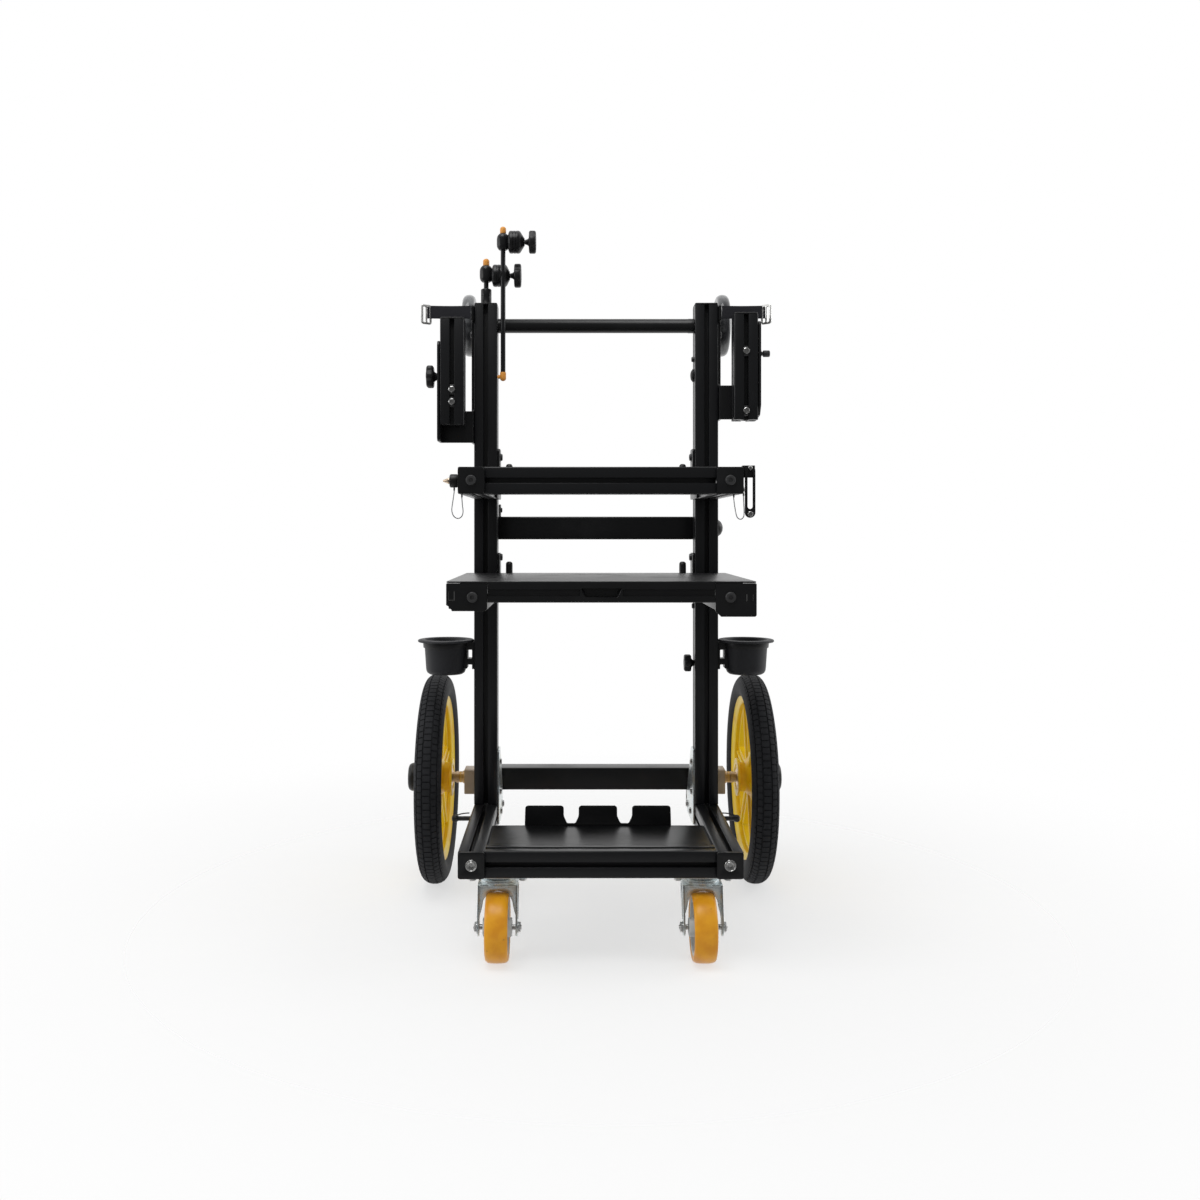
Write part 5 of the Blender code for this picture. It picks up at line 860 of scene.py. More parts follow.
# The rim is a disc less its windows, a turned band and hub, and a raised rib down the middle of each spoke;
# the first spoke stands off the lock pin by a set angle
def makeWheels():
    w = wheel
    y, z = w["axis"]
    first = math.atan2(lockPin["height"] - z, lockPin["back"] - y) - math.radians(w["pinOffSpoke"])
    for side, hand in hands:
        x = side * w["offset"]
        axis = (x, y, z)
        body = "wheel_" + hand
        tyre = Piece("tyreTread_" + hand, body, "tyre_rubber", "rubber", stands=["tyre_" + hand])
        tyre.add(tyreSurface(side))
        tyre.make(sharp=32.0)
        rim = Piece("spokedRim_" + hand, body, "yellow_rim", "yellow", stands=["rim_" + hand])
        rim.add(extruded(circle(y, z, w["discRadius"], 144), x - 0.006, x + 0.006, "x",
                         spokeWindows(first), 0.0018, 3))
        half = [(0.1480, 0.0168), (0.1476, 0.0180), (0.1462, 0.0180), (0.1440, 0.0160), (0.1405, 0.0146),
                (0.1372, 0.0138), (0.1352, 0.0120)]
        band = half + [(0.1350, 0.0)] + mirrored(half) + [(0.1470, -0.0120), (0.1470, 0.0120)]
        rim.add(turned(band, axis, (side, 0, 0), 144))
        hub = [(0.0163, 0.0300), (0.0240, 0.0300), (0.0260, 0.0285), (0.0265, 0.0135), (0.0290, 0.0105),
               (0.0370, 0.0068), (0.0440, 0.0055), (0.0440, -0.0055), (0.0370, -0.0068), (0.0290, -0.0105),
               (0.0265, -0.0135), (0.0262, -0.0232), (0.0280, -0.0245), (0.0332, -0.0250), (0.0340, -0.0262),
               (0.0340, -0.0282), (0.0330, -0.0290), (0.0230, -0.0290), (0.0222, -0.0275), (0.0170, -0.0275),
               (0.0163, -0.0268)]
        rim.add(turned(hub, axis, (side, 0, 0), 72))
        turn = first + 2 * np.pi * np.arange(w["spokes"]) / w["spokes"]
        for angle in turn:
            start = np.array([y, z]) + 0.030 * np.array([math.cos(angle), math.sin(angle)])
            end = np.array([y, z]) + 0.1320 * np.array([math.cos(angle), math.sin(angle)])
            rib = capsule(start, end, 0.0042, 0.0028, 8)
            rim.add(extruded(rib, x - 0.0098, x + 0.0098, "x", edge=0.0022, steps=3))
        rim.make()
        cap = Piece("hubCover_" + hand, body, "black_plastic", "moulded", stands=["hub_cap_" + hand])
        seat = x + side * 0.0303
        cap.add(turned([(0.0, 0.0168), (0.0080, 0.0168), (0.0092, 0.0176), (0.0170, 0.0180), (0.0178, 0.0205),
                        (0.0200, 0.0210), (0.0228, 0.0196), (0.0244, 0.0170),
                        (0.0252, 0.0150), (0.0252, 0.0132),
                        (0.0244, 0.0126), (0.0244, 0.0104), (0.0255, 0.0096),
                        (0.0255, 0.0022), (0.0248, 0.0006),
                        (0.0240, 0.0), (0.0, 0.0)], (seat, y, z), (side, 0, 0), 96,
                       lambda t, d, r: r * (1 - 0.028 * (0.5 - 0.5 * np.cos(24 * t))
                                            * (d < 0.0098) * (d > 0.0015))))
        cap.make()


# Lock pins; a place on the thin pull rod is (distance from the middle, height)
lockPin = {"back": 0.330, "height": 0.138, "tip": 0.251, "rodStart": (0.2430, 0.1432),
           "rodEnd": (0.2200, 0.1475), "rodBow": 0.0012, "rodRadius": 0.0011}


# The pin is turned about x and ends in a ball; the rod is a tube on a line that bows up by a sine wave
def makeLockPins():
    p = lockPin
    for side, hand in hands:
        pin = Piece("lockPin_" + hand, "lock_pin_" + hand, "brass", "dull", stands=["lock_pin_" + hand])
        pin.add(turned([(0.0, 0.0), (0.0030, -0.0004), (0.0052, -0.0019),
                        (0.0063, -0.0042), (0.0065, -0.0064),
                        (0.0060, -0.0090), (0.0044, -0.0112), (0.0040, -0.0122),
                        (0.0040, -0.0625), (0.0, -0.0630)],
                       (side * p["tip"], p["back"], p["height"]), (side, 0, 0), 32))
        share = np.linspace(0, 1, 12)[:, None]
        start, end = (np.array((side * x, p["back"], z)) for x, z in (p["rodStart"], p["rodEnd"]))
        bow = np.array((0, 0, p["rodBow"])) * np.sin(np.pi * share)
        pin.add(tubed(start * (1 - share) + end * share + bow, p["rodRadius"]))
        pin.make()


makeBase()
makeUprights()
makeCrossbar()
makeGussets()
makeAxle()
note("frame built")
makeWheels()
makeLockPins()
note("wheels built")


# Tray: floor, side flanges and a back wall cut into three tabs with flared feet
tray = {"top": 0.164, "sheet": 0.002, "front": 0.0453, "back": 0.1773, "reach": 0.1697,
        "tab": 0.062, "pitch": 0.086, "rise": 0.032}


# The back wall is one outline that drops between the tabs and flares out at the tabs' feet
def makeTray():
    t = tray
    piece = Piece("baseTray", "frame", "black_paint", "paint", stands=["tray"])
    floor = rectangle((-t["reach"], t["front"]), (t["reach"], t["back"] - 0.0006), 0.003, 4)
    piece.add(extruded(floor, t["top"] - t["sheet"], t["top"], "z", edge=0.0006))
    half, low, high = t["tab"] / 2, t["top"] - 0.0012, t["top"] + t["rise"]
    corners, radii = [(-t["pitch"] - half - 0.001, low)], [0.0]
    for i in (-1, 0, 1):
        left, right = i * t["pitch"] - half, i * t["pitch"] + half
        if i > -1:
            corners += [(left - 0.0055, t["top"] + 0.0036), (left, t["top"] + 0.0150)]
            radii += [0.0035, 0.016]
        corners += [(left, high), (right, high)]
        radii += [0.005, 0.005]
        if i < 1:
            corners += [(right, t["top"] + 0.0150), (right + 0.0055, t["top"] + 0.0036)]
            radii += [0.016, 0.0035]
    corners.append((t["pitch"] + half + 0.001, low))
    radii.append(0.0)
    piece.add(extruded(fillet(corners, radii, 6), t["back"] - t["sheet"], t["back"], "y", edge=0.0006))
    for side in (-1, 1):
        x = side * t["reach"]
        flange = rectangle((t["front"], t["top"] - 0.022), (t["back"], t["top"] - 0.0008), 0.003, 3)
        piece.add(extruded(flange, x, x - side * t["sheet"], "x", edge=0.0005))
    piece.make()
    screws = Piece("trayScrews", "frame", "black_paint", "dull", stands=["tray"])
    for side in (-1, 1):
        for share in (0.2, 0.8):
            screws.add(screw((side * (t["reach"] - t["sheet"]), t["front"] + share * 0.132,
                              0.148), (-side, 0, 0)))
    screws.make()


# Casters: pressed plate and fork with ball races, axle bolt and a pale wheel with an orange tread
caster = {"across": 0.1525, "back": 0.050, "wheelBack": 0.023, "radius": 0.051, "half": 0.017}


# Turned profiles for races, bolts and wheel; flat outlines with rounded edges for plate and fork
def makeCaster(side, hand):
    c = caster
    x, y = side * c["across"], c["back"]
    plate = Piece("casterPlate_" + hand, "frame", "zinc", "zinc", stands=["caster_plate_" + hand])
    outline = rectangle((x - 0.0475, y - 0.0335), (x + 0.0475, y + 0.0335), 0.010, 8)
    holes = [capsule((x + a * 0.0375 - 0.0022, y + b * 0.025), (x + a * 0.0375 + 0.0022, y + b * 0.025),
                     0.0045, 0.0045, 8) for a in (-1, 1) for b in (-1, 1)]
    plate.add(extruded(outline, 0.1242, 0.1277, "z", holes, 0.0007))
    plate.add(turned([(0.0, 0.1250), (0.0300, 0.1250), (0.0292, 0.1236), (0.0262, 0.1226), (0.0236, 0.1208),
                      (0.0216, 0.1200), (0.0216, 0.1192), (0.0060, 0.1192),
                      (0.0060, 0.1090), (0.0102, 0.1088),
                      (0.0100, 0.1060), (0.0078, 0.1042), (0.0, 0.1040)], (x, y, 0.0), (0, 0, 1), 56))
    plate.make()
    bolts = Piece("casterBolts_" + hand, "frame", "zinc", "steel", stands=["caster_plate_" + hand])
    for a, b in ((side, -1), (side, 1), (-side, -1), (-side, 1)):
        seat = (x + a * 0.0375, y + b * 0.025, 0.1242)
        bolts.add(turned([(0.0, 0.0040), (0.0046, 0.0040, 1.0), (0.0050, 0.0034, 1.0), (0.0050, 0.0008, 1.0),
                          (0.0062, 0.0007), (0.0062, 0.0), (0.0, 0.0)], seat, (0, 0, -1), 36))
    bolts.make()
    body = "caster_" + hand
    fork = Piece("casterFork_" + hand, body, "zinc", "zinc", stands=["caster_fork_" + hand])
    bore = 0.0063
    fork.add(turned([(bore, 0.1189), (0.0228, 0.1189), (0.0250, 0.1184), (0.0266, 0.1168), (0.0270, 0.1150),
                     (0.0266, 0.1136), (0.0276, 0.1126), (0.0290, 0.1116), (0.0290, 0.1100), (bore, 0.1100)],
                    (x, y, 0.0), (0, 0, 1), 64))
    crown = rectangle((x - 0.0300, y - 0.025), (x + 0.0300, y + 0.025), 0.007, 6)
    fork.add(extruded(crown, 0.1095, 0.1125, "z", [circle(x, y, bore, 32)], 0.0009, 3))
    foot = circle(c["wheelBack"], c["radius"], 0.013, 48)
    leg = np.concatenate([[(y - 0.0235, 0.1122)], foot[20:], foot[:7],
                          [(y + 0.0180, 0.0900), (y + 0.0235, 0.1122)]])
    radii = np.concatenate([[0.003], np.zeros(35), [0.012, 0.003]])
    leg = fillet(leg, radii, 6)
    for face in (-1, 1):
        fork.add(extruded(leg, x + face * 0.0270, x + face * 0.0299, "x", edge=0.0009, steps=3))
        rib = capsule((y - 0.004, 0.103), (c["wheelBack"] + 0.004, 0.066), 0.0075, 0.0045, 8)
        fork.add(extruded(rib, x + face * 0.0292, x + face * 0.0309, "x", edge=0.0008, steps=3))
    # The front apron between the legs: an arch over the wheel whose feet narrow towards the axle
    turn = np.linspace(0, np.pi, 17)
    arch = np.stack([0.0226 * np.cos(turn), 0.0820 + 0.0214 * np.sin(turn)], 1)
    apron = np.concatenate([[(0.0300, 0.1110), (-0.0300, 0.1110), (-0.0300, 0.0800), (-0.0297, 0.0660),
                             (-0.0268, 0.0660), (-0.0240, 0.0760)], arch[::-1],
                            [(0.0240, 0.0760), (0.0268, 0.0660),
                             (0.0297, 0.0660), (0.0300, 0.0800)]])
    fork.add(extruded(apron + np.array((x, 0.0)), 0.0262, 0.0290, "y", edge=0.0006))
    fork.make()
    axle = Piece("casterAxle_" + hand, body, "zinc", "steel", stands=["caster_fork_" + hand])
    seat = (x, c["wheelBack"], c["radius"])
    for face in (-1, 1):
        axle.add(turned([(0.0, 0.0358), (0.0030, 0.0358), (0.0038, 0.0352), (0.0040, 0.0346),
                         (0.0062, 0.0344, 1.0),
                         (0.0068, 0.0338, 1.0), (0.0068, 0.0312, 1.0), (0.0084, 0.0310), (0.0084, 0.0300),
                         (0.0, 0.0300)], seat, (face, 0, 0), 36))
    axle.add(turned([(0.0, 0.0305), (0.0040, 0.0305), (0.0040, -0.0305), (0.0, -0.0305)],
                    seat, (1, 0, 0), 24))
    axle.make()
    spin = "caster_wheel_" + hand
    core = Piece("casterCore_" + hand, spin, "orange_tread", "core", stands=["caster_wheel_" + hand])
    half = [(0.0412, 0.0120), (0.0410, 0.0156), (0.0396, 0.0160), (0.0366, 0.0156),
            (0.0356, 0.0140), (0.0350, 0.0070),
            (0.0330, 0.0060), (0.0170, 0.0060), (0.0146, 0.0075), (0.0140, 0.0100), (0.0138, 0.0205),
            (0.0128, 0.0215), (0.0043, 0.0215)]
    core.add(turned(half + mirrored(half), seat, (1, 0, 0), 72))
    core.make()
    tread = Piece("casterTread_" + hand, spin, "orange_tread", "orange", stands=["caster_wheel_" + hand])
    half = [(0.0510, 0.0), (0.0509, 0.0060), (0.0504, 0.0108), (0.0494, 0.0142),
            (0.0478, 0.0164), (0.0460, 0.0171),
            (0.0438, 0.0169), (0.0424, 0.0158), (0.0409, 0.0156)]
    tread.add(turned(half[::-1] + [(r, -d) for r, d in half[1:]], seat, (1, 0, 0), 96))
    tread.make()


# Clamping lever: a round hub on the axis and an arm that points up, its finger end thicker
def makeLever(name, body, side, start, height):
    lever = Piece(name + "Arm", body, "black_plastic", "moulded", stands=[body])
    inner = side * 0.145
    length = abs(side * start - inner)
    lever.add(turned([(0.0, length), (0.0070, length), (0.0084, length - 0.0012), (0.0088, length - 0.0040),
                      (0.0080, length - 0.0060), (0.0080, 0.0030), (0.0088, 0.0018),
                      (0.0086, 0.0), (0.0, 0.0)],
                     (side * start, 0.324, height), (-side, 0, 0), 40))
    tip = (0.324, height + 0.0355)
    outline = capsule((0.324, height), tip, 0.0076, 0.0062, 16)
    lever.add(extruded(outline, inner - side * 0.0004, inner + side * 0.0112, "x", edge=0.0044, steps=6))
    lever.make()
    bolt = Piece(name + "Screw", body, "black_plastic", "steel", stands=[body])
    bolt.add(screw((inner + side * 0.0006, 0.324, height), (-side, 0, 0), 0.0040, 0.0014))
    bolt.make()


# An end plate's bolt: rounded head with a hexagon socket and a washer face
def endBolt(seat, direction):
    return turned([(0.0, 0.0022), (0.0030, 0.0022, 1.0), (0.0031, 0.0042, 1.0),
                   (0.0048, 0.0045), (0.0066, 0.0042),
                   (0.0075, 0.0032), (0.0078, 0.0014), (0.0078, -0.0004), (0.0, -0.0004)],
                  seat, direction, 48)


# Upper frame: rails, plates and bolts, then the latch on its left and the slotted link on its right
def makeUpperFrame():
    z, body = 0.713, "upper_frame"
    rails = Piece("upperRails", body, "black_anodised", "railX", "railY", stands=["upper_rails"])
    rails.add(rail("x", -0.1708, 0.1708, (0.0253, z)), 0)
    plates = Piece("upperJoiningPlates", body, "black_anodised", "paint", stands=["upper_rails"])
    screws = Piece("upperScrews", body, "zinc", "dull", "steel", stands=["upper_rails"])
    corners = [(0.240, 0.693), (0.3437, 0.693), (0.3437, 0.780), (0.3050, 0.780),
               (0.3050, 0.733), (0.240, 0.733)]
    for side, hand in hands:
        rails.add(rail("y", 0.0053, 0.3037, (side * 0.190, z)), 1)
        face = side * 0.1697
        plates.add(extruded(fillet(corners, (0.004, 0.006, 0.006, 0.005, 0.006, 0.004), 5), face,
                            face - side * 0.004,
                            "x", edge=0.0006))
        for y, up, radius in ((0.324, 0.766, 0.0060), (0.252, z, 0.0055), (0.284, z, 0.0055)):
            seat = (face - side * 0.004, y, up)
            screws.add(screw(seat, (-side, 0, 0), radius, 0.0038))
            screws.add(turned([(0.0, 0.0007), (0.0072, 0.0007), (0.0076, 0.0), (0.0, 0.0)],
                              seat, (-side, 0, 0), 32))
        name = "upper_end_plate_" + hand
        plate = Piece("upperEndPlate_" + hand, body, "black_paint", "paint", stands=[name])
        plate.add(square("y", 0.0, 0.005, (side * 0.190, z), radius=0.0050))
        plate.make()
        bolt = Piece("upperEndBolt_" + hand, body, "black_paint", "dull", stands=[name])
        bolt.add(endBolt((side * 0.190, 0.0, z), (0, -1, 0)))
        bolt.make()
        makeLever("upperLever_" + hand, "upper_lever_" + hand, side, 0.1654, z)
    rails.make()
    plates.make()
    screws.make()
    latch = Piece("latchHousing", body, "black_anodised", "moulded", "dull", stands=["upper_rails"])
    latch.add(turned([(0.0031, 0.0137), (0.0078, 0.0137), (0.0094, 0.0130),
                      (0.0100, 0.0116), (0.0100, 0.0030),
                      (0.0094, 0.0022), (0.0088, 0.0), (0.0031, 0.0)], (-0.210, 0.025, z), (-1, 0, 0), 48,
                     lambda t, d, r: r * (1 - 0.03 * (0.5 - 0.5 * np.cos(20 * t)) * (r > 0.0098))), 0)
    latch.make()
    pin = Piece("latchPin", "latch_pin", "brass", "brass", stands=["latch_pin"])
    pin.add(turned([(0.0, 0.0238), (0.0010, 0.0236), (0.0016, 0.0230), (0.0036, 0.0176), (0.0044, 0.0164),
                    (0.0046, 0.0154), (0.0046, 0.0144), (0.0042, 0.0140), (0.0028, 0.0140), (0.0028, 0.0010),
                    (0.0, 0.0008)], (-0.210, 0.025, z), (-1, 0, 0), 36))
    pin.make()
    link = Piece("slottedLink", "slotted_link", "black_paint", "paint", stands=["slotted_link"])
    x, half = 0.2203, 0.0078
    top, foot = 0.735 - half, 0.658 + half
    slot = capsule((x, 0.7275 - 0.0038 - 0.0564 + 0.0076), (x, 0.7275 - 0.0038), 0.0038, 0.0038, 12)
    link.add(extruded(capsule((x, foot), (x, top), half, half, 20), 0.009, 0.012, "y",
                      [slot, circle(x, 0.7313, 0.0021, 20)], 0.0006))
    link.make()
    stud = Piece("linkScrew", "slotted_link", "zinc", "steel", stands=["slotted_link"])
    stud.add(screw((x, 0.009, foot - 0.0022), (0, -1, 0), 0.0042, 0.0034))
    stud.make()
    ear = Piece("linkEar", body, "black_anodised", "paint", stands=["upper_rails"])
    ear.add(extruded(fillet([(0.2096, 0.0123), (0.2281, 0.0123), (0.2281, 0.0152),
                             (0.2128, 0.0152), (0.2128, 0.0242),
                             (0.2096, 0.0242)], (0.0, 0.002, 0.001, 0.002, 0.001, 0.0), 3),
                     0.7173, 0.7353, "z",
                     edge=0.0005))
    ear.make()
    screws = Piece("linkEarScrews", body, "zinc", "steel", stands=["upper_rails"])
    screws.add(turned([(0.0, 0.0062), (0.0024, 0.0060), (0.0034, 0.0046), (0.0036, 0.0032), (0.0018, 0.0030),
                       (0.0018, 0.0), (0.0, 0.0)], (x, 0.0118, 0.7313), (0, -1, 0), 28))
    screws.add(screw((0.210, 0.032, 0.700), (1, 0, 0), 0.0048, 0.0052))
    screws.make()


# Mid shelf: sheet, grooved front bar, side rails, joining plates and end plates
shelf = {"half": 0.2225, "front": -0.039, "back": 0.3037, "top": 0.5665, "sheet": 0.0025, "barFoot": 0.5359,
         "barReach": 0.1632, "barDepth": 0.020, "groove": 0.0045, "grooveDeep": 0.003, "finger": 0.028,
         "fingerHigh": 0.006, "fingerDeep": 0.008}


# The front bar's section carried across the cart; its front face falls back by the groove's depth and,
# in the middle, by the finger recess, whose ends slope
def shelfBar():
    s = shelf
    low, high = s["barFoot"], s["top"] - s["sheet"] + 0.0004
    middle = (s["barFoot"] + s["top"] - s["sheet"]) / 2
    soft = 0.0004
    marks = [middle + a * (b + c) for a in (-1, 1) for b in (s["groove"], s["fingerHigh"])
             for c in (-soft, soft)]
    z = np.unique(np.concatenate([np.linspace(low + 0.0012, high, 12), marks]).round(6))
    ends = [a * (s["finger"] + 0.003 + c) for a in (-1, 1) for c in (-soft, soft)]
    x = np.unique(np.concatenate([np.linspace(-s["barReach"], s["barReach"], 25),
                                  np.linspace(-s["finger"] - 0.001, s["finger"] + 0.001, 41), ends]).round(6))
    gx, gz = x[:, None], z[None, :]
    near = lambda value, limit: np.clip((limit + soft - value) / (2 * soft), 0, 1)
    outside = 1 - near(np.abs(gx), s["finger"] + 0.003)
    groove = near(np.abs(gz - middle), s["groove"]) * outside * s["grooveDeep"]
    reach = s["finger"] - s["fingerHigh"] * (1 - (gz - middle) / s["fingerHigh"]) / 2
    finger = near(np.abs(gz - middle), s["fingerHigh"]) * near(np.abs(gx), reach) * s["fingerDeep"]
    face = s["front"] + 0.0003 + np.maximum(groove, finger)
    front = np.stack([gx + 0 * face, face, gz + 0 * face], -1)
    back = s["front"] + 0.0003 + s["barDepth"]
    rest = np.array([(back, high), (back, low + 0.0004), (back - 0.0004, low), (s["front"] + 0.0015, low)])
    rest = np.broadcast_to(rest[None], (len(x), 4, 2))
    rest = np.concatenate([np.broadcast_to(gx[:, :, None], (len(x), 4, 1)), rest], -1)
    loop = np.concatenate([front, rest], 1)
    columns = loop.shape[1]
    points = np.concatenate([loop.reshape(-1, 3), [(x[0], back - 0.008, middle),
                                                   (x[-1], back - 0.008, middle)]])
    count = len(x) * columns
    return points, [gridFaces(len(x), columns, False, True), fanFaces(count, 0, columns),
                    fanFaces(count + 1, count - columns, columns, True)]


# Flat outlines carried through their sheet, slotted rails along y, and the front bar between them
def makeMidShelf():
    s, body, z = shelf, "mid_shelf", 0.5437
    top = Piece("shelfTop", body, "black_paint", "paint", stands=["mid_shelf_top"])
    outline = rectangle((-s["half"], s["front"]), (s["half"], s["back"]), 0.006, 8)
    top.add(extruded(outline, s["top"] - s["sheet"], s["top"], "z", edge=0.0009, steps=3))
    top.add(shelfBar())
    top.make()
    marks = {"left": [[(-0.2201, 0.5525), (-0.2186, 0.5525), (-0.2186, 0.5400),
                       (-0.2116, 0.5400), (-0.2116, 0.5525),
                       (-0.2101, 0.5525), (-0.2101, 0.5385), (-0.2201, 0.5385)]],
             "right": [rectangle((a - 0.0009, 0.5372), (a + 0.0009, 0.5482), 0.0008, 3)
                       for a in (0.2084, 0.2180)]}
    for side, hand in hands:
        rails = Piece("shelfRail_" + hand, body, "black_anodised", "railY", stands=["mid_side_rail_" + hand])
        rails.add(rail("y", -0.0337, 0.3037, (side * 0.185, z)))
        rails.make()
        plates = Piece("shelfJoiningPlate_" + hand, body, "black_anodised", "paint",
                       stands=["mid_side_rail_" + hand])
        plan = [(0.1655, 0.240), (0.1655, 0.3043), (0.1697, 0.3043), (0.1697, 0.3437),
                (0.1610, 0.3437), (0.1610, 0.240)]
        plan = [(side * a, b) for a, b in plan]
        plates.add(extruded(fillet(plan, (0.0, 0.0, 0.001, 0.001, 0.001, 0.002), 3), 0.5240,
                            0.5634, "z", edge=0.0006))
        leaf = fillet([(0.3046, 0.5554), (0.3434, 0.5554), (0.3434, 0.6005), (0.3046, 0.6005)],
                      (0.0, 0.0, 0.006, 0.006), 5)
        plates.add(extruded(leaf, side * 0.1694, side * 0.1657, "x", edge=0.0006))
        plates.make()
        screws = Piece("shelfScrews_" + hand, body, "zinc", "dull", stands=["mid_side_rail_" + hand])
        screws.add(screw((side * 0.1657, 0.324, 0.593), (-side, 0, 0), 0.0060, 0.0038))
        for y in (0.2528, 0.2816):
            screws.add(screw((side * 0.1610, y, z), (-side, 0, 0)))
        screws.make()
        low = 0.5237 if side < 0 else 0.5157
        left, right = sorted((side * 0.1635, side * 0.2225))
        high = 0.5637
        if side < 0:  # the left plate's outer corner is notched, the right one's is cut off
            corners = [(left + 0.008, low), (right - 0.003, low), (right, low + 0.003),
                       (right, high), (left, high),
                       (left, low + 0.0085), (left + 0.0035, low + 0.0070), (left + 0.0035, low + 0.0035),
                       (left + 0.0070, low + 0.0030)]
        else:
            corners = [(left + 0.008, low), (right - 0.002, low), (right, low + 0.002),
                       (right, high), (left, high),
                       (left, low + 0.008)]
        plate = Piece("shelfEndPlate_" + hand, body, "black_paint", "paint", stands=["mid_end_plate_" + hand])
        plate.add(extruded(fillet(corners, 0.0016, 4), s["front"], s["front"] + 0.0034, "y",
                           marks[hand], 0.0005))
        plate.add(extruded(rectangle((left + 0.0006, low + 0.0095), (right - 0.0006, 0.5630), 0.002, 4),
                           s["front"] + 0.0030, s["front"] + 0.0050, "y", edge=0.0004))
        plate.make()
        mark = Piece("shelfEndMark_" + hand, body, "black_paint", "steel", stands=["mid_end_plate_" + hand])
        near, far = sorted((-0.2096, -0.2204) if side < 0 else (0.2072, 0.2192))
        mark.add(box((near, s["front"] + 0.0024, 0.5366), (far, s["front"] + 0.0033, 0.5535), 0.0002))
        mark.make()
        bolt = Piece("shelfEndBolt_" + hand, body, "black_paint", "dull", stands=["mid_end_plate_" + hand])
        bolt.add(endBolt((side * 0.185, s["front"], z), (0, -1, 0)))
        bolt.make()
        makeLever("shelfLever_" + hand, "mid_lever_" + hand, side, 0.1604, z)


# Cups and the cradles that hold them
cup = {"across": 0.260, "top": 0.451, "foot": 0.391}


# A shell is a tapered profile with a wide lip, turned about z; a cradle is a turned ring and a bracket
def makeCups():
    top, foot = cup["top"], cup["foot"]
    for side, hand in hands:
        x, y = side * cup["across"], upright["back"]
        shell = Piece("cupShell_" + hand, "cup_" + hand, "matt_plastic", "printed", stands=["cup_" + hand])
        shell.add(turned([(0.0, foot + 0.0025), (0.0270, foot + 0.0025), (0.0296, foot + 0.0040),
                          (0.0316, foot + 0.0090),
                        (0.0348, top - 0.0060), (0.0354, top - 0.0018), (0.0366, top - 0.0002), (0.0390, top),
                        (0.0462, top - 0.0003), (0.0478, top - 0.0009), (0.0486, top - 0.0022),
                        (0.0485, top - 0.0036),
                        (0.0474, top - 0.0045), (0.0460, top - 0.0042), (0.0400, top - 0.0036),
                        (0.0380, top - 0.0036), (0.0374, top - 0.0066), (0.0346, foot + 0.0110),
                        (0.0340, foot + 0.0064), (0.0322, foot + 0.0026), (0.0286, foot), (0.0210, foot),
                        (0.0200, foot + 0.0008), (0.0, foot + 0.0010)], (x, y, 0.0), (0, 0, 1), 96))
        shell.make()
        cradle = Piece("cupCradle_" + hand, "frame", "matt_plastic", "moulded",
                       stands=["cup_bracket_" + hand])
        cradle.add(turned([(0.0396, 0.4474), (0.0400, 0.4466), (0.0392, 0.4372),
                           (0.0388, 0.4367), (0.0372, 0.4369),
                           (0.0370, 0.4375), (0.0374, 0.4470), (0.0378, 0.4476)], (x, y, 0.0), (0, 0, 1), 80))
        wall, leaf, post, inner = 0.2103, 0.2140, 0.2289, 0.2222
        outline = [(wall, 0.400), (leaf, 0.400), (leaf, 0.408), (inner, 0.408), (inner, 0.401),
                   (post - 0.0012, 0.401),
                   (post - 0.0012, 0.418), (0.2250, 0.4225), (0.2250, 0.4368),
                   (0.2230, 0.4472), (wall, 0.4472)]
        window = [(leaf, 0.418), (0.2218, 0.418), (0.2218, 0.4335), (leaf, 0.4335)]
        mirror = np.array((side, 1.0))
        cradle.add(extruded(fillet(np.array(outline) * mirror, 0.0012, 4), 0.310, 0.338, "y",
                            [fillet(np.array(window) * mirror, 0.0010, 4)], 0.0008))
        cradle.make()
    knobPiece("cupKnob", "cup_knob", (0.1697, 0.324, 0.4095), (-1, 0, 0), 0.0155, 0.0050, 0.0042, 0.0170)


# Lobed knob: a stem that opens into a disc, whose radius falls between its lobes
def knobPiece(name, body, seat, direction, radius, stemRadius, stem, length, lobes=6):
    knob = Piece(name, body, "black_plastic", "moulded", stands=[body])
    profile = [(0.0, length - 0.0006), (radius * 0.30, length - 0.0004), (radius * 0.62, length),
               (radius * 0.86, length - 0.0003), (radius * 0.96, length - 0.0012), (radius, length - 0.0030),
               (radius, stem + 0.0032), (radius * 0.96, stem + 0.0016), (radius * 0.86, stem + 0.0008),
               (stemRadius * 1.7, stem + 0.0002), (stemRadius * 1.2, stem * 0.60), (stemRadius, 0.0012),
               (stemRadius, 0.0), (0.0, 0.0)]
    knob.add(turned(profile, seat, direction, 108,
                    lambda t, d, r: r * (1 - 0.16 * (0.5 - 0.5 * np.cos(lobes * t)) ** 1.5
                                         * np.clip((r / radius - 0.45) / 0.5, 0, 1))))
    knob.make(sharp=50.0)
    cap = Piece(name + "Cap", body, "black_plastic", "dull", stands=[body])
    seat = np.array(seat) + np.array(direction, float) * (length - 0.0006)
    cap.add(turned([(0.0, 0.0002), (radius * 0.22, 0.0001), (radius * 0.25, -0.0003), (0.0, -0.0006)],
                   seat, direction, 32))
    cap.make()


# Wings: short slotted rails on the side plates, with steel screws and slot nuts in front
wing = {"left": {"across": -0.2428, "foot": 0.817, "screws": (0.8755, 0.8546)},
        "right": {"across": 0.2502, "foot": 0.825, "screws": (0.940, 0.840)},
        "back": 0.270, "length": 0.177, "cappedLength": 0.180, "knobHeight": 0.899}


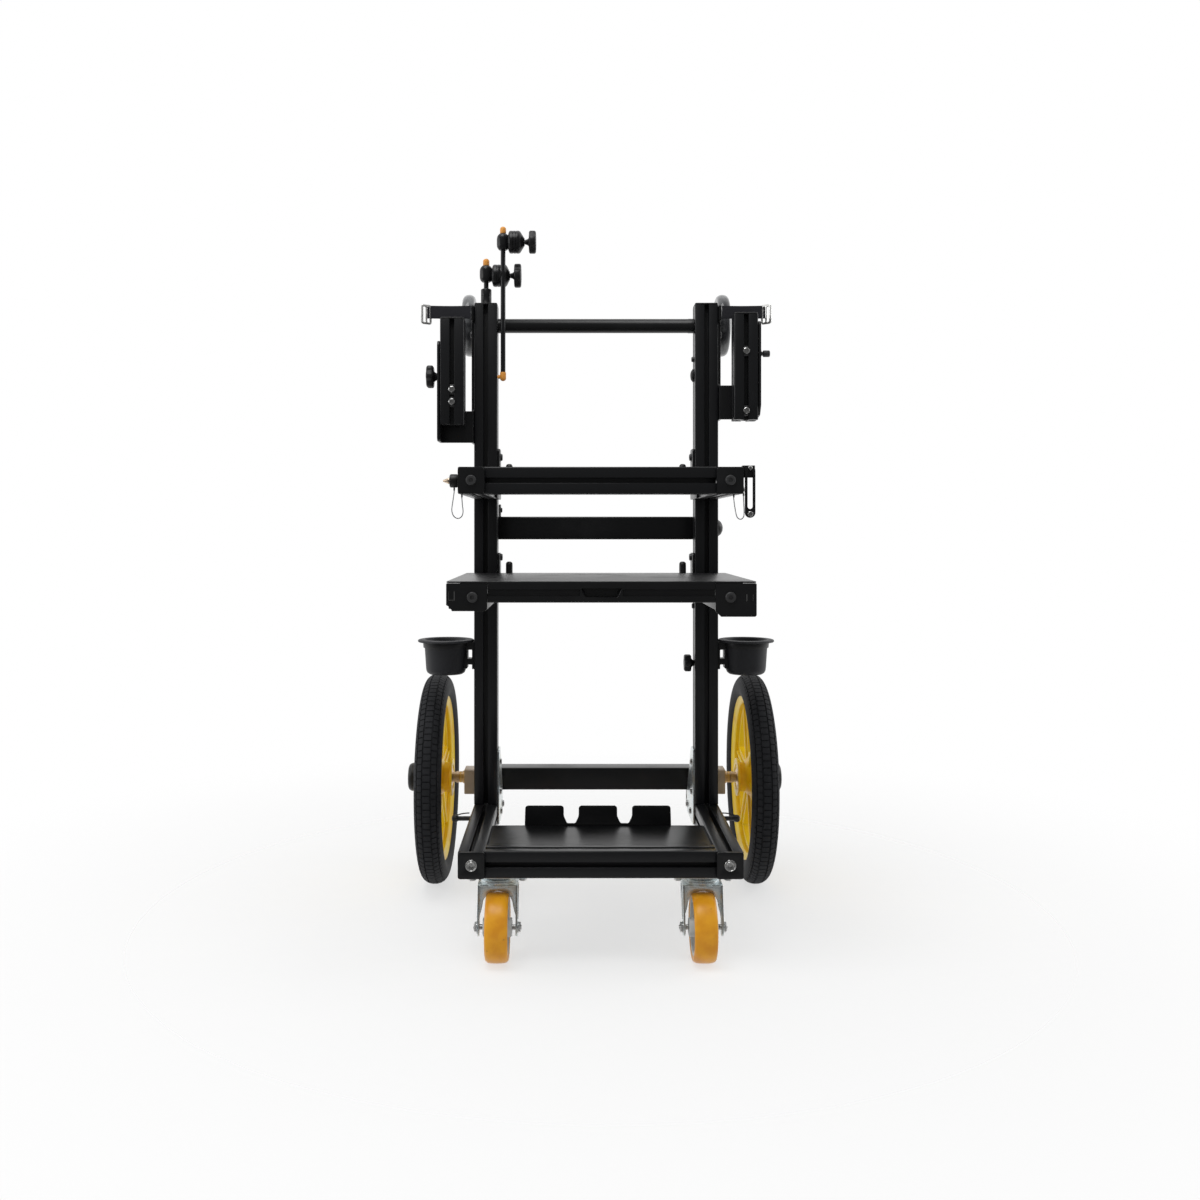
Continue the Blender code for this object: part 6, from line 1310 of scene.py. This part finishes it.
# The slotted outline carried up by the length, a cap on it, and turned screws over slot nuts
def makeWings():
    for side, hand in hands:
        own, body = wing[hand], "wing_" + hand
        low, across = own["foot"], (own["across"], wing["back"])
        bar = Piece("wingRail_" + hand, body, "black_anodised", "railZ", stands=["wing_" + hand])
        bar.add(rail("z", low, low + wing["length"], across))
        bar.make()
        cap = Piece("wingCap_" + hand, body, "black_plastic", "moulded", stands=["wing_" + hand])
        cap.add(square("z", low + wing["length"], low + wing["cappedLength"], across, edge=0.0012))
        cap.make()
        screws = Piece("wingScrews_" + hand, body, "zinc", "steel", stands=["wing_" + hand])
        nuts = Piece("wingNuts_" + hand, body, "zinc", "dull", stands=["wing_" + hand])
        x = own["across"]
        for z in own["screws"]:
            screws.add(screw((x, 0.2502, z), (0, -1, 0), 0.0055, 0.0037, 36))
            nuts.add(box((x - 0.0037, 0.2512, z - 0.0085), (x + 0.0037, 0.2560, z + 0.0085), 0.0008))
        screws.make()
        nuts.make()
    seat = (-0.2676, wing["back"], wing["knobHeight"])
    knobPiece("wingKnob", "wing_knob", seat, (-1, 0, 0), 0.0200, 0.0056, 0.0070, 0.0196)


# Side plates: one bent sheet beside each upright, for wing, strap and roller
sidePlate = {"left": {"arm": (0.789, 0.843), "flange": -0.2638, "flangeTop": 0.958},
             "right": {"arm": (0.829, 0.887), "flange": 0.2712, "flangeTop": 0.991},
             "wall": 0.2103, "face": 0.2143, "earRadius": 0.018}
roller = {"left": -0.2256, "right": 0.2280, "axis": (0.405, 1.008)}


# Flat outlines with rounded corners carried through the sheet: the wall with the roller's round ear, the arm
# that goes outwards and the flange that holds the wing; screws and studs are turned about x
def makeSidePlates():
    rollerBack, rollerHeight = roller["axis"]
    for side, hand in hands:
        armLow, armHigh = sidePlate[hand]["arm"]
        wall, face = side * sidePlate["wall"], side * sidePlate["face"]
        hub = circle(rollerBack, rollerHeight, sidePlate["earRadius"], 64)
        outline = np.concatenate([[(0.342, armLow + 0.0003), (0.342, 0.955)], hub[44:], hub[:22],
                                  [(0.2953, 1.026), (0.2953, 0.9985), (0.306, 0.9985),
                                   (0.306, armHigh - 0.0003),
                                   (0.2906, armHigh - 0.0003), (0.2906, armLow + 0.0003)]])
        radii = np.concatenate([[0.004, 0.012], np.zeros(42), [0.003, 0.002, 0.004, 0.006, 0.0, 0.0]])
        plate = Piece("sidePlate_" + hand, "frame", "black_paint", "paint", stands=["side_plate_" + hand])
        plate.add(extruded(fillet(outline, radii, 5), wall, face, "x", edge=0.0006))
        flange, top = sidePlate[hand]["flange"], sidePlate[hand]["flangeTop"]
        left, right = sorted((wall, flange + side * 0.0036))
        plate.add(extruded(rectangle((left, armLow), (right, armHigh), 0.003, 5), 0.2903, 0.2943, "y",
                           edge=0.0008, steps=3))
        if side < 0:
            leaf = [(0.2500, armLow), (0.2943, armLow), (0.2943, top), (0.2500, top)]
            radii = (0.008, 0.0, 0.003, 0.010)
        else:
            leaf = [(0.2620, armLow + 0.004), (0.2943, armLow), (0.2943, top), (0.2500, top),
                    (0.2500, armLow + 0.020)]
            radii = (0.004, 0.0, 0.003, 0.008, 0.006)
        plate.add(extruded(fillet(leaf, radii, 6), flange, flange + side * 0.004, "x", edge=0.0007))
        plate.make()
        screws = Piece("sideScrews_" + hand, "frame", "zinc", "steel", "dull", stands=["side_plate_" + hand])
        for z in (armLow + 0.012, armHigh - 0.012, 0.9785, 1.014):
            screws.add(screw((face, upright["back"], z), (side, 0, 0)), 1)
        axle = (wall, rollerBack, rollerHeight)
        screws.add(turned([(0.0, 0.0303), (0.0040, 0.0303), (0.0062, 0.0300, 1.0), (0.0066, 0.0292, 1.0),
                           (0.0066, 0.0250, 1.0), (0.0080, 0.0248), (0.0080, 0.0243), (0.0050, 0.0243),
                           (0.0050, 0.0052), (0.0090, 0.0048), (0.0090, 0.0038), (0.0, 0.0036)],
                          axle, (side, 0, 0), 48), 0)
        screws.add(turned([(0.0, 0.0055), (0.0030, 0.0055), (0.0042, 0.0050), (0.0062, 0.0046, 1.0),
                           (0.0068, 0.0038, 1.0),
                           (0.0068, 0.0, 1.0), (0.0, 0.0)], axle, (-side, 0, 0), 36), 0)
        if side > 0:
            seat = (0.2750, wing["back"], 0.938)
            screws.add(turned([(0.0, 0.0176), (0.0042, 0.0176), (0.0052, 0.0170),
                               (0.0056, 0.0160), (0.0056, 0.0070),
                               (0.0050, 0.0062), (0.0034, 0.0058), (0.0034, 0.0034), (0.0060, 0.0030, 1.0),
                               (0.0062, 0.0024, 1.0), (0.0062, 0.0, 1.0), (0.0, 0.0)], seat, (1, 0, 0), 60,
                              lambda t, d, r: r * (1 - 0.05 * (np.cos(20 * t) > 0.1)
                                                   * (d > 0.0068) * (d < 0.0162))), 1)
        screws.make()
    small = Piece("uprightStops", "frame", "black_anodised", "dull", "moulded")
    small.add(screw((0.170, 0.324, 0.936), (-1, 0, 0), 0.0046, 0.0042), 0)
    small.add(capNut((0.170, 0.324, 0.908), (-1, 0, 0), 0.0112, 0.0062), 1)
    small.add(screw((0.170, 0.324, 0.5085), (-1, 0, 0), 0.0046, 0.0036), 0)
    small.make()


# Rollers: a smoky disc turned about x, with a rounded rim and a sunk web round its hub
def makeRollers():
    for side, hand in hands:
        half = [(0.0550, 0.0), (0.0548, 0.0026), (0.0541, 0.0052), (0.0528, 0.0076),
                (0.0508, 0.0096), (0.0484, 0.0106),
                (0.0430, 0.0110), (0.0418, 0.0102), (0.0400, 0.0070), (0.0180, 0.0064), (0.0160, 0.0080),
                (0.0150, 0.0104), (0.0120, 0.0108), (0.0053, 0.0108)]
        profile = half[::-1] + [(r, -d) for r, d in half[1:]]
        disc = Piece("rollerDisc_" + hand, "roller_" + hand, "clear_roller", "smoky",
                     stands=["roller_" + hand])
        disc.add(turned(profile, (roller[hand], *roller["axis"]), (side, 0, 0), 96))
        disc.make()


# Straps: a flat woven band on edge, slightly bowed, sewn round a two-slot steel buckle
strap = {"start": 0.2148, "end": 0.2905, "low": 1.0015, "width": 0.022, "back": 0.2921, "thick": 0.0022,
         "buckleStart": 0.2812, "buckleEnd": 0.3020, "buckleLow": 0.9905, "buckleHigh": 1.0245,
         "slots": (0.2876, 0.2956), "pin": 0.2838, "turn": {"left": 38.0, "right": -44.0}}


# The band's section is a flat rounded loop; it goes along x and bows in y by a sine wave
def strapBand(side):
    s = strap
    half, thick = s["width"] / 2, s["thick"] / 2
    section = fillet([(-thick, -half), (thick, -half), (thick, half), (-thick, half)], thick * 0.9, 3)
    section = np.concatenate([np.linspace(a, b, 5, endpoint=False) for a, b in
                              zip(section, np.roll(section, -1, 0))])
    rows = 36
    t = np.linspace(0, 1, rows)
    x = s["start"] + (s["end"] - s["start"]) * t
    bow = 0.0004 * np.sin(2 * np.pi * t)
    sag = -0.0006 * np.sin(np.pi * t)
    points = np.stack([side * np.broadcast_to(x[:, None], (rows, len(section))),
                       s["back"] + bow[:, None] + section[None, :, 0],
                       s["low"] + half + sag[:, None] + section[None, :, 1]], -1)
    n = len(section)
    own = gridMap(rows, n, False, True)
    own[..., 0] *= (s["end"] - s["start"]) * 1000 / (rows - 1)
    own[..., 1] = np.interp(own[..., 1], np.arange(n + 1),
                            np.concatenate([section[:, 1], section[:1, 1]]) * 1000)
    points = np.concatenate([points.reshape(-1, 3), points[0].mean(0)[None], points[-1].mean(0)[None]])
    count = rows * n
    faces = [gridFaces(rows, n, False, True), fanFaces(count, 0, n), fanFaces(count + 1, count - n, n, True)]
    return (points, faces), own


# The buckle is a rounded plate with two slots that hangs turned about the strap's end
def makeStraps():
    for side, hand in hands:
        buckle = Piece("strapBuckle_" + hand, "frame", "zinc", "pale", stands=["strap_" + hand])
        left, right = sorted((side * strap["buckleStart"], side * strap["buckleEnd"]))
        ring = rectangle((left, strap["buckleLow"]), (right, strap["buckleHigh"]), 0.0046, 6)
        slots = [rectangle((side * a - 0.0022, 0.9946), (side * a + 0.0022, 1.0204), 0.0014, 4)
                 for a in strap["slots"]]
        points, faces = extruded(ring, 0.2908, 0.2936, "y", slots, 0.0011, 3)
        angle = math.radians(strap["turn"][hand])
        pin = np.array((side * strap["pin"], strap["back"]))
        away = points[:, :2] - pin
        spin = np.array([[math.cos(angle), -math.sin(angle)], [math.sin(angle), math.cos(angle)]])
        points = np.concatenate([pin + away @ spin.T, points[:, 2:]], 1)
        buckle.add((points, faces))
        buckle.make()
        band = Piece("strapBand_" + hand, "frame", "webbing", "webbing", stands=["strap_" + hand])
        solid, own = strapBand(side)
        band.add(solid, ownMap=own)
        band = band.make(sharp=60.0)


# Microphone arm: its two upright lines as (across, back), and the heights of its heads
arm = {"spigot": (-0.190, 0.318), "rod": (-0.160, 0.303), "lower": 1.080, "upper": 1.1345}


# Profiles turned about z (spigot, barrel collars, rod, orange tips) and about x (grooved clamping discs)
def makeArm():
    spigotLine, rodLine = (*arm["spigot"], 0.0), (*arm["rod"], 0.0)
    spigot = Piece("armBase", "frame", "black_anodised", "paint", "steel", stands=["upright_left"])
    spigot.add(turned([(0.0, 1.0972), (0.00415, 1.0972), (0.00415, 1.0580),
                       (0.0052, 1.0578), (0.0066, 1.0570),
                      (0.0086, 1.0562), (0.0092, 1.0550), (0.0092, 1.0450),
                      (0.0087, 1.0444), (0.0092, 1.0438),
                      (0.0092, 1.0316), (0.0096, 1.0310), (0.0, 1.0306)], spigotLine, (0, 0, 1), 56), 0)
    spigot.make()
    tip = Piece("armBaseTip", "frame", "black_plastic", "tip", stands=["upright_left"])
    tip.add(turned(domeTip(0.0055, 0.0125), (*arm["spigot"], 1.097), (0, 0, 1), 40))
    tip.make()
    head = Piece("armLowerHead", "arm_lower", "black_paint", "paint", stands=["arm_lower_head"])
    head.add(turned(barrel(0.0112, 1.069, 1.0965), spigotLine, (0, 0, 1), 56))
    head.add(turned([(0.0, 0.0), (0.0090, 0.0), (0.0120, 0.0020), (0.0172, 0.0036), (0.0186, 0.0048),
                     (0.0190, 0.0064), (0.0190, 0.0102), (0.0182, 0.0106), (0.0182, 0.0112), (0.0190, 0.0116),
                     (0.0190, 0.0152), (0.0186, 0.0158), (0.0, 0.0158)],
                    (-0.1818, arm["spigot"][1], arm["lower"]), (1, 0, 0), 72))
    head.make()
    jaw = Piece("armRodJaw", "arm_rod", "black_paint", "paint", stands=["arm_rod"])
    jaw.add(turned([(0.0, 0.0), (0.0184, 0.0), (0.0190, 0.0008), (0.0190, 0.0040),
                    (0.0182, 0.0044), (0.0182, 0.0050),
                    (0.0190, 0.0054), (0.0188, 0.0094), (0.0168, 0.0116), (0.0110, 0.0146), (0.0082, 0.0160),
                    (0.0070, 0.0167), (0.0, 0.0167)],
                   (-0.1657, arm["spigot"][1], arm["lower"]), (1, 0, 0), 72))
    jaw.make()
    rod = Piece("armRod", "arm_rod", "black_paint", "railZ", stands=["arm_rod"])
    rod.add(turned([(0.0, 1.1495), (0.00415, 1.1495), (0.00415, 0.9108), (0.0, 0.9108)],
                   rodLine, (0, 0, 1), 40))
    rod.make()
    tips = Piece("armRodTips", "arm_rod", "black_plastic", "tip", stands=["arm_rod"])
    tips.add(turned(domeTip(0.0052, 0.0120), (*arm["rod"], 1.1492), (0, 0, 1), 40))
    tips.add(turned(domeTip(0.0052, 0.0152), (*arm["rod"], 0.9110), (0, 0, -1), 40))
    tips.add(turned(domeTip(0.0032, 0.0060), (-0.1642, 0.3045, 0.9040), (-1, 0, -0.3), 28))
    tips.make()
    upper = Piece("armUpperHead", "arm_upper", "black_paint", "paint", stands=["arm_upper_head"])
    upper.add(turned(barrel(0.0108, 1.121, 1.148), rodLine, (0, 0, 1), 56))
    upper.add(turned([(0.0, 0.0), (0.0086, 0.0), (0.0120, 0.0018), (0.0172, 0.0034),
                      (0.0188, 0.0048), (0.0192, 0.0064),
                      (0.0192, 0.0098), (0.0184, 0.0102), (0.0184, 0.0108),
                      (0.0192, 0.0112), (0.0192, 0.0148),
                      (0.0184, 0.0152), (0.0184, 0.0158), (0.0192, 0.0162),
                      (0.0192, 0.0206), (0.0176, 0.0230),
                      (0.0115, 0.0268), (0.0080, 0.0290), (0.0066, 0.0302), (0.0, 0.0302)],
                     (-0.1532, arm["rod"][1], arm["upper"]), (1, 0, 0), 72))
    upper.make()
    lowerSeat = (-0.1487, arm["spigot"][1], arm["lower"])
    upperSeat = (-0.1227, arm["rod"][1], arm["upper"])
    knobPiece("armLowerKnob", "arm_lower_knob", lowerSeat, (1, 0, 0), 0.0205, 0.0040, 0.0065, 0.0195, 4)
    knobPiece("armUpperKnob", "arm_upper_knob", upperSeat, (1, 0, 0), 0.0195, 0.0040, 0.0065, 0.0195, 4)


# A soft tip: a short sleeve that ends in a quarter-round dome
def domeTip(radius, length):
    turn = np.linspace(0, np.pi / 2, 8)
    dome = [(radius * math.sin(a), length - radius * 0.9 * (1 - math.cos(a))) for a in turn]
    return [*dome, (radius, 0.0008), (radius * 0.9, 0.0), (0.0, 0.0)]


# A barrel ring on a neck: its radius is a flattened circle between its two ends
def barrel(radius, low, high):
    share = np.linspace(-1, 1, 17)
    middle, half = (low + high) / 2, (high - low) / 2
    reach = radius * (1 - 0.36 * np.abs(share) ** 4.0)
    ring = [(r, middle + half * t) for r, t in zip(reach[::-1], share[::-1])]
    return [(0.00445, high), *ring, (0.00445, low)]


makeTray()
for side, hand in hands:
    makeCaster(side, hand)
note("tray and casters built")
makeUpperFrame()
note("upper frame built")
makeMidShelf()
note("mid shelf built")
makeCups()
makeWings()
makeSidePlates()
makeRollers()
makeStraps()
note("cups, wings, straps and rollers built")
makeArm()
note("arm built")


# Floor, sky and lamps
studio = {"floorReach": 2.6, "floorColor": (0.90, 0.90, 0.90), "floorClear": 0.62,
          "skyFill": 0.62, "frontGloss": 0.10,
          "backGloss": 1.0, "topLamp": 26.0, "sideLamp": 9.0}


# A round pale floor whose rim fades out, so that no horizon shows
def makeFloor():
    ring = np.array([0.0, 0.6, 1.2, 1.9, studio["floorReach"]])
    turn = np.linspace(0, 2 * np.pi, 96, endpoint=False)
    points = np.stack([ring[1:, None] * np.cos(turn), ring[1:, None] * np.sin(turn),
                       0 * ring[1:, None] * turn - 0.0002], -1).reshape(-1, 3)
    points = np.concatenate([points, [(0.0, 0.0, -0.0002)]])
    quads = gridFaces(4, 96, False, True).tolist()
    fan = fanFaces(len(points) - 1, 0, 96).tolist()
    mesh = bpy.data.meshes.new("studioFloor")
    mesh.from_pydata(points.tolist(), [], quads + fan)
    s = Finish("paleFloor", Specular_IOR_Level=0.1)
    x, y, _ = s.split(s.point())
    away = ((x * x + y * y).math("SQRT")).between(0.35,
                                                  1.5) * (1 - studio["floorClear"]) + studio["floorClear"]
    grain = s.noise(30.0, 3.0)
    clear = s.node("ShaderNodeBsdfTransparent")
    s.done(**{"Base Color": s.blend(grain * 0.3, studio["floorColor"], (0.86, 0.86, 0.86)), "Roughness": 0.9})
    mix = s.node("ShaderNodeMixShader", None, {0: away})
    s.tree.links.new(s.surface.outputs[0], mix.socket.node.inputs[1])
    s.tree.links.new(clear.socket, mix.socket.node.inputs[2])
    s.tree.links.new(mix.socket, s.tree.nodes["Material Output"].inputs[0])
    mesh.materials.append(s.material)
    floor = bpy.data.objects.new("studioFloor", mesh)
    scene.collection.objects.link(floor)


# The sky is white to the eye and in reflections of what lies behind the cart, and dim behind the camera
def makeSky():
    world = bpy.data.worlds.new("studioSky")
    world.use_nodes = True
    scene.world = world
    s = Shader(world.node_tree)
    ray = s.node("ShaderNodeLightPath").socket.node.outputs
    seen = Value(s, ray["Is Camera Ray"])
    mirrored = Value(s, ray["Is Glossy Ray"])
    through = Value(s, ray["Is Transmission Ray"])
    x, y, z = s.split(s.node("ShaderNodeTexCoord", output="Generated"))
    behind = y.between(-0.45, 0.15)
    gloss = behind * (studio["backGloss"] - studio["frontGloss"]) + studio["frontGloss"]
    strength = (seen + through * (1 - seen) + mirrored * gloss
                + (1 - seen) * (1 - mirrored) * (1 - through) * studio["skyFill"])
    ground = world.node_tree.nodes["Background"]
    s.fill(ground, {"Color": (1.0, 1.0, 1.0), "Strength": strength})


# A round area lamp at a place, turned towards its aim
def makeLamp(name, place, aim, size, power):
    data = bpy.data.lights.new(name, "AREA")
    data.shape = "DISK"
    data.size = size
    data.energy = power
    lamp = bpy.data.objects.new(name, data)
    lamp.location = place
    lamp.rotation_euler = (Vector(aim) - Vector(place)).to_track_quat("-Z", "Y").to_euler()
    scene.collection.objects.link(lamp)


makeFloor()
makeSky()
makeLamp("topLamp", (-0.5, -0.9, 2.9), (0, 0, 0.5), 1.6, studio["topLamp"])
makeLamp("sideLamp", (-2.2, -0.6, 1.2), (0, 0, 0.6), 1.2, studio["sideLamp"])
makeLamp("otherLamp", (2.2, 0.4, 1.4), (0, 0, 0.6), 1.2, studio["sideLamp"])
scene.view_settings.view_transform = "Standard"
note("studio lit")

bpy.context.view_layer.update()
note("sizes written")
